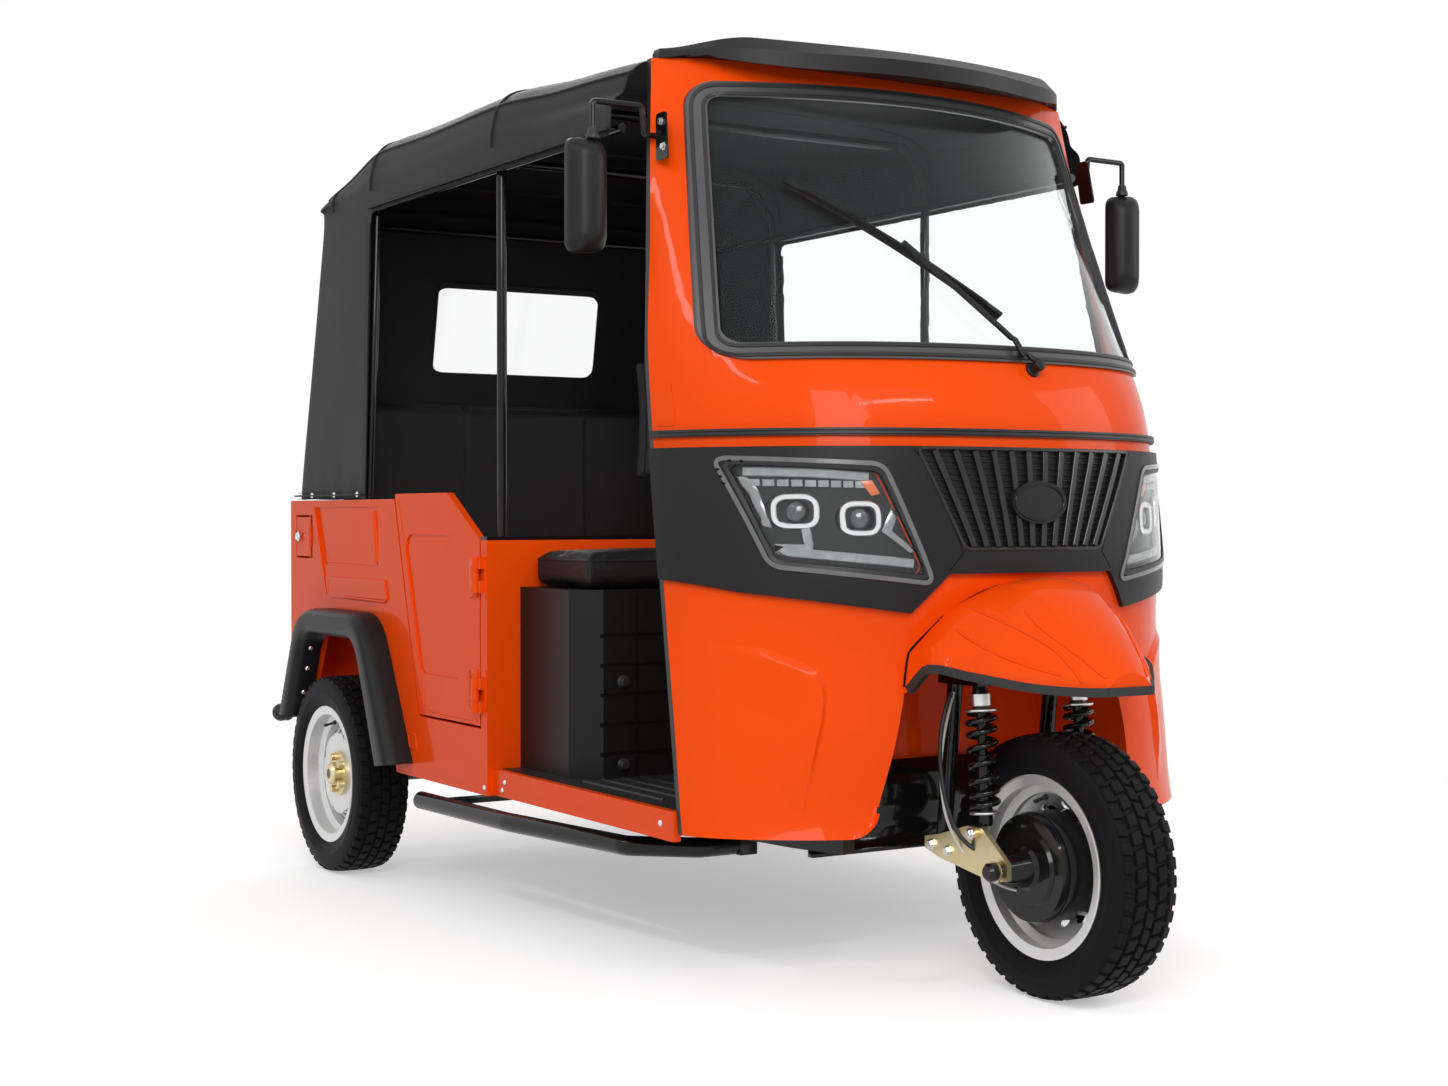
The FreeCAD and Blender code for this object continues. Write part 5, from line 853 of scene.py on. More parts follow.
def studded(name: str, part: Piece, places: Sequence[tuple[Vector, Vector]], finish: Finish, scale: float = 1.0,
            headings: Optional[Sequence[Vector]] = None) -> Piece:
    """Put a small part at each place.

    Args:
        name: The piece's name.
        part: The part, built along +Z from the origin.
        places: Points with the direction that the part faces.
        finish: The finish.
        scale: The part's scale.
        headings: The direction of the part's X axis at each place.

    Returns:
        The piece.
    """
    mesh = bpy.data.meshes.new(name)
    mesh.from_pydata([tuple(place) for place, _ in places], [], [])
    for label, ways in (("facing", [out for _, out in places]),
                        ("heading", headings or [out.orthogonal() for _, out in places])):
        layer = mesh.attributes.new(label, "FLOAT_VECTOR", "POINT")
        layer.data.foreach_set("vector", [c for way in ways for c in way.normalized()])
    piece = add_object(name, mesh, finish)
    run_tree(piece, point_tree(), finish, Part=part, Scale=scale, Spread=0.0, Seed=7)
    tidy_mesh(piece, 1e-6)
    return piece


class SmallParts:
    """Unfinished small parts that the point tree repeats; they never show themselves."""

    made: dict[str, Piece] = {}
    profiles: dict[str, tuple[list[Flat], int]] = {
        # a hexagon head on a washer, one unit across its half flat
        "hex_bolt_master": ([(0.0, 0.0), (0.0, 1.35), (0.22, 1.35), (0.25, 1.0), (0.9, 1.0), (1.05, 0.85),
                             (1.05, 0.0)], 6),
        # a domed screw head with a recess, of unit radius
        "dome_screw_master": ([(0.0, 0.0), (0.0, 1.0), (0.18, 1.0), (0.42, 0.82), (0.58, 0.5), (0.60, 0.34),
                               (0.38, 0.28), (0.38, 0.0)], 14),
    }

    @classmethod
    def keep(cls, name: str) -> Piece:
        """A turned part along +Z, made once.

        Args:
            name: The part's name.

        Returns:
            The part.
        """
        if name not in cls.made:
            profile, steps = cls.profiles[name]
            cls.made[name] = turned(name, profile, Vector(), UP, BRIGHT_ZINC, steps)
        return cls.made[name]

    @classmethod
    def hex_bolt(cls) -> Piece:
        """The hexagon bolt's head."""
        return cls.keep("hex_bolt_master")

    @classmethod
    def dome_screw(cls) -> Piece:
        """The domed screw's head."""
        return cls.keep("dome_screw_master")

    @classmethod
    def drop_all(cls) -> None:
        """Remove the parts once everything is built."""
        for part in cls.made.values():
            bpy.data.objects.remove(part)
        cls.made.clear()


# studio


@dataclass
class Studio:
    """Pale floor, soft lamps and the camera at the photograph's view."""

    image_width: int = 1448
    focal_pixels: float = 2071.43
    camera_place: Spot = (-2.54194, -4.04165, 0.88955)
    yaw: float = 31.774
    pitch: float = -0.750
    roll: float = -0.024
    sensor: float = 36.0
    floor_reach: float = 40.0
    floor_tone: float = 0.82
    floor_glow: float = 0.42
    floor_near: float = 1.9
    floor_far: float = 3.4
    ambient: float = 0.42
    aim: Spot = (0.0, -0.2, 0.7)
    # a large soft key, a fill, two narrow strips overhead and a soft lamp behind
    lights: tuple[tuple[str, Spot, Flat, float], ...] = (
        ("soft_key", (-3.4, -5.2, 3.4), (2.6, 2.6), 178.0), ("soft_fill", (4.6, -3.4, 2.6), (2.4, 2.4), 58.0),
        ("front_strip", (-0.6, -4.4, 3.4), (2.6, 0.12), 34.0), ("side_strip", (-4.2, -0.6, 3.6), (3.2, 0.12), 30.0),
        ("back_soft", (1.5, 4.6, 4.0), (3.0, 2.0), 80.0),
    )

    def build(self) -> None:
        """Make the floor, the surroundings, the lamps and the camera."""
        self.floor()
        self.surroundings()
        self.lamps()
        self.camera()
        bpy.context.scene.view_settings.view_transform = "Standard"

    def floor(self) -> None:
        """The plain pale floor, which keeps the object's shadow."""
        reach = self.floor_reach
        mesh = bpy.data.meshes.new("studio_floor")
        corners = [(-reach, -reach, 0), (reach, -reach, 0), (reach, reach, 0), (-reach, reach, 0)]
        mesh.from_pydata(corners, [], [(0, 1, 2, 3)])
        floor = show("studio_floor", mesh)
        material = bpy.data.materials.new("pale_studio_floor")
        material.use_nodes = True
        graph = Graph(material.node_tree)
        material.node_tree.nodes.remove(material.node_tree.nodes["Principled BSDF"])
        cloth = graph.node("ShaderNodeBsdfDiffuse", {"Color": (*grey(self.floor_tone), 1.0)})
        seen = self.seen_share(graph)
        glow = graph.node("ShaderNodeEmission", {"Strength": graph.math("MULTIPLY", seen, self.floor_glow)})
        both_parts = graph.node("ShaderNodeAddShader", {0: cloth.outputs[0], 1: glow.outputs[0]})
        away = graph.node("ShaderNodeEmission", {"Strength": self.background(graph, seen)})
        blend = graph.node("ShaderNodeMixShader", {0: self.far_share(graph), 1: both_parts.outputs[0],
                                                   2: away.outputs[0]})
        graph.feed(blend.outputs[0], material.node_tree.nodes["Material Output"].inputs["Surface"])
        mesh.materials.append(material)

    def background(self, graph: Graph, seen: Socket) -> Socket:
        """The strength of the white surroundings: full where they are seen, softer as a light."""
        return graph.math("MULTIPLY_ADD", seen, 1.0 - self.ambient, self.ambient)

    def far_share(self, graph: Graph) -> Socket:
        """Zero on the floor near the object, rising to one where the floor melts into the background.

        Args:
            graph: The graph to add to.

        Returns:
            The socket.
        """
        place = graph.node("ShaderNodeTexCoord").outputs["Object"]
        reach = graph.node("ShaderNodeVectorMath", {0: place}, operation="LENGTH").outputs["Value"]
        feeds = {"From Min": self.floor_near, "From Max": self.floor_far, "Value": reach}
        return graph.node("ShaderNodeMapRange", feeds, interpolation_type="SMOOTHSTEP").outputs["Result"]

    def seen_share(self, graph: Graph) -> Socket:
        """One for rays from the camera, a mirror-like surface or glass, else zero.

        Args:
            graph: The graph to add to.

        Returns:
            The socket.
        """
        rays = graph.node("ShaderNodeLightPath").outputs
        seen = graph.math("MAXIMUM", rays["Is Camera Ray"], rays["Is Glossy Ray"])
        return graph.math("MAXIMUM", seen, rays["Is Transmission Ray"])

    def surroundings(self) -> None:
        """A white background with a softer light on the object."""
        world = bpy.data.worlds.new("studio_world")
        bpy.context.scene.world = world
        world.use_nodes = True
        graph = Graph(world.node_tree)
        sky = world.node_tree.nodes["Background"].inputs
        graph.feed(self.background(graph, self.seen_share(graph)), sky["Strength"])
        graph.feed((*grey(1.0), 1.0), sky["Color"])

    def lamps(self) -> None:
        """The soft lamps, all aimed at the vehicle."""
        for name, place, size, power in self.lights:
            light = bpy.data.lights.new(name, "AREA")
            light.shape = "RECTANGLE"
            light.size, light.size_y = size
            light.energy = power
            lamp = show(name, light)
            lamp.location = place
            lamp.rotation_euler = (Vector(self.aim) - Vector(place)).to_track_quat("-Z", "Y").to_euler()

    def camera(self) -> None:
        """The camera, placed and turned as the photograph was taken."""
        yaw, pitch, roll = (math.radians(v) for v in (self.yaw, self.pitch, self.roll))
        ahead = Vector((math.sin(yaw) * math.cos(pitch), math.cos(yaw) * math.cos(pitch), math.sin(pitch)))
        level = Vector((math.cos(yaw), -math.sin(yaw), 0.0))
        upright = level.cross(ahead)
        across = level * math.cos(roll) + upright * math.sin(roll)
        up = upright * math.cos(roll) - level * math.sin(roll)
        data = bpy.data.cameras.new("photo_camera")
        data.sensor_fit = "HORIZONTAL"
        data.sensor_width = self.sensor
        data.lens = self.focal_pixels / self.image_width * self.sensor
        data.clip_end = 200.0
        made = show("photo_camera", data)
        turn = Matrix((across, up, -ahead)).transposed().to_4x4()
        made.matrix_world = Matrix.Translation(self.camera_place) @ turn
        bpy.context.scene.camera = made


# the part's own nodes


class Bodywork:
    """The CAD nodes that keep their own shape and only get their finish."""

    def dress(self, nodes: dict[str, Piece]) -> None:
        """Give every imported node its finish.

        Args:
            nodes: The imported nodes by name.
        """
        for finish, names in NODE_FINISHES:
            for name in names.split():
                for place in nodes[name].material_slots:
                    place.material = finish.material()
            LOG.info("%s on %s", finish.name, names)


# the cab's skin


class Skin:
    """Finds places on the part's own surfaces, so that small pieces sit on them."""

    def __init__(self, objects: Iterable[Piece], offset: float = 0.0) -> None:
        """Keep the surfaces.

        Args:
            objects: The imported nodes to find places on.
            offset: How far the places are moved outwards from the surface.
        """
        self.offset = offset
        points: list[Vector] = []
        faces: list[tuple[int, ...]] = []
        for item in objects:
            start = len(points)
            points += [v.co.copy() for v in item.data.vertices]
            faces += [tuple(start + k for k in p.vertices) for p in item.data.polygons]
        self.tree = BVHTree.FromPolygons(points, faces)

    def cast(self, start: Vector, way: Vector) -> tuple[Vector, Vector]:
        """The first place from a start along a direction, with the outward direction there.

        Args:
            start: Where the line starts.
            way: Its direction.

        Returns:
            The place and the direction.
        """
        spot, normal, _, _ = self.tree.ray_cast(start, way)
        if spot is None:
            spot, normal, _, _ = self.tree.find_nearest(start + way * 2.0)
        if normal.dot(way) > 0:
            normal = -normal
        return spot + normal * self.offset, normal

    def front(self, x: float, z: float) -> Vector:
        """The place seen from straight ahead."""
        return self.cast(Vector((x, -3.0, z)), -AHEAD)[0]

    def smooth_front(self, x: float, z: float, reach: float = 0.006) -> tuple[Vector, Vector]:
        """The place seen from ahead, with the direction averaged a little way round it.

        Args:
            x: The place across.
            z: The height.
            reach: How far round it the direction is averaged.

        Returns:
            The place and the direction.
        """
        across = self.front(x + reach, z) - self.front(x - reach, z)
        normal = across.cross(self.front(x, z + reach) - self.front(x, z - reach)).normalized()
        return self.front(x, z), normal if normal.y < 0 else -normal

    def side(self, y: float, z: float, sign: int) -> tuple[Vector, Vector]:
        """The place seen from one side."""
        return self.cast(Vector((2.0 * sign, y, z)), Vector((-sign, 0, 0)))


def resample(path: Line, step: float) -> list[tuple[float, ...]]:
    """Points along a polyline, at most a step apart, its corners kept.

    Args:
        path: The polyline's points.
        step: The longest distance between two points.

    Returns:
        The points.
    """
    row: list[tuple[float, ...]] = []
    for a, b in zip(path, path[1:]):
        count = max(1, math.ceil(math.dist(a, b) / step))
        for k in range(count):
            row.append(tuple(p + (q - p) * k / count for p, q in zip(a, b)))
    row.append(tuple(path[-1]))
    return row


def ribbon(name: str, skin: Skin, paths: Sequence[Sequence[Flat]], width: float, lift: float, thick: float,
           finish: Finish, closed: bool = False, step: float = 0.012) -> Piece:
    """A flat strip that follows the front skin along paths of (x, z).

    Args:
        name: The piece's name.
        skin: The surface.
        paths: The paths, seen from ahead.
        width: The strip's width.
        lift: How far its underside is off the surface.
        thick: Its thickness.
        finish: Its finish.
        closed: Whether each path is a ring.
        step: The distance between sections.

    Returns:
        The piece.
    """
    points: list[Vector] = []
    faces: list[tuple[int, ...]] = []
    for path in paths:
        row = resample(list(path) + ([path[0]] if closed else []), step)
        spots = [skin.smooth_front(x, z) for x, z in (row[:-1] if closed else row)]
        sections = []
        for index, (spot, normal) in enumerate(spots):
            before = spots[index - 1][0] if index or closed else spot
            after = spots[(index + 1) % len(spots)][0] if index + 1 < len(spots) or closed else spot
            across = (after - before).normalized().cross(normal).normalized() * (width / 2)
            low, high = spot + normal * lift, spot + normal * (lift + thick)
            bevel = min(thick, width) * 0.25
            inner = across * (1 - bevel / (width / 2))
            sections.append([low - across, high - normal * bevel - across, high - inner, high + inner,
                             high - normal * bevel + across, low + across])
        if closed:
            sections.append(sections[0])
        made, quads = skin_rows(sections, closed=True, capped=not closed)
        start = len(points)
        points += made
        faces += [tuple(start + k for k in quad) for quad in quads]
    piece = add_mesh(name, points, faces, finish)
    tidy_mesh(piece, 1e-6, 30.0)
    return piece


def patch(name: str, skin: Skin, outlines: Sequence[Sequence[Flat]], lift: float, thick: float, finish: Finish,
          cell: float = 0.02, bevel: float = 0.0) -> Piece:
    """Plates that follow the front skin inside outlines of (x, z).

    Args:
        name: The piece's name.
        skin: The surface.
        outlines: The closed outlines, seen from ahead.
        lift: How far the underside is off the surface.
        thick: The thickness.
        finish: The finish.
        cell: The spacing of the plate's grid.
        bevel: The width of the softened outer edge.

    Returns:
        The piece.
    """
    work = bmesh.new()
    for outline in outlines:
        flat = bmesh.new()
        flat.faces.new([flat.verts.new((x, 0.0, z)) for x, z in outline])
        for normal, values in zip((ACROSS, UP), zip(*outline)):
            for number in range(math.floor(min(values) / cell) + 1, math.ceil(max(values) / cell)):
                parts = flat.verts[:] + flat.edges[:] + flat.faces[:]
                bmesh.ops.bisect_plane(flat, geom=parts, plane_co=normal * (number * cell), plane_no=normal, dist=1e-6)
        if bevel > 0.0:
            bmesh.ops.inset_region(flat, faces=flat.faces[:], thickness=bevel, depth=0.0)
        edge = {v for v in flat.verts if v.is_boundary}
        place = {}
        for vert in flat.verts:
            spot, normal = skin.smooth_front(vert.co.x, vert.co.z)
            drop = min(thick * 0.6, bevel) if bevel > 0.0 and vert in edge else 0.0
            place[vert] = (work.verts.new(spot + normal * (lift + thick - drop)), work.verts.new(spot + normal * lift))
        for face in flat.faces:
            work.faces.new([place[v][0] for v in face.verts])
            work.faces.new([place[v][1] for v in reversed(face.verts)])
        for side in flat.edges:
            if side.is_boundary:
                a, b = side.verts
                work.faces.new([place[a][0], place[a][1], place[b][1], place[b][0]])
        flat.free()
    bmesh.ops.recalc_face_normals(work, faces=work.faces)
    return from_work(name, work, finish, 1e-7, 32.0)


def join_pieces(name: str, pieces: Sequence[Piece], finish: Finish) -> Piece:
    """Make one piece of several, which are used up.

    Args:
        name: The new piece's name.
        pieces: The pieces.
        finish: The finish.

    Returns:
        The joined piece.
    """
    work = bmesh.new()
    for piece in pieces:
        work.from_mesh(piece.data)
    for piece in pieces:
        bpy.data.objects.remove(piece)
    return from_work(name, work, finish, 1e-7)


def paired(name: str, make: Callable[[int], Piece], finish: Finish) -> Piece:
    """One piece of what the right and the left side carry, made side by side."""
    return join_pieces(name, [make(side) for side in SIDES], finish)


# wheels


@dataclass
class Wheel:
    """A tyre with its tread, and the small parts of its rim."""

    label: str
    body: str
    centre: Spot
    outward: int
    radius: float = 0.2445
    bead_radius: float = 0.1527
    tread_depth: float = 0.0065
    blocks: int = 46
    # for each row of blocks: its place across, its shift in blocks, the blocks' length, width, slant and lean
    rows: tuple[tuple[float, ...], ...] = (
        (0.0505, 0.0, 0.0235, 0.020, 0.0020, 0.22), (0.0245, 0.5, 0.0255, 0.0215, -0.0026, 0.03),
        (0.0, 0.0, 0.0285, 0.0170, 0.0028, 0.0),
    )
    # the carcass's side wall: (x, height over the bead)
    wall: tuple[Flat, ...] = (
        (0.048, 0.0), (0.0495, 0.004), (0.0500, 0.010), (0.0535, 0.0115), (0.0550, 0.014), (0.0545, 0.0165),
        (0.0570, 0.020), (0.0625, 0.029), (0.0655, 0.040), (0.0668, 0.046), (0.0672, 0.0475), (0.0672, 0.0500),
        (0.0668, 0.0515), (0.0666, 0.060), (0.0655, 0.068), (0.0640, 0.0735),
    )
    # its shoulder: (x, depth under the crown)
    shoulder: tuple[Flat, ...] = ((0.0630, 0.0085), (0.0600, 0.0040), (0.0500, 0.0015), (0.0300, 0.0002))

    def build(self) -> None:
        """Make the carcass, the tread blocks and the valve."""
        fit(self.carcass(), self.body, f"{self.label}_tyre")
        fit(self.tread(), self.body)
        fit(self.valve(), self.body)
        LOG.info("%s tyre with %d blocks a row", self.label, self.blocks)

    @property
    def crown(self) -> float:
        """The radius at the foot of the tread."""
        return self.radius - self.tread_depth

    def carcass(self) -> Piece:
        """The turned carcass with its side ribs.

        Returns:
            The piece.
        """
        side = [(x, self.bead_radius + up) for x, up in self.wall]
        side += [(x, self.crown - down) for x, down in self.shoulder]
        profile = [(-x, r) for x, r in side] + [(0.0, self.crown)] + list(reversed(side))
        rows = []
        for angle in around(128):
            out = Vector((0.0, math.cos(angle), math.sin(angle)))
            rows.append([Vector(self.centre) + Vector((x, 0, 0)) + out * r for x, r in profile])
        made = add_mesh(f"{self.label}_tyre_carcass", *skin_rows(rows + rows[:1], closed=True), TYRE_RUBBER)
        tidy_mesh(made, 1e-6, 38.0)
        return made

    def block(self, length: float, width: float, slant: float) -> Piece:
        """One unfinished tread block along +Z, its length along X.

        Args:
            length: The length round the tyre.
            width: The width across.
            slant: How far its two sides lean round the tyre.

        Returns:
            The block.
        """
        name = f"tread_block_{length:.4f}_{width:.4f}_{slant:.4f}"
        if name in SmallParts.made:
            return SmallParts.made[name]
        rows = []
        shape = rounded([(-length / 2 + slant, width / 2), (-length / 2 - slant, -width / 2),
                         (length / 2 - slant, -width / 2), (length / 2 + slant, width / 2)], 0.002, 2)
        for height, inset in ((-0.004, 0.0), (self.tread_depth * 0.72, 0.0004), (self.tread_depth, 0.0016)):
            rows.append([Vector((x * (1 - inset * 2 / length), y * (1 - inset * 2 / width), height)) for x, y in shape])
        SmallParts.made[name] = made = loft(name, rows, TYRE_RUBBER)
        tidy_mesh(made, 1e-6, 30.0)
        return made

    def tread(self) -> Piece:
        """Rows of blocks round the crown and on the shoulders.

        Returns:
            The piece.
        """
        made = []
        for across, shift, length, width, slant, lean in self.rows:
            for side in (SIDES if across else SIDES[1:]):
                places, headings = [], []
                for number in range(self.blocks):
                    angle = (number + shift) * 2 * math.pi / self.blocks
                    out = Vector((0.0, math.cos(angle), math.sin(angle)))
                    depth = self.crown - 0.0005 - lean * 0.012
                    spot = Vector(self.centre) + out * depth + Vector((across * side, 0, 0))
                    places.append((spot, (out + Vector((lean * side, 0, 0))).normalized()))
                    headings.append(Vector((0.0, -math.sin(angle), math.cos(angle))) * side)
                part = self.block(length, width, slant)
                made.append(studded(f"{self.label}_row", part, places, TYRE_RUBBER, headings=headings))
        return join_pieces(f"{self.label}_tyre_tread", made, TYRE_RUBBER)

    def valve(self) -> Piece:
        """The rubber valve with its cap, through the rim's face.

        Returns:
            The piece.
        """
        start = Vector(self.centre) + Vector((0.034 * self.outward, 0.0, 0.128))
        profile = [(0.0, 0.0), (0.0, 0.0055), (0.004, 0.0055), (0.007, 0.0036), (0.020, 0.0030), (0.0205, 0.0038),
                   (0.030, 0.0036), (0.031, 0.0026), (0.031, 0.0)]
        return turned(f"{self.label}_valve", profile, start, Vector((self.outward, 0, -0.25)), BLACK_RUBBER, 18)


# canopy


@dataclass
class Canopy:
    """The fabric roof and rear hood as one sewn sheet, with its hems, seams, snaps and window."""

    half: float = 0.604
    hem_half: float = 0.619
    edge: float = 1.632
    rise: float = 0.220
    hem: float = 0.930
    front: float = -0.492
    quarter: float = 0.730
    rear: float = 1.112
    hem_rear: float = 1.247
    corner: float = 0.070
    crown_end: float = 0.80
    thickness: float = 0.0022
    rise_shares: tuple[Spot, ...] = (
        (0.000, 0.84, 0.900), (0.120, 0.92, 0.925), (0.300, 0.98, 0.940), (0.480, 1.00, 0.940),
        (0.760, 0.98, 0.940), (0.850, 0.80, 0.940), (0.930, 0.58, 0.950), (1.000, 0.30, 0.970),
    )
    section: tuple[Flat, ...] = (
        (1.0, 0.0), (1.0, 0.40), (0.965, 0.70), (0.86, 0.88), (0.55, 0.965), (0.0, 1.0),
    )
    # the shoulder's share where the roof is widest, and the reach over which both shares are averaged
    full_shoulder: float = 0.94
    blur: float = 0.018
    # the frame's bows, between which the cloth sags, and the seams over them
    bows: tuple[float, ...] = (-0.492, 0.050, 0.7465, 1.070)
    seams: tuple[float, ...] = (0.050, 0.735, 0.985)
    # the rear window's opening: half its width, its foot and its head
    window: Spot = (0.252, 1.2782, 1.5118)
    hood_rows: int = 26
    side_columns: int = 40
    quarter_columns: int = 16
    corner_columns: int = 8
    back_columns: int = 24
    stitch: float = 0.0068
    sag: float = 0.007

    def build(self) -> None:
        """Make the sheet and everything sewn to it."""
        sheet = self.sheet()
        sewn = [
            swept("canopy_hem_binding", [self.hem_line()], 0.024, CANVAS, height=0.0036),
            swept("canopy_flap_binding", self.flap_lines(), 0.020, CANVAS, height=0.0034),
            swept("canopy_welts", self.welt_lines(), 0.0075, CANVAS),
            self.stitches(), self.snaps(), self.window_frame(),
        ]
        fit(sheet, "root", "canopy_roof", "canopy_rear")
        fit_all(sewn)
        LOG.info("canopy of %d faces", len(sheet.data.polygons))

    def along(self, y: float) -> Flat:
        """The roof's rise and its shoulder share at a place along it.

        Args:
            y: The place along the vehicle.

        Returns:
            The rise in metres and the shoulder's share of the half width.
        """
        share = min(max((y - self.front) / (self.rear - self.front), 0.0), 1.0)
        found = []
        for spot in (share - self.blur, share, share + self.blur):
            spot = min(max(spot, 0.0), 1.0)
            for low, high in zip(self.rise_shares, self.rise_shares[1:]):
                if spot <= high[0]:
                    part = (spot - low[0]) / (high[0] - low[0])
                    found.append((low[1] + (high[1] - low[1]) * part, low[2] + (high[2] - low[2]) * part))
                    break
        rise = sum(f[0] for f in found) / 3
        shoulder = sum(f[1] for f in found) / 3
        return rise * self.rise, shoulder / self.full_shoulder

    def profile(self) -> list[Flat]:
        """The roof's half section from the edge to the crown, finely stepped."""
        path = smooth_path([(a, u, 0.0) for a, u in self.section[1:]], 5)
        return [(1.0, 0.0), (1.0, 0.14), (1.0, 0.27)] + [(min(p.x, 1.0), p.y) for p in path]

    def lift(self, x: float, y: float) -> float:
        """How far the roof stands over its edge at a place in plan.

        Args:
            x: The place across.
            y: The place along.

        Returns:
            The height.
        """
        rise, narrow = self.along(y)
        across = abs(x) / self.half
        rows = self.profile()[3:]
        rows = [(a if a in (0.0, 1.0) else a * narrow, u) for a, u in rows]
        for high, low in zip(rows, rows[1:]):
            if low[0] <= across <= high[0]:
                part = (across - low[0]) / max(high[0] - low[0], 1e-9)
                return rise * (low[1] + (high[1] - low[1]) * part)
        return rise * (1.0 if across <= 0.0 else rows[0][1])

    def side_places(self, end: float) -> list[float]:
        """The Y of the columns along one side, with columns at the quarter and the flap.

        Args:
            end: The place along where the columns end.

        Returns:
            The places along.
        """
        ahead, behind_it = self.side_columns, self.quarter_columns
        front = [self.front + (self.quarter - self.front) * k / ahead for k in range(ahead)]
        return front + [self.quarter + (end - self.quarter) * k / behind_it for k in range(behind_it + 1)]

    def ring(self, half: float, rear: float, corner: float, front_half: Callable[[float], float],
             height: Callable[[float, float], float]) -> list[Vector]:
        """One row of points round the U from the left front to the right front.

        Args:
            half: The half width at the corners.
            rear: The Y of the back line.
            corner: The corner radius.
            front_half: The half width at a Y along the sides.
            height: The height at a place in plan.

        Returns:
            The row.
        """
        right = [(front_half(y), y) for y in self.side_places(rear - corner)]
        for step in range(1, self.corner_columns):
            angle = math.pi / 2 * step / self.corner_columns
            right.append((half - corner + corner * math.cos(angle), rear - corner + corner * math.sin(angle)))
        right += [((half - corner) * (1 - k / self.back_columns), rear) for k in range(self.back_columns + 1)]
        points = [Vector((x, y, height(x, y))) for x, y in right]
        return points + mirrored(points[:-1])

    def levels(self) -> list[list[Vector]]:
        """Every row of the sheet, from the hem to the crown.

        Returns:
            The rows.
        """
        rows = []
        for share in [k / self.hood_rows for k in range(self.hood_rows)]:
            height = self.hem + (self.edge - self.hem) * share
            half = self.hem_half + (self.half - self.hem_half) * share
            rear = self.hem_rear + (self.rear - self.hem_rear) * share
            rows.append(self.ring(half, rear, self.corner, lambda y, h=half: h, lambda x, y, z=height: z))
        end_rise = self.along(self.rear)[0]
        for across, up in self.profile():
            if across >= 1.0:
                share = up / self.section[1][1]

                def wall(x: float, y: float, share: float = share, up: float = up) -> float:
                    """The height of a row of the upright rim at a place in plan.

                    Args:
                        x: The place across.
                        y: The place along.
                        share: The row's share of the rim's height.
                        up: The row's share of the roof's rise.

                    Returns:
                        The height.
                    """
                    if y < self.rear - self.corner:
                        return self.edge + self.along(y)[0] * up
                    blend = (y - self.rear + self.corner) / self.corner
                    top = self.lift(min(abs(x), self.half * 0.985), self.rear)
                    side = self.along(y)[0] * up
                    return self.edge + side * (1 - blend) + min(top, end_rise) * share * blend

                rows.append(self.ring(self.half, self.rear, self.corner, lambda y: self.half, wall))
                continue
            reach = (1 - across) ** 0.8
            rear = self.rear + (self.crown_end - self.rear) * reach
            corner = self.corner * max(across, 0.0)

            def edge_half(y: float, across: float = across) -> float:
                """The half width of a row of the top at a place along."""
                return self.half * across * self.along(y)[1]

            half = edge_half(rear)
            rows.append(self.ring(half, rear, corner, edge_half, lambda x, y: self.edge + self.lift(x, y)))
        return rows

    def sheet(self) -> Piece:
        """The continuous sheet with its folds.

        Returns:
            The piece.
        """
        grid = self.levels()
        points, faces = skin_rows(grid)
        width = len(grid[0])
        kept = []
        for face in faces:
            middle = sum((points[k] for k in face), Vector()) / 4
            ahead_of_hood = middle.z < self.edge and middle.y < self.quarter
            if not ahead_of_hood and not self.in_window(middle):
                kept.append(face)
        lengths = self.cloth_lengths(grid)
        piece = add_mesh("canopy_sheet", points, kept, CANVAS)
        mesh = piece.data
        layer = mesh.uv_layers.new(name="cloth")
        for loop in mesh.loops:
            level, column = divmod(loop.vertex_index, width)
            layer.data[loop.index].uv = lengths[level][column]
        for vertex in mesh.vertices:
            vertex.co += self.fold(vertex.co)
        tidy_mesh(piece, 2e-5, None)
        shell = piece.modifiers.new("thickness", "SOLIDIFY")
        shell.thickness = self.thickness
        shell.offset = -1.0
        smooth = piece.modifiers.new("smooth", "SUBSURF")
        smooth.levels = smooth.render_levels = 1
        smooth.boundary_smooth = "PRESERVE_CORNERS"
        bake(piece)
        return piece

    def in_window(self, spot: Vector) -> bool:
        """Whether a place on the back lies in the window's opening."""
        half, foot, head = self.window
        return spot.y > 1.08 and abs(spot.x) < half and foot < spot.z < head

    def cloth_lengths(self, grid: list[list[Vector]]) -> list[list[Flat]]:
        """Lengths across and along the cloth at every point, for the weave.

        Args:
            grid: The sheet's rows of points.

        Returns:
            The lengths at every point, row by row.
        """
        made = []
        rise = [0.0] * len(grid[0])
        for number, row in enumerate(grid):
            run = 0.0
            line = []
            for column, point in enumerate(row):
                if column:
                    run += (point - row[column - 1]).length
                if number:
                    rise[column] += (point - grid[number - 1][column]).length
                line.append((run, rise[column]))
            made.append(line)
        return made

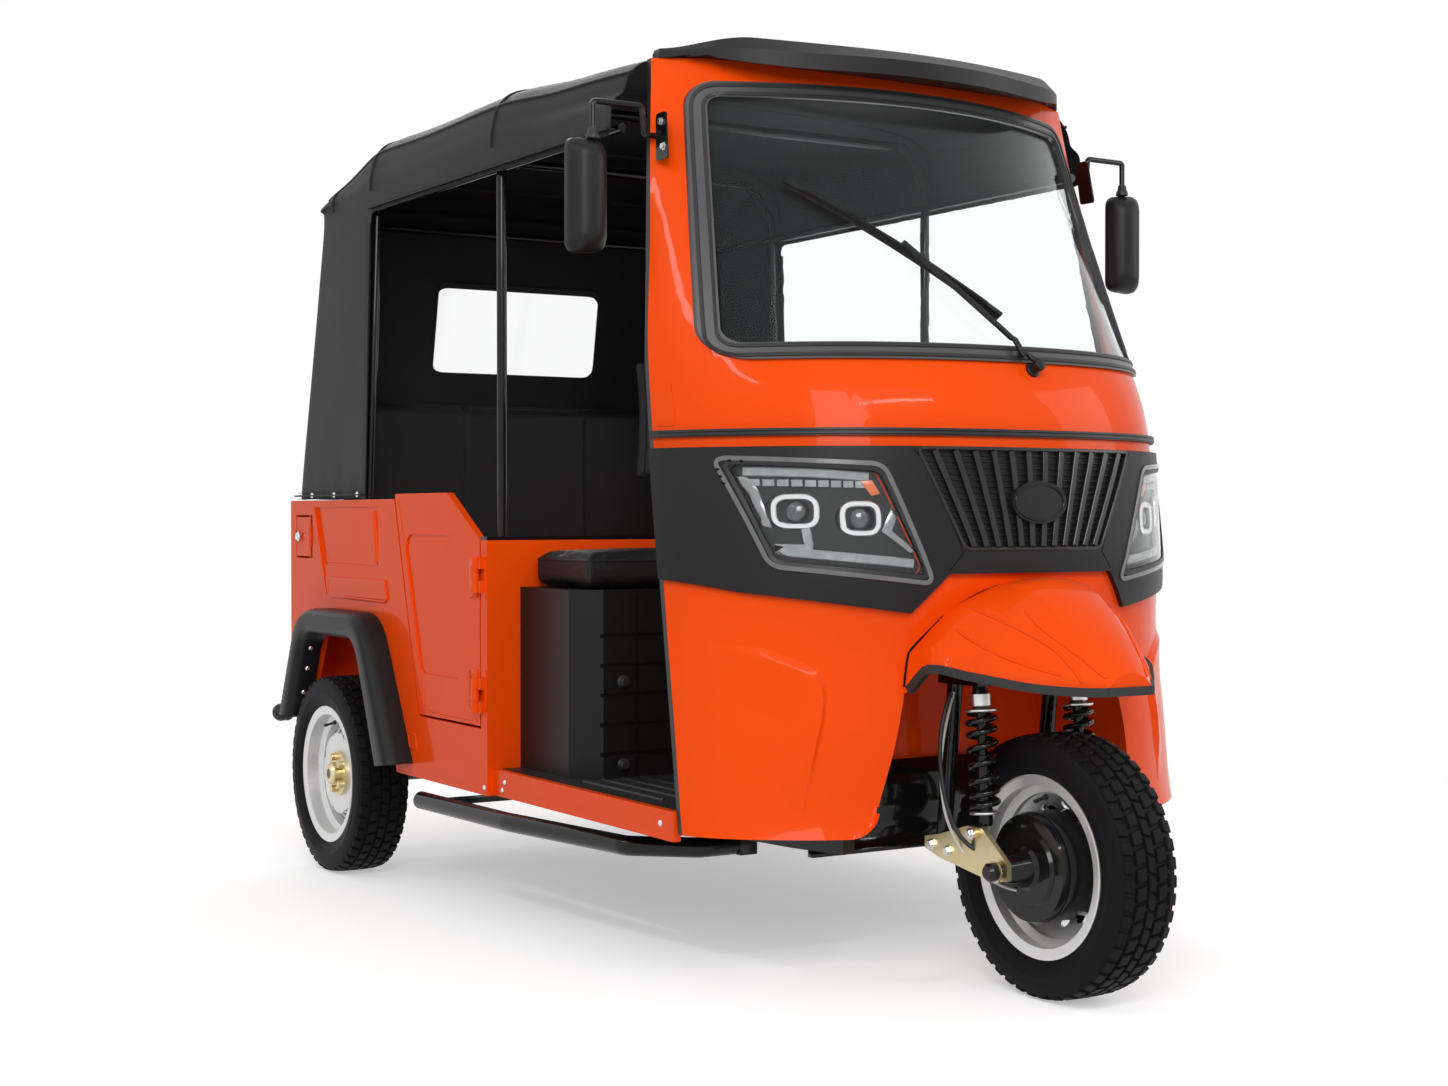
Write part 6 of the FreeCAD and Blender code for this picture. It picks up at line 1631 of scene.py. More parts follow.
    def fold(self, spot: Vector) -> Vector:
        """How far the cloth sags or folds at a place.

        Args:
            spot: The place on the taut sheet.

        Returns:
            The shift.
        """
        sag = 0.0
        for low, high in zip(self.bows, self.bows[1:]):
            if low <= spot.y < high:
                sag = self.sag * math.sin(math.pi * ((spot.y - low) / (high - low))) ** 2
        over = min(max((spot.z - self.edge) / 0.08, 0.0), 1.0)
        ripple = fold_noise(Vector((spot.x * 2.2, spot.y * 5.0, spot.z * 2.0))) * 0.0028
        shift = Vector((0.0, 0.0, -(sag + 0.0015) * over))
        centre = Vector((0.0, min(spot.y, 0.9), 1.35))
        out = (spot - centre).normalized()
        near_hem = max(0.0, 1.0 - abs(spot.z - self.hem) / 0.10) if spot.y > self.quarter else 0.0
        pucker = 0.0018 * math.sin((spot.x + spot.y) * 62.0) * near_hem
        vertical = fold_noise(Vector((spot.x * 7.0, spot.y * 7.0, spot.z * 1.2))) * 0.0022 * (1.0 - over)
        return shift + out * (ripple + pucker + vertical - 0.0035)

    def hem_line(self) -> list[Vector]:
        """The line of the hood's bottom edge.

        Returns:
            The line.
        """
        row = self.ring(self.hem_half + 0.0005, self.hem_rear + 0.0005, self.corner,
                        lambda y: self.hem_half + 0.0005, lambda x, y: self.hem + 0.012)
        return [p for p in row if p.y >= self.quarter]

    def flap_lines(self) -> list[list[Vector]]:
        """The lines of the roof's side edges ahead of the hood, and down the hood's front edges.

        Returns:
            The lines.
        """
        lines = []
        for side in SIDES:
            line = [Vector((side * (self.half - 0.0015), y, self.edge + 0.010)) for y in self.side_places(1.0)
                    if y <= self.quarter]
            down = []
            for share in [k / self.hood_rows for k in range(1, self.hood_rows + 1)]:
                x = self.half + (self.hem_half - self.half) * share - 0.001
                down.append(Vector((side * x, self.quarter + 0.010, self.edge + (self.hem - self.edge) * share)))
            lines += [line, down]
        return lines

    def welt_lines(self) -> list[list[Vector]]:
        """Piped seams over the roof at the bows, and along its shoulders.

        Returns:
            The lines.
        """
        lines = []
        for y in self.seams:
            line = []
            for a, u in self.profile()[2:]:
                rise, narrow = self.along(y)
                x = self.half * a * (1.0 if a in (0.0, 1.0) else narrow)
                line.append(Vector((x, y, self.edge + rise * u)))
            lines.append([p + self.fold(p) for p in line + mirrored(line[:-1])])
        for side in SIDES:
            line = []
            for y in self.side_places(1.04):
                rise, narrow = self.along(y)
                line.append(Vector((side * self.half * 0.965 * narrow, y, self.edge + rise * 0.70)))
            lines.append([p + self.fold(p) for p in line])
        return lines

    def stitches(self) -> Piece:
        """Two rows of stitches beside the hems and seams.

        Returns:
            The piece.
        """
        profile = [(-0.0022, 0.0), (-0.0016, 0.0005), (0.0, 0.00062), (0.0016, 0.0005), (0.0022, 0.0)]
        SmallParts.made["stitch_master"] = part = turned("stitch_master", profile, Vector(), ACROSS, THREAD, 6)
        places, headings = [], []
        for line, shift in [(self.hem_line(), 0.0085)] + [(row, 0.007) for row in self.flap_lines()]:
            for a, b in zip(line, line[1:]):
                run = b - a
                count = max(1, round(run.length / self.stitch))
                for k in range(count):
                    spot = a + run * ((k + 0.5) / count)
                    out = Vector((spot.x, 0.0, 0.0)).normalized() if abs(spot.x) > 0.55 else Vector((0, 1, 0))
                    up = out.cross(run).normalized()
                    for side in SIDES:
                        places.append((spot + up * (shift * side) + out * 0.0021, out))
                        headings.append(run)
        return studded("canopy_stitches", part, places, THREAD, headings=headings)

    def snaps(self) -> Piece:
        """The turn buttons that hold the hem to the body.

        Returns:
            The piece.
        """
        height = self.hem + 0.013
        places = [(Vector((side * 0.6212, y, height)), Vector((side, 0, 0)))
                  for y in (0.775, 0.930, 1.085, 1.165) for side in SIDES]
        places += [(Vector((x, self.hem_rear + 0.0022, height)), -AHEAD) for x in (-0.5, -0.3, -0.1, 0.1, 0.3, 0.5)]
        return studded("canopy_snaps", SmallParts.dome_screw(), places, BRIGHT_ZINC, 0.0072)

    def window_frame(self) -> Piece:
        """The sewn band round the rear window.

        Returns:
            The piece.
        """
        outline = rounded(plate(-0.262, 1.268, 0.262, 1.522), 0.05, 8)
        line = []
        for x, z in outline:
            share = (z - self.hem) / (self.edge - self.hem)
            line.append(Vector((x, self.hem_rear + (self.rear - self.hem_rear) * share - 0.0005, z)))
        return swept("rear_window_binding", [line], 0.030, CANVAS, height=0.004, closed=True)


def fold_noise(spot: Vector) -> float:
    """Slow noise between about minus one and one, the same at every run.

    Args:
        spot: The place.

    Returns:
        The noise.
    """
    value = 0.0
    for number, (a, b, c, phase) in enumerate(((1.0, 0.7, 0.4, 0.3), (-0.8, 1.3, 0.9, 1.7), (1.9, -1.1, 1.4, 2.9),
                                               (-2.3, 1.7, -0.6, 0.8), (3.1, 2.9, 2.2, 4.1))):
        value += math.sin(a * spot.x + b * spot.y + c * spot.z + phase) / (1 + number * 0.5)
    return value / 2.6


# seats


@dataclass(frozen=True)
class Pad:
    """A stuffed vinyl cushion in the space of one CAD node."""

    node: str
    body: str
    crown: Vector
    pull: float = 0.010
    swell: float = 0.010
    inset: float = 0.010
    voxel: float = 0.0060
    pressure: float = 4.0
    channels: tuple[float, ...] = ()
    frames: int = 20
    groove: Flat = (0.0075, 0.011)

    def build(self) -> None:
        """Stuff the cushion, pipe its edges and sew its channels."""
        low, high = (Vector(corner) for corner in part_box(self.node))
        cushion = self.form(low, high)
        self.inflate(cushion)
        self.settle(cushion, low, high)
        fit(cushion, self.body, self.node)
        fit(self.pipe(cushion, low, high), self.body)
        LOG.info("%s with %d faces", self.node, len(cushion.data.polygons))

    def form(self, low: Vector, high: Vector) -> Piece:
        """The starting shape, a little smaller than its space, with sides that pull in.

        Args:
            low: The node's lowest corner.
            high: The node's highest corner.

        Returns:
            The piece.
        """
        low = low + Vector((self.inset,) * 3)
        high = high - Vector((self.inset,) * 3)
        work = bmesh.new()
        bmesh.ops.create_cube(work, size=1.0)
        size = high - low
        middle = (high + low) / 2
        for vertex in work.verts:
            vertex.co = Vector((vertex.co.x * size.x, vertex.co.y * size.y, vertex.co.z * size.z)) + middle
        depth = min(size)
        bmesh.ops.bevel(work, geom=work.edges[:], offset=depth * 0.26, segments=4, profile=0.6, affect="EDGES")
        piece = from_work(f"{self.node}_cover", work, SEAT_VINYL)
        remesh = piece.modifiers.new("even", "REMESH")
        remesh.mode = "VOXEL"
        remesh.voxel_size = self.voxel
        bake(piece)
        return piece

    def inflate(self, piece: Piece) -> None:
        """Blow the cover up with the cloth solver and keep the capped result.

        Args:
            piece: The cushion.
        """
        rest = [v.co.copy() for v in piece.data.vertices]
        cloth = piece.modifiers.new("stuffing", "CLOTH")
        cloth.settings.use_pressure = True
        cloth.settings.uniform_pressure_force = self.pressure
        cloth.settings.effector_weights.gravity = 0.0
        cloth.settings.quality = 5
        cloth.settings.tension_stiffness = 18.0
        cloth.point_cache.frame_start = 1
        cloth.point_cache.frame_end = self.frames
        scene = bpy.context.scene
        for number in range(1, self.frames + 1):
            scene.frame_set(number)
        bake(piece)
        scene.frame_set(1)
        for vertex, start in zip(piece.data.vertices, rest):
            move = vertex.co - start
            if move.length > self.swell:
                vertex.co = start + move.normalized() * self.swell

    def axes(self) -> tuple[int, list[int]]:
        """The number of the axis that the crowned face looks along, and the other two."""
        face = max(range(3), key=lambda axis: abs(self.crown[axis]))
        return face, [axis for axis in range(3) if axis != face]

    def settle(self, piece: Piece, low: Vector, high: Vector) -> None:
        """Pull the corners in, press the sewn channels, keep inside the node's space, and smooth.

        Args:
            piece: The cushion.
            low: The node's lowest corner.
            high: The node's highest corner.
        """
        middle, half = (low + high) / 2, (high - low) / 2
        face, flat = self.axes()
        for vertex in piece.data.vertices:
            spot = vertex.co
            shares = [(spot[axis] - middle[axis]) / half[axis] for axis in range(3)]
            for axis, other in (flat, flat[::-1]):
                bow = 1.0 - shares[other] ** 2
                if abs(shares[axis]) > 0.7:
                    spot[axis] -= math.copysign(self.pull * bow * (abs(shares[axis]) - 0.7) / 0.3, shares[axis])
            outer = shares[face] * math.copysign(1.0, self.crown[face])
            if outer > 0.2:
                edge = max(abs(shares[axis]) for axis in flat)
                spot[face] -= math.copysign(0.006 * max(0.0, edge - 0.55) ** 1.5 / 0.3, self.crown[face])
                depth, width = self.groove
                for channel in self.channels:
                    away = abs(spot.x - (middle.x + half.x * channel))
                    press = depth * math.exp(-((away / width) ** 2))
                    spot[face] -= math.copysign(press * min(1.0, (outer - 0.2) / 0.4), self.crown[face])
            wrinkle = fold_noise(Vector((spot.x * 21.0, spot.y * 23.0, spot.z * 19.0))) * 0.0009
            spot[face] += wrinkle - 0.0006
            for axis in range(3):
                spot[axis] = min(max(spot[axis], low[axis] + 0.0006), high[axis] - 0.0006)
        smooth = piece.modifiers.new("smooth", "SUBSURF")
        smooth.levels = smooth.render_levels = 1
        bake(piece)
        tidy_mesh(piece, 1e-6, None)
        all_smooth(piece)

    def pipe(self, piece: Piece, low: Vector, high: Vector) -> Piece:
        """The piped seam round the crowned face, laid on the cover.

        Args:
            piece: The finished cushion.
            low: The node's lowest corner.
            high: The node's highest corner.

        Returns:
            The piping.
        """
        tree = Skin([piece]).tree
        middle, half = (low + high) / 2, (high - low) / 2
        face, flat = self.axes()
        corner = min(half[flat[0]], half[flat[1]], 0.05)
        wide, long = (half[axis] for axis in flat)
        ring = rounded(plate(-wide, -long, wide, long), corner, 5)
        target = middle.copy()
        target[face] += math.copysign(half[face] * 0.42, self.crown[face])
        line = []
        for shifts in resample([*ring, ring[0]], 0.012)[:-1]:
            start = target.copy()
            for axis, shift in zip(flat, shifts):
                start[axis] += shift * 1.2
            spot, normal, _, _ = tree.ray_cast(start, (target - start).normalized())
            if spot is not None:
                line.append(spot - normal * 0.0004)
        return swept(f"{self.node}_piping", [line], 0.0062, SEAT_VINYL, sides=8, closed=True)


# front of the cab


def fit_all(pieces: Iterable[Piece], body: str = "root") -> None:
    """Let pieces that stand for no CAD node ride on a body."""
    for piece in pieces:
        fit(piece, body)


@dataclass
class Headlamps:
    """What shows behind the clear lenses: light guides, projectors and the silver frame."""

    skin: Skin
    rim: Skin
    eyes: tuple[Flat, ...] = ((0.448, 0.898), (0.352, 0.885))
    eye_radius: float = 0.0225
    prisms: int = 9
    pip_radius: float = 0.0022

    def build(self) -> None:
        """Make both lamps' inner parts."""
        fit_all(self.strips())
        fit_all(self.plates())
        fit_all([self.projectors()])
        LOG.info("headlamps with %d projectors", len(self.eyes) * 2)

    def strips(self) -> list[Piece]:
        """The light guides, the bright rings, and the rings that lie on each lamp's edge.

        Returns:
            The pieces.
        """
        upper = ((0.512, 0.972), (0.42, 0.9685), (0.338, 0.961))
        lower = ((0.510, 0.872), (0.503, 0.850), (0.488, 0.834), (0.455, 0.823), (0.400, 0.817), (0.262, 0.802))
        rings = [rounded(plate(x - 0.029, z - 0.027, x + 0.029, z + 0.027), 0.021) for x, z in self.eyes]
        gasket = rounded([(0.535, 0.990), (0.320, 0.975), (0.234, 0.776), (0.478, 0.803)], 0.017)
        frame = rounded([(0.5465, 0.9972), (0.3150, 0.9838), (0.2262, 0.7655), (0.4840, 0.7972)], 0.020)
        wall = rounded([(0.5325, 0.988), (0.3213, 0.973), (0.2368, 0.7782), (0.4793, 0.8053)], 0.016)
        return [
            ribbon("headlamp_light_guides", self.skin, both(upper, lower), 0.017, -0.004, 0.0075, LIGHT_GUIDE),
            ribbon("headlamp_bezels", self.skin, both(*rings), 0.0115, -0.004, 0.0080, CHROME, True, 0.006),
            ribbon("headlamp_gaskets", self.rim, both(gasket), 0.0090, -0.0008, 0.0028, BLACK_RUBBER, True),
            ribbon("headlamp_surrounds", self.rim, both(frame), 0.0090, 0.0004, 0.0026, LAMP_FRAME, True, 0.008),
            ribbon("headlamp_trays", self.rim, both(wall), 0.0090, -0.0170, 0.0125, JOINT_BLACK, True),
        ]

    def plates(self) -> list[Piece]:
        """The prisms under the upper guide, the silver surrounds, the amber reflectors and the pips.

        Returns:
            The pieces.
        """
        blocks = []
        for number in range(self.prisms):
            x, z = 0.500 - number * 0.0185, 0.9515 - number * 0.0006
            blocks.append(plate(x - 0.0075, z - 0.006, x + 0.0075, z + 0.006))
        outer = [(0.522, 0.962), (0.505, 0.925), (0.492, 0.872), (0.480, 0.868), (0.496, 0.940), (0.508, 0.962)]
        inner = [(0.300, 0.905), (0.318, 0.862), (0.268, 0.822), (0.258, 0.826), (0.300, 0.862), (0.286, 0.900)]
        tint = [(0.333, 0.955), (0.320, 0.930), (0.334, 0.926), (0.352, 0.953)]
        pips = [[(x + self.pip_radius * math.cos(t), z + self.pip_radius * math.sin(t)) for t in around(10)] for x, z in
                ((0.5405, 0.975), (0.5375, 0.962), (0.5345, 0.949), (0.526, 0.991), (0.512, 0.9905))]
        return [
            patch("headlamp_prisms", self.skin, both(*blocks), -0.003, 0.006, LIGHT_GUIDE, 0.05, 0.0018),
            patch("headlamp_silver_frames", self.skin, both(outer, inner), -0.004, 0.006, LAMP_SILVER, 0.012, 0.002),
            patch("headlamp_amber", self.skin, both(tint), -0.003, 0.007, LAMP_AMBER, 0.01, 0.0015),
            patch("headlamp_pips", self.rim, both(*pips), 0.0032, 0.0008, JOINT_BLACK, 0.05),
        ]

    def projectors(self) -> Piece:
        """The domed projector lenses, each on its ring.

        Returns:
            The piece.
        """
        made = []
        profile = [(0.0, 0.0), (0.0, 0.0245), (0.006, 0.0245), (0.0065, self.eye_radius)]
        profile += [(0.0065 + 0.0135 * math.sin(t), self.eye_radius * math.cos(t)) for t in
                    [math.pi / 2 * k / 10 for k in range(1, 10)]] + [(0.020, 0.0)]
        for side in SIDES:
            for x, z in self.eyes:
                spot, normal = self.skin.smooth_front(side * x, z)
                made.append(turned("headlamp_eye", profile, spot - normal * 0.020, normal, PROJECTOR_GLASS, 40))
        return join_pieces("headlamp_projectors", made, PROJECTOR_GLASS)


@dataclass
class FrontTrim:
    """Grille fins, the badge's rim, belt lips, band seams, and beads round the screen and the mudguard."""

    skin: Skin
    band: Skin
    grille_foot: Flat = (0.829, 0.160)
    grille_head: Flat = (0.184, 0.250)
    fins: int = 15
    ribs: int = 12
    # the mudguard's edge: shares of its length and of its half width, and of its rise
    guard_rows: tuple[Spot, ...] = (
        (0.00, 1.00, 0.00), (0.18, 0.98, 0.30), (0.42, 0.90, 0.95), (0.68, 0.72, 1.00), (0.88, 0.50, 0.95),
        (1.00, 0.34, 0.90),
    )

    def build(self) -> None:
        """Make every trim piece."""
        fit_all(self.strips())
        fit_all([self.guard_edge(), self.pillar_plates()])
        LOG.info("front trim")

    def grille_half(self, z: float) -> float:
        """Half the grille's width at a height.

        Args:
            z: The height.

        Returns:
            The half width.
        """
        foot, half = self.grille_foot
        rise, top = self.grille_head
        return half + (top - half) * (z - foot) / rise

    def rib_runs(self) -> list[list[Flat]]:
        """The broad faces of the upright ribs, left open at the badge.

        Returns:
            The paths.
        """
        paths = []
        for number in range(self.ribs):
            share = (2 * number - 11) / 12.4
            run: list[Flat] = []
            for step in range(41):
                z = 0.8335 + (1.0085 - 0.8335) * step / 40
                x = self.grille_half(z) * share
                clear = (x / 0.061) ** 2 + ((z - 0.915) / 0.037) ** 2 > 1.0
                if clear:
                    run.append((x, z))
                elif len(run) > 1:
                    paths.append(run)
                if not clear:
                    run = []
            if len(run) > 1:
                paths.append(run)
        return paths

    def strips(self) -> list[Piece]:
        """The grille's fins, ribs and rim, the badge's rim, the belt's lips, the joints and the screen's beads.

        Returns:
            The pieces.
        """
        fins = []
        for z in [0.8425 + number * 0.0113 for number in range(self.fins)]:
            half = self.grille_half(z) - 0.006
            fins.append([(-half, z), (half, z)])
        rim = rounded([(0.251, 1.0125), (0.162, 0.8285), (-0.162, 0.8285), (-0.251, 1.0125)], 0.012, 4)
        oval = [(0.058 * math.cos(t), 0.915 + 0.0335 * math.sin(t)) for t in around(48)]
        belt = [[(-0.585, z), (0.585, z)] for z in (1.0402, 1.0470)]
        joint = ((0.262, 1.010), (0.235, 0.985), (0.168, 0.822), (0.196, 0.788))
        screen = []
        for inset in (0.008, 0.026):
            foot, head, low, high = 0.541 - inset, 0.474 - inset, 1.180 + inset, 1.738 - inset
            screen.append(rounded([(foot, low), (head, high), (-head, high), (-foot, low)], 0.058 - inset, 8))
        skin, band = self.skin, self.band
        return [
            ribbon("grille_fins", skin, fins, 0.0040, 0.0040, 0.0040, BLACK_PLASTIC, step=0.02),
            ribbon("grille_rib_caps", skin, self.rib_runs(), 0.0120, 0.0105, 0.0050, GRILLE_GLOSS, step=0.02),
            ribbon("grille_rim", skin, [rim], 0.0065, 0.0100, 0.0048, GRILLE_GLOSS, True, 0.02),
            ribbon("badge_rim", skin, [oval], 0.0055, 0.0205, 0.0028, BLACK_PAINT, True, 0.01),
            ribbon("belt_strip_lips", skin, belt, 0.0046, 0.0072, 0.0034, BLACK_RUBBER, step=0.014),
            ribbon("band_panel_joints", band, both(joint), 0.0022, -0.0001, 0.0004, JOINT_BLACK),
            ribbon("windscreen_rubber_lips", band, screen, 0.0075, -0.0003, 0.0028, BLACK_RUBBER, True),
        ]

    def guard_edge(self) -> Piece:
        """The black rubber bead pressed on the mudguard's edge, from side to side round the tip.

        Returns:
            The piece.
        """
        half = [(0.262 * wide, behind(0.175) - 0.400 * along, 0.562 + 0.026 * drop)
                for along, wide, drop in self.guard_rows]
        left = smooth_path([(-x, y, z) for x, y, z in half])
        x, y, z = half[-1]
        nose = [Vector((-x + 0.012, y - 0.0006, z)), Vector((x - 0.012, y - 0.0006, z))]
        left[-1] += Vector((0.004, 0.006, 0))
        line = [p + Vector((0, 0, 0.002)) for p in left + nose + mirrored(left)]
        line = [BEAK.place(Vector((p.x * 0.994, p.y, p.z))) for p in line if p.y < -0.995]
        return swept("mudguard_rubber_edge", [line], 0.0125, BLACK_RUBBER, height=0.016)

    def pillar_plates(self) -> Piece:
        """Small plates at the foot of each screen pillar."""
        shape = rounded([(0.572, 1.058), (0.588, 1.058), (0.584, 1.150), (0.570, 1.150)], 0.005, 3)
        return patch("pillar_plates", self.skin, both(shape), 0.0002, 0.0022, PAINT, 0.02, 0.0012)


def mirrored(line: Row) -> list[Vector]:
    """A line's mirror image across the middle plane, run backwards."""
    return [Vector((-p.x, p.y, p.z)) for p in reversed(line)]


# running gear


@dataclass
class FrontSuspension:
    """Coil springs, dampers, bolts, the brake hose and the cable of the steered wheel."""

    top: Spot = (0.118, -1.028, 0.575)
    foot: Spot = (0.118, -1.048, 0.316)
    turns: float = 7.2
    turn_steps: int = 20
    coil: float = 0.0245
    wire: float = 0.0116
    # (share of the damper's length, radius)
    damper: tuple[Flat, ...] = (
        (0.0, 0.0), (0.0, 0.011), (0.03, 0.0135), (0.50, 0.0135), (0.505, 0.0090), (0.80, 0.0090), (0.805, 0.0150),
        (0.955, 0.0150), (1.0, 0.0125), (1.0, 0.0),
    )
    # the spring seats and the rod's nut: start, radius, end
    collars: tuple[Spot, ...] = ((0.085, 0.0300, 0.108), (0.812, 0.0300, 0.834), (0.850, 0.0195, 0.945))

    def build(self) -> None:
        """Make both legs' parts, the nuts, the hose and the cable."""
        fit(self.springs(), "steering", "shock_absorbers")
        fit_all([*self.legs(), self.bolts(), self.nuts()], "steering")
        # from under the mudguard to the brake plate
        held_line("front_brake_hose", (
            (-0.150, -0.985, 0.560), (-0.170, -0.984, 0.520), (-0.182, -0.988, 0.440), (-0.178, -1.005, 0.350),
            (-0.160, -1.030, 0.285), (-0.120, -1.070, 0.262), (-0.086, -1.094, 0.262)), 0.0085, BLACK_RUBBER,
            "steering")
        held_line("front_brake_cable", (
            (-0.136, -0.975, 0.560), (-0.150, -0.965, 0.500), (-0.163, -0.965, 0.400), (-0.160, -0.985, 0.310),
            (-0.135, -1.030, 0.240), (-0.105, -1.075, 0.205), (-0.080, -1.100, 0.200)), 0.0055, WHITE_CABLE,
            "steering")
        LOG.info("front suspension")

    def line(self, side: int, share: float) -> Vector:
        """A point on a damper's axis, from its foot to its top."""
        low = Vector((self.foot[0] * side, *self.foot[1:]))
        return low + (Vector((self.top[0] * side, *self.top[1:])) - low) * share

    def springs(self) -> Piece:
        """The two coil springs, closed up at their ends.

        Returns:
            The piece.
        """
        paths = []
        for side in SIDES:
            low, high = self.line(side, 0.12), self.line(side, 0.80)
            axis = (high - low).normalized()
            across = axis.orthogonal().normalized()
            other = axis.cross(across)
            path = []
            count = int(self.turns * self.turn_steps)
            for t in [k / count for k in range(count + 1)]:
                rise = t - 0.045 * math.sin(2 * math.pi * t)
                angle = 2 * math.pi * self.turns * t
                out = across * math.cos(angle) + other * math.sin(angle)
                path.append(low + (high - low) * rise + out * self.coil)
            paths.append(path)
        return swept("front_springs", paths, self.wire, BLACK_PAINT)

    def legs(self) -> list[Piece]:
        """The damper bodies with their covers, and the bright collars round them.

        Returns:
            The pieces.
        """
        dampers, rings = [], []
        for side in SIDES:
            start = self.line(side, 0.0)
            axis = self.line(side, 1.0) - start
            long = axis.length
            body = [(share * long, radius) for share, radius in self.damper]
            dampers.append(turned("front_damper", body, start, axis, BLACK_PAINT, 32))
            for low, radius, high in self.collars:
                ring = [(low, 0.0), (low, radius * 0.94), (low + 0.006, radius), (high - 0.006, radius),
                        (high, radius * 0.92), (high, 0.0)]
                ring = [(share * long, reach) for share, reach in ring]
                rings.append(turned("spring_collar", ring, start, axis, BRIGHT_ZINC, 36))
        return [join_pieces("front_dampers", dampers, BLACK_PAINT),
                join_pieces("front_spring_collars", rings, BRIGHT_ZINC)]

    def bolts(self) -> Piece:
        """Hexagon bolts at the link pivots and the damper feet."""
        spots = ((0.1455, behind(0.200), 0.268), (0.1540, behind(0.072), 0.305), (0.1455, behind(0.150), 0.262))
        return studded("front_link_bolts", SmallParts.hex_bolt(), outward(*spots), BRIGHT_ZINC, 0.0085)

    def nuts(self) -> Piece:
        """The large axle nuts on their washers."""
        spots = outward((0.1545, FRONT_AXLE, AXLE_HEIGHT))
        return studded("front_axle_nuts", SmallParts.hex_bolt(), spots, GOLD_ZINC, 0.0155)


def outward(*spots: Spot) -> list[tuple[Vector, Vector]]:
    """Places on both sides of the vehicle, each facing away from the middle."""
    return [(Vector((side * x, y, z)), Vector((side, 0, 0))) for side in SIDES for x, y, z in spots]


def held_line(name: str, route: Sequence[Spot], diameter: float, finish: Finish, body: str) -> None:
    """Make a hose or cable held at both ends, on one smooth curve.

    Args:
        name: The piece's name.
        route: The curve's control points.
        diameter: The diameter.
        finish: The finish.
        body: The body it moves with.
    """
    data = bpy.data.curves.new(name, "CURVE")
    data.dimensions = "3D"
    spline = data.splines.new("NURBS")
    spline.points.add(len(route) - 1)
    for point, place in zip(spline.points, route):
        point.co = (*place, 1.0)
    spline.order_u = 3
    spline.use_endpoint_u = True
    data.resolution_u = 16
    data.bevel_depth = diameter / 2
    data.bevel_resolution = 4
    data.use_fill_caps = True
    piece = show(name, data)
    data.materials.append(finish.material())
    piece["finish"] = finish.name
    fit(piece, body)


@dataclass
class Wiper:
    """The wiper's capped pivot, tapered arm and sprung blade."""

    skin: Skin
    glass: Skin
    hub: Flat = (0.030, 1.166)

    def build(self) -> None:
        """Make the wiper's parts."""
        arm = [self.hub, (-0.021, 1.224), (-0.121, 1.337), (-0.176, 1.399)]
        blade = [(-0.012, 1.2635), (-0.348, 1.5235)]
        yokes = [[tuple(a + (b - a) * share for a, b in zip(*blade)) for share in span]
                 for span in ((0.08, 0.46), (0.54, 0.92), (0.27, 0.73))]
        fit(self.pivot(), "root", "wiper")
        fit_all([
            ribbon("wiper_arm", self.skin, [arm], 0.0115, 0.0190, 0.0062, BLACK_PAINT),
            ribbon("wiper_rubber", self.glass, [blade], 0.0042, 0.0004, 0.0170, BLACK_RUBBER),
            ribbon("wiper_spine", self.glass, [blade], 0.0100, 0.0165, 0.0036, BLACK_PAINT),
            ribbon("wiper_yokes", self.glass, yokes, 0.0062, 0.0195, 0.0034, BLACK_PAINT),
        ])
        LOG.info("wiper")

    def pivot(self) -> Piece:
        """The domed cap over the spindle.

        Returns:
            The piece.
        """
        profile = [(-0.002, 0.0), (-0.002, 0.0150), (0.004, 0.0150), (0.006, 0.0110), (0.018, 0.0105), (0.0185, 0.0125),
                   (0.027, 0.0120), (0.0295, 0.0085), (0.0295, 0.0)]
        return turned("wiper_pivot_cap", profile, *self.skin.smooth_front(*self.hub), BLACK_PLASTIC, 32)


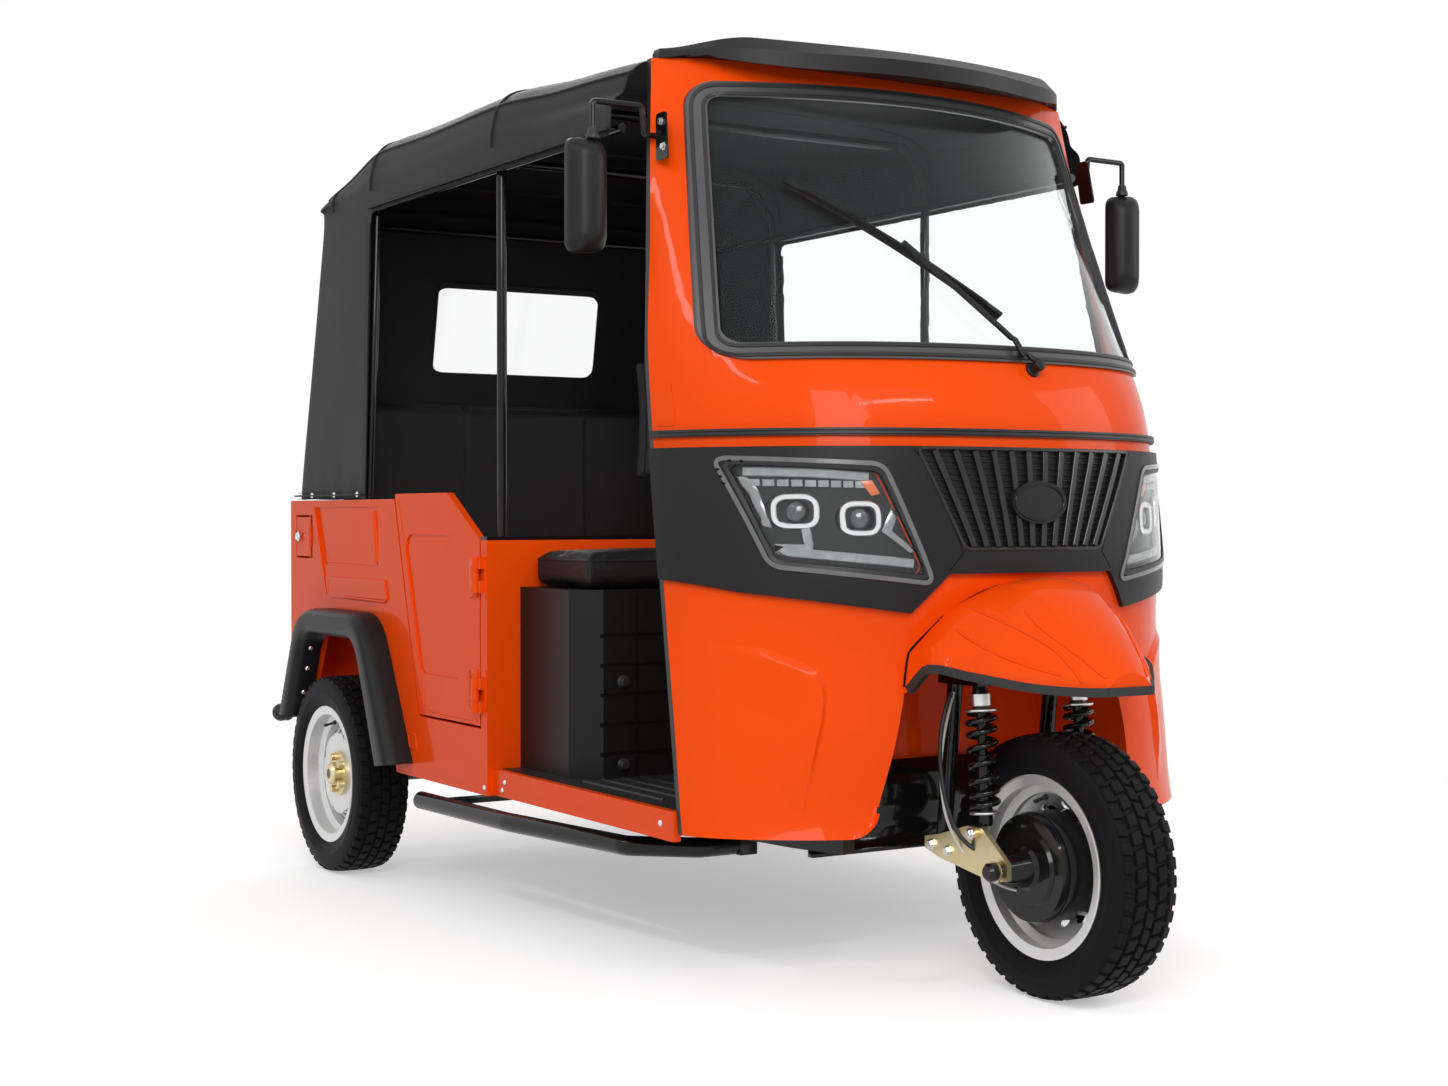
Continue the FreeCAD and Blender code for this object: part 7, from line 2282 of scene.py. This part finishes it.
@dataclass
class Mirrors:
    """Moulded housings with their glass, clamps and bracket plates."""

    inner: float = 0.6410
    outer: float = 0.7230
    front: float = -0.5760
    rear: float = -0.5270
    low: float = 1.3885
    high: float = 1.6115
    # shares of the depth, insets and corner radii of the housing's rings
    levels: tuple[Spot, ...] = (
        (1.0, 0.0040, 0.020), (0.985, 0.0012, 0.022), (0.93, 0.0, 0.024), (0.62, 0.0008, 0.026),
        (0.40, 0.0050, 0.028), (0.16, 0.0150, 0.030), (0.05, 0.0235, 0.030), (0.0, 0.0330, 0.028),
    )

    def build(self) -> None:
        """Make both mirrors."""
        bolts = [(self.bracket_face(0.538, z), y, z) for y, z in ((-0.590, 1.600), (-0.575, 1.650))]
        fit(paired("mirror_shells", self.housing, BLACK_PLASTIC), "root", "mirror_housings")
        fit_all([
            paired("mirror_glasses", self.glass, MIRROR_GLASS), paired("mirror_boots", self.boot, BLACK_RUBBER),
            paired("mirror_brackets", self.bracket, BLACK_PAINT),
            studded("mirror_bracket_bolts", SmallParts.hex_bolt(), outward(*bolts), BRIGHT_ZINC, 0.0062),
        ])
        LOG.info("mirrors")

    def ring(self, side: int, y: float, inset: float, radius: float) -> list[Vector]:
        """A ring of a housing's outline at one depth.

        Args:
            side: Minus one for the right side, one for the left.
            y: The ring's place along.
            inset: How far the outline is drawn in.
            radius: The corners' radius.

        Returns:
            The ring.
        """
        shape = [(self.inner + inset, self.low + inset + 0.006), (self.outer - inset, self.low + inset),
                 (self.outer - inset, self.high - inset), (self.inner + inset, self.high - inset - 0.006)]
        return [Vector((side * x, y, z)) for x, z in rounded(shape, radius, 7)]

    def housing(self, side: int) -> Piece:
        """A deep shell with a bevelled front and a rolled rim.

        Args:
            side: Minus one for the right side, one for the left.

        Returns:
            The piece.
        """
        depth = self.rear - self.front
        rows = [self.ring(side, self.rear - 0.0060, 0.0085, 0.018), self.ring(side, self.rear - 0.0005, 0.0075, 0.018)]
        rows += [self.ring(side, self.front + depth * share, inset, radius) for share, inset, radius in self.levels]
        return loft("mirror_shell", rows, BLACK_PLASTIC)

    def glass(self, side: int) -> Piece:
        """The glass in a housing's rear.

        Args:
            side: Minus one for the right side, one for the left.

        Returns:
            The piece.
        """
        levels = ((0.0058, 0.0095), (0.0026, 0.0095), (0.0018, 0.0105))
        rows = [self.ring(side, self.rear - depth, inset, 0.017) for depth, inset in levels]
        return loft("mirror_glass_plate", rows, MIRROR_GLASS)

    def boot(self, side: int) -> Piece:
        """The rubber boot where an arm enters its housing."""
        profile = [(0.0, 0.0), (0.0, 0.0135), (0.006, 0.0135), (0.012, 0.0105), (0.022, 0.0088), (0.022, 0.0)]
        return turned("mirror_boot", profile, Vector((side * 0.672, -0.550, 1.608)), UP, BLACK_RUBBER, 24)

    def bracket_face(self, x: float, z: float) -> float:
        """The distance of a bracket's face from the middle plane at a height."""
        return x + (1.625 - z) * 0.06

    def bracket(self, side: int) -> Piece:
        """The bracket plate on one of the cab's rear edges.

        Args:
            side: Minus one for the right side, one for the left.

        Returns:
            The piece.
        """
        outline = rounded([(-0.607, 1.575), (-0.562, 1.575), (-0.552, 1.668), (-0.590, 1.668)], 0.008, 4)
        rows = [[Vector((side * self.bracket_face(x, z), y, z)) for y, z in outline] for x in (0.5350, 0.5380)]
        return loft("mirror_bracket", rows, BLACK_PAINT, smooth=False)


# bodywork


def softstep(value: float, low: float, high: float) -> float:
    """A smooth rise from zero at low to one at high."""
    share = min(max((value - low) / (high - low), 0.0), 1.0)
    return share * share * (3 - 2 * share)


def reshaped(name: str, node: Piece, finish: Finish, move: Callable[[Vector], Vector], longest: float,
             sharp: float = 28.0, cuts: Sequence[tuple[Vector, Vector]] = ()) -> Piece:
    """A copy of a node's surface with every point moved.

    Args:
        name: The piece's name.
        node: The CAD node.
        finish: The finish.
        move: Gives a point's new place.
        longest: Edges are split until they are about this short.
        sharp: Edges bent more than this many degrees stay sharp.
        cuts: Planes, each a point and a normal, along which the mesh gets edges first.

    Returns:
        The piece.
    """
    work = bmesh.new()
    work.from_mesh(node.data)
    bmesh.ops.remove_doubles(work, verts=work.verts, dist=1e-5)
    for point, normal in cuts:
        parts = work.verts[:] + work.edges[:] + work.faces[:]
        bmesh.ops.bisect_plane(work, geom=parts, plane_co=point, plane_no=normal, dist=1e-6)
    for _ in range(3):
        long_edges = [edge for edge in work.edges if edge.calc_length() > longest]
        if long_edges:
            bmesh.ops.subdivide_edges(work, edges=long_edges, cuts=1)
            bmesh.ops.triangulate(work, faces=[face for face in work.faces if len(face.verts) > 4])
    for vert in work.verts:
        vert.co = move(vert.co)
    return from_work(name, work, finish, 1e-5, sharp)


@dataclass
class Beak:
    """The faceted form that the plain mudguard takes."""

    # where a line starts off the middle, and how it slants ahead
    ridge: Flat = (0.070, 0.06)
    shoulder: Flat = (0.165, -0.19)
    rim: float = 0.565
    step: float = 0.010
    waist: tuple[Flat, ...] = ((1.050, 1.00), (1.134, 0.93), (1.229, 0.78), (1.300, 0.66), (1.345, 0.56))
    start: float = 1.10

    def cuts(self) -> list[tuple[Vector, Vector]]:
        """The upright planes in which the ridges and shoulders lie.

        Returns:
            The planes, each a point and a normal.
        """
        lines = (self.ridge, (self.ridge[0] + self.step, self.ridge[1]), self.shoulder)
        return [(Vector((side * start, -1.0, 0)), Vector((1, side * slope, 0)).normalized())
                for side in SIDES for start, slope in lines]

    def relief(self, place: Vector) -> float:
        """How far the facets rise over the plain barrel at a point.

        Args:
            place: The point on the plain node.

        Returns:
            The height.
        """
        ahead, out = -place.y, abs(place.x)
        ridge = self.ridge[0] + self.ridge[1] * (ahead - 1.0)
        shoulder = max(self.shoulder[0] + self.shoulder[1] * (ahead - 1.0), ridge)
        past = max(out - ridge, 0.0)
        fall = 0.70 * min(past, self.step) + 0.25 * min(past, shoulder - ridge) + 1.00 * max(out - shoulder, 0.0)
        return max((0.010 - fall) / 0.20, -0.62) * (place.z - self.rim) * softstep(ahead, 1.03, 1.12)

    def place(self, place: Vector) -> Vector:
        """The new place of a point on the plain mudguard: narrower and shorter towards the tip.

        Args:
            place: The point on the plain node.

        Returns:
            The new place.
        """
        ahead = -place.y
        waist = self.waist[0][1] if ahead < self.waist[0][0] else self.waist[-1][1]
        for (low, first), (high, second) in zip(self.waist, self.waist[1:]):
            if low <= ahead <= high:
                waist = first + (second - first) * (ahead - low) / (high - low)
        y = place.y if ahead < self.start else -(self.start + (ahead - self.start) * 0.84)
        lift = 0.036 * softstep(ahead, 0.99, 1.05) * (1 - softstep(ahead, 1.06, 1.34))
        lift *= 1 - softstep(place.z - self.rim, 0.0, 0.12)
        return Vector((place.x * waist, y, place.z + self.relief(place) + lift - 0.010 * softstep(ahead, 1.05, 1.25)))


BEAK = Beak()


@dataclass
class Panels:
    """The mudguard's beak, the visor, the flares and the cab's pressings."""

    nodes: dict[str, Piece]
    skin: Skin
    crest: tuple[Flat, ...] = (
        (0.575, 0.648), (0.548, 0.645), (0.516, 0.640), (0.490, 0.634), (0.469, 0.626), (0.446, 0.616), (0.426, 0.604),
        (0.410, 0.592), (0.402, 0.576), (0.400, 0.554), (0.406, 0.515), (0.414, 0.481), (0.423, 0.435), (0.432, 0.390),
        (0.439, 0.350),
    )
    crest_height: float = 0.0090
    crest_middle: Flat = (0.535, 0.400)
    corner: Flat = (0.313, 0.300)
    corner_radius: float = 0.056
    door_line: tuple[Flat, ...] = (
        (0.5215, 0.929), (0.4905, 0.8386), (0.4350, 0.6599), (0.3790, 0.4790), (0.3660, 0.4530), (0.3450, 0.4440),
        (0.3000, 0.4425), (0.0850, 0.4425),
    )
    creases: tuple[tuple[Spot, ...], ...] = (
        ((0.1660, -1.0450, 0.7200), (0.1575, -1.0699, 0.7164), (0.1437, -1.1118, 0.7016), (0.1261, -1.1567, 0.6830),
         (0.1099, -1.1901, 0.6656), (0.0965, -1.2184, 0.6472), (0.0868, -1.2466, 0.6208), (0.0806, -1.2691, 0.5944)),
        ((0.1953, -1.0096, 0.6971), (0.1949, -1.0656, 0.6780), (0.1794, -1.1057, 0.6555), (0.1620, -1.1509, 0.6363),
         (0.1400, -1.1895, 0.6219), (0.1218, -1.2161, 0.6135), (0.1041, -1.2391, 0.6069)),
        ((0.1039, -1.1423, 0.7163), (0.1022, -1.1689, 0.6961), (0.0953, -1.1930, 0.6785), (0.0872, -1.2115, 0.6660),
         (0.0773, -1.2357, 0.6486), (0.0648, -1.2604, 0.6312), (0.0545, -1.2836, 0.6114), (0.0475, -1.2949, 0.6031)),
    )
    seam: tuple[Spot, ...] = (
        (0.2583, -0.984, 0.5750), (0.2546, -0.983, 0.5990), (0.2508, -0.983, 0.6230), (0.2470, -0.985, 0.6390),
        (0.2327, -0.990, 0.6560), (0.2100, -0.998, 0.6785), (0.1900, -1.007, 0.7003), (0.1700, -1.015, 0.7168),
        (0.1500, -1.021, 0.7293), (0.1200, -1.029, 0.7450), (0.0900, -1.034, 0.7555), (0.0600, -1.037, 0.7633),
        (0.0300, -1.039, 0.7680),
    )

    def build(self) -> None:
        """Make every panel."""
        edges = [(Vector((side * (self.corner[0] + 0.0055 * number), 0, 0)), ACROSS)
                 for side in SIDES for number in range(1, 10)]
        for name, node, finish, move, longest, sharp, cuts in (
            ("mudguard_beak", "front_mudguard", PAINT, BEAK.place, 0.05, 11.0, BEAK.cuts()),
            ("visor_peak", "roof_visor", BLACK_PLASTIC, self.peak, 0.02, 28.0, ()),
            ("cab_body", "cab_shell", PAINT, self.corner_place, 9.0, 28.0, edges),
            ("well_panels", "wheel_well", PAINT, self.corner_place, 9.0, 28.0, ()),
        ):
            fit(reshaped(name, self.nodes[node], finish, move, longest, sharp, cuts), "root", node)
        fit(paired("arch_flare_mouldings", self.flare, FLARE_PLASTIC), "root", "arch_flares")
        for side, label in zip(SIDES, ("right_door", "left_door")):
            path = [Vector((side * 0.6187, p.x, p.y)) for p in smooth_path(self.door_line, 6)]
            fit(swept(f"{label}_bead", [path], 0.0062, PAINT), label)
        fit_all([self.guard_creases(), self.guard_seam(), self.apron(), self.beads(),
                 paired("cab_pressings", self.pressing, PAINT)])
        LOG.info("panels")

    def corner_place(self, place: Vector) -> Vector:
        """The cab's panel with its lower corner beside the wheel rounded.

        Args:
            place: The point on the plain node.

        Returns:
            The new place.
        """
        radius = self.corner_radius
        inward = min(max(abs(place.x) - self.corner[0], 0.0), radius)
        foot = self.corner[1] + radius - math.sqrt(radius * radius - (radius - inward) ** 2)
        if place.z < foot and place.y < -0.85:
            return Vector((place.x, place.y, foot + (place.z - self.corner[1]) * 0.02))
        return place

    def guard_creases(self) -> Piece:
        """The drawn creases that run from the mudguard's back to its front edge."""
        paths = [smooth_path([(side * x, y, z) for x, y, z in line], 4) for side in SIDES for line in self.creases]
        return swept("mudguard_creases", paths, 0.0058, PAINT)

    def guard_seam(self) -> Piece:
        """The dark joint between the mudguard and the cab."""
        line = [(-x, y, z) for x, y, z in self.seam] + [(0.0, -1.0395, 0.7695), *reversed(self.seam)]
        return swept("mudguard_seam", [smooth_path(line, 4)], 0.0050, JOINT_BLACK)

    def beads(self) -> Piece:
        """The pressed beads that frame the fields of both rear quarters.

        Returns:
            The piece.
        """
        bar = rounded([(0.9690, 0.7300), (0.6010, 0.7300), (0.5900, 0.6840), (0.9640, 0.6880)], 0.016)
        stamp = rounded([(0.4660, 0.3840), (0.4240, 0.3815), (0.4155, 0.3470), (0.4590, 0.3500)], 0.006, 4)
        rib = [(0.6790, 0.9000), (0.6665, 0.8380), (0.6540, 0.7760)]
        foot = [(0.9780, 0.7745), (0.8200, 0.7735), (0.6560, 0.7725)]
        made = []
        for side in SIDES:
            for line, depth, wide, ring in ((rib, 0.6145, 0.0160, False), (foot, 0.6150, 0.0070, False),
                                            (bar, 0.6205, 0.0085, True), (stamp, 0.6190, 0.0050, True)):
                made.append(swept("bead", side_rings(side, [(depth, line)]), wide, PAINT, closed=ring))
        return join_pieces("quarter_beads", made, PAINT)

    def apron(self) -> Piece:
        """The black plate across the back of the wheel well, with its two stiffening folds.

        Returns:
            The piece.
        """
        half, top, bottom, face = 0.306, 0.408, 0.232, -0.738
        profile = [(top, 0.0), (top, 0.004), (0.372, 0.004), (0.364, 0.010), (0.300, 0.010), (0.292, 0.004),
                   (bottom + 0.012, 0.004), (bottom + 0.010, 0.018), (bottom, 0.018), (bottom, 0.0)]
        rows = [[Vector((x, face - depth, z)) for z, depth in profile] for x in (-half, half)]
        return loft("wheel_well_apron", rows, BLACK_PAINT)

    def peak(self, place: Vector) -> Vector:
        """The visor with its lip drooping ahead and its ends drawn down.

        Args:
            place: The point on the plain node.

        Returns:
            The new place.
        """
        base, top = 1.786, 1.830
        share = (place.z - base) / (top - base)
        ahead = softstep(-place.y, 0.545, 0.735)
        end = softstep(abs(place.x), 0.36, 0.52)
        notch = sum(deep * math.exp(-((abs(place.x) - spot) / wide) ** 2)
                    for deep, spot, wide in ((0.005, 0.455, 0.012), (0.004, 0.492, 0.010)))
        z = base + (place.z - base) * (1 - 0.55 * end) - ahead * (0.032 - 0.012 * share) + notch * (1 - share)
        return Vector((place.x * (1 - 0.042 * end), place.y, z))

    def flare(self, side: int) -> Piece:
        """An arch flare as one rolled band with softened corners.

        Args:
            side: Minus one for the right side, one for the left.

        Returns:
            The piece.
        """
        inner = round_path([(0.535, 0.300), (0.658, 0.592), (1.010, 0.592), (1.108, 0.372)], 0.060)
        outer = round_path([(0.437, 0.314), (0.623, 0.656), (1.045, 0.656), (1.178, 0.372)], 0.085)
        profile = ((0.0, 0.6205), (0.0, 0.655), (0.035, 0.668), (0.10, 0.678), (0.20, 0.6845), (0.34, 0.686),
                   (0.70, 0.686), (0.85, 0.6825), (0.95, 0.674), (1.0, 0.662), (1.0, 0.6205))
        rows = [[Vector((side * x, oy + (iy - oy) * t, oz + (iz - oz) * t)) for t, x in profile]
                for (oy, oz), (iy, iz) in zip(outer, inner)]
        return loft("flare", rows, FLARE_PLASTIC)

    def pressing(self, side: int) -> Piece:
        """The raised field low on one side of the cab, with its crest and its fading inner side.

        Args:
            side: Minus one for the right side, one for the left.

        Returns:
            The piece.
        """
        last = len(self.crest) - 1
        rows = []
        for index, (x, z) in enumerate(self.crest):
            height = self.crest_height * softstep(index / last, 0.0, 0.30) * (1 - softstep(index / last, 0.80, 1.0))
            row = []
            for share, lift, reach in (
                (-0.075, -0.0012, 0.012), (-0.045, 0.10 * height, 0.012), (0.0, height, 0.012),
                (0.012, height * 1.02, 0.012), (0.10, 0.72 * height, 0.012), (0.26, 0.34 * height, 0.012),
                (0.48, -0.0012, 0.012), (0.2, -0.003, 0.006),
            ):
                across, up = (here + (there - here) * share for here, there in zip((x, z), self.crest_middle))
                spot, normal = self.skin.smooth_front(side * across, up, reach)
                row.append(spot + normal * lift)
            rows.append(row)
        return loft("pressing", rows, PAINT)


@dataclass
class Fittings:
    """Bolts, hinge leaves, knobs, painted shade of the rim's vents, lamp lenses and other small things on the body."""

    nodes: dict[str, Piece]
    hinges: tuple[Flat, ...] = ((0.470, 0.555), (0.710, 0.795))
    holes: int = 8

    def build(self) -> None:
        """Make every fitting."""
        for side, label in zip(SIDES, ("right", "left")):
            leaves = [self.leaf(side, low, high, 0.080, 0.122) for low, high in self.hinges]
            bolts = [(Vector((side * 0.6230, 0.104, z)), Vector((side, 0, 0))) for z in (0.487, 0.538, 0.727, 0.778)]
            fit_all([join_pieces(f"{label}_hinge_leaves", leaves, PAINT),
                     studded(f"{label}_leaf_bolts", SmallParts.dome_screw(), bolts, PAINT, 0.0055)], f"{label}_door")
        fit(self.lid_lock(), "lid")
        posts = [self.leaf(side, low, high, 0.0362, 0.0440) for side in SIDES for low, high in self.hinges]
        joints = [[(side * 0.405, -0.2445, z) for z in (0.350, 0.725)] for side in SIDES]
        ribs = [[(x * 0.045, -0.690 + 0.10 * (abs(x) > 7), 0.3412), (x * 0.045, -0.262, 0.3412)]
                for x in range(-12, 13) if x]
        rails = [[(side * x, y, z) for x, y, z in ((0.400, -0.620, 0.282), (0.372, -0.800, 0.282),
                                                   (0.345, -0.930, 0.284))] for side in SIDES]
        fit_all([
            join_pieces("post_hinge_leaves", posts, PAINT), self.screws(), self.knobs(),
            swept("seat_box_joints", joints, 0.004, JOINT_BLACK, sides=8),
            swept("floor_mat_ribs", ribs, 0.008, BLACK_RUBBER, sides=8),
            paired("bumper_ends", self.bumper_ball, BLACK_RUBBER),
            swept("front_frame_rails", rails, 0.030, BLACK_PAINT, height=0.034), self.tail_lenses(),
        ])
        for wheel in WHEELS:
            fit(self.vent_shade_discs(wheel), wheel.body)
        LOG.info("fittings")

    def leaf(self, side: int, low: float, high: float, start: float, end: float) -> Piece:
        """A hinge leaf on one side of the body.

        Args:
            side: Minus one for the right side, one for the left.
            low: The leaf's lower edge.
            high: Its upper edge.
            start: Its front edge.
            end: Its rear edge.

        Returns:
            The leaf.
        """
        levels = [(x, rounded(plate(start, low, end, high, inset), 0.006, 3))
                  for x, inset in ((0.6195, 0.0), (0.6232 - 0.001, 0.0), (0.6232, 0.0012))]
        return loft("plate", side_rings(side, levels), PAINT)

    def lid_lock(self) -> Piece:
        """The filler lid's bright lock.

        Returns:
            The piece.
        """
        profile = [(0.0, 0.0), (0.0, 0.0125), (0.0025, 0.0125), (0.0035, 0.0105), (0.0060, 0.0095), (0.0068, 0.0075),
                   (0.0052, 0.0060), (0.0052, 0.0)]
        return turned("filler_lid_lock", profile, Vector((-0.6250, 1.176, 0.836)), -ACROSS, BRIGHT_ZINC, 28)

    def screws(self) -> Piece:
        """Bright screws of the sills, the posts' feet, the flares and the bulkhead.

        Returns:
            The piece.
        """
        places = []
        for side in SIDES:
            for way, spots in (
                (Vector((side, 0, 0)), ((0.6060, -0.012, 0.300), (0.6060, -0.024, 0.318), (0.6060, -0.690, 0.315),
                                        (0.6200, 0.048, 0.300))),
                (Vector((0, -0.913, -0.407)), ((0.648, 1.028, 0.552), (0.648, 1.052, 0.498), (0.648, 1.080, 0.435))),
                (UP, ((0.470, 0.0505, 0.837), (0.395, 0.0505, 0.837))),
            ):
                places += [(Vector((side * x, y, z)), way) for x, y, z in spots]
        return studded("bright_screws", SmallParts.dome_screw(), places, BRIGHT_ZINC, 0.0062)

    def knobs(self) -> Piece:
        """The turn knobs on the seat box.

        Returns:
            The piece.
        """
        profile = [(0.0, 0.0), (0.0, 0.014), (0.004, 0.014), (0.006, 0.0115), (0.012, 0.0100), (0.014, 0.0080),
                   (0.014, 0.0)]
        made = [turned("knob", profile, Vector((side * 0.439, -0.2435, z)), AHEAD, BLACK_RUBBER, 24)
                for side in SIDES for z in (0.542, 0.368)]
        return join_pieces("seat_box_knobs", made, BLACK_RUBBER)

    def bumper_ball(self, side: int) -> Piece:
        """The round rubber end of the rear bumper on one side.

        Args:
            side: Minus one for the right side, one for the left.

        Returns:
            The piece.
        """
        radius = 0.024
        arc = [math.pi * k / 14 for k in range(1, 14)]
        profile = [(0.0, 0.0), *((radius - radius * math.cos(t), radius * math.sin(t)) for t in arc), (2 * radius, 0.0)]
        start = Vector((side * 0.592, 1.339, 0.360))
        return turned("bumper_ball", profile, start, Vector((side, 0, 0)), BLACK_RUBBER, 32)

    def tail_lenses(self) -> Piece:
        """Ribbed lenses over the tail lamps.

        Returns:
            The piece.
        """
        made = []
        for side in SIDES:
            for low in [0.6935 + number * 0.0485 for number in range(3)]:
                rows = [[Vector((side * x, y, z)) for x, z in
                         rounded(plate(0.538, low, 0.600, low + 0.0455, inset), 0.006, 3)]
                        for y, inset in ((1.270, 0.0), (1.2745, 0.0), (1.2765, 0.003))]
                made.append(loft("lens", rows, LAMP_RED))
        return join_pieces("tail_lamp_lenses", made, LAMP_RED)

    def vent_shade_discs(self, wheel: Wheel) -> Piece:
        """Near-black discs flush on the rim's own surface round a wheel's disc: painted shade that stands for the hand
        holes.

        Args:
            wheel: The wheel.

        Returns:
            The piece.
        """
        skin = Skin([self.nodes[f"{wheel.label}_rim"]])
        made = []
        for number in range(self.holes):
            middle = 2 * math.pi * (number + 0.5) / self.holes
            rows = []
            for lift in (-0.0015, 0.0006):
                row = []
                for turn in around(20):
                    angle, reach = middle + 0.105 * math.cos(turn), 0.104 + 0.0075 * math.sin(turn)
                    spot, normal = skin.side(wheel.centre[1] + reach * math.cos(angle),
                                             wheel.centre[2] + reach * math.sin(angle), wheel.outward)
                    row.append(spot + normal * lift)
                rows.append(row)
            # painted shade: each disc lies flush with the rim and is painted near-black for the darkness seen through a
            # hand hole
            made.append(loft("vent", rows, JOINT_BLACK))
        return join_pieces(f"{wheel.label}_rim_vents", made, JOINT_BLACK)


WHEELS = (
    Wheel("front", "front_wheel", (0.0, FRONT_AXLE, AXLE_HEIGHT), -1),
    Wheel("rear_right", "rear_right_wheel", (-0.605, REAR_AXLE, AXLE_HEIGHT), -1),
    Wheel("rear_left", "rear_left_wheel", (0.605, REAR_AXLE, AXLE_HEIGHT), 1),
)
PADS = (
    Pad("driver_seat_cushion", "root", UP, channels=(0.0,)),
    Pad("driver_backrest", "root", AHEAD, inset=0.008),
    Pad("bench_cushion", "root", UP, channels=(-0.34, 0.34)),
    Pad("bench_backrest", "root", AHEAD, channels=(-0.34, 0.34)),
)


def main() -> None:
    """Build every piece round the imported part."""
    logging.basicConfig(level=logging.INFO, format="%(message)s")
    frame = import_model()
    nodes = frame["nodes"]
    shell = Skin([nodes["cab_shell"], nodes["windscreen"]])
    front = Skin([nodes[n] for n in ("cab_shell", "windscreen", "windscreen_seal", "headlamp_band", "headlamp_lenses")])
    Studio().build()
    Bodywork().dress(nodes)
    for wheel in WHEELS:
        wheel.build()
    FrontSuspension().build()
    Canopy().build()
    for pad in PADS:
        pad.build()
    Headlamps(Skin([nodes["headlamp_lenses"]], -0.010), front).build()
    FrontTrim(shell, front).build()
    Wiper(shell, Skin([nodes["windscreen"]])).build()
    Mirrors().build()
    Panels(nodes, Skin([nodes["cab_shell"]])).build()
    Fittings(nodes).build()
    SmallParts.drop_all()


if __name__ == "__main__":
    main()
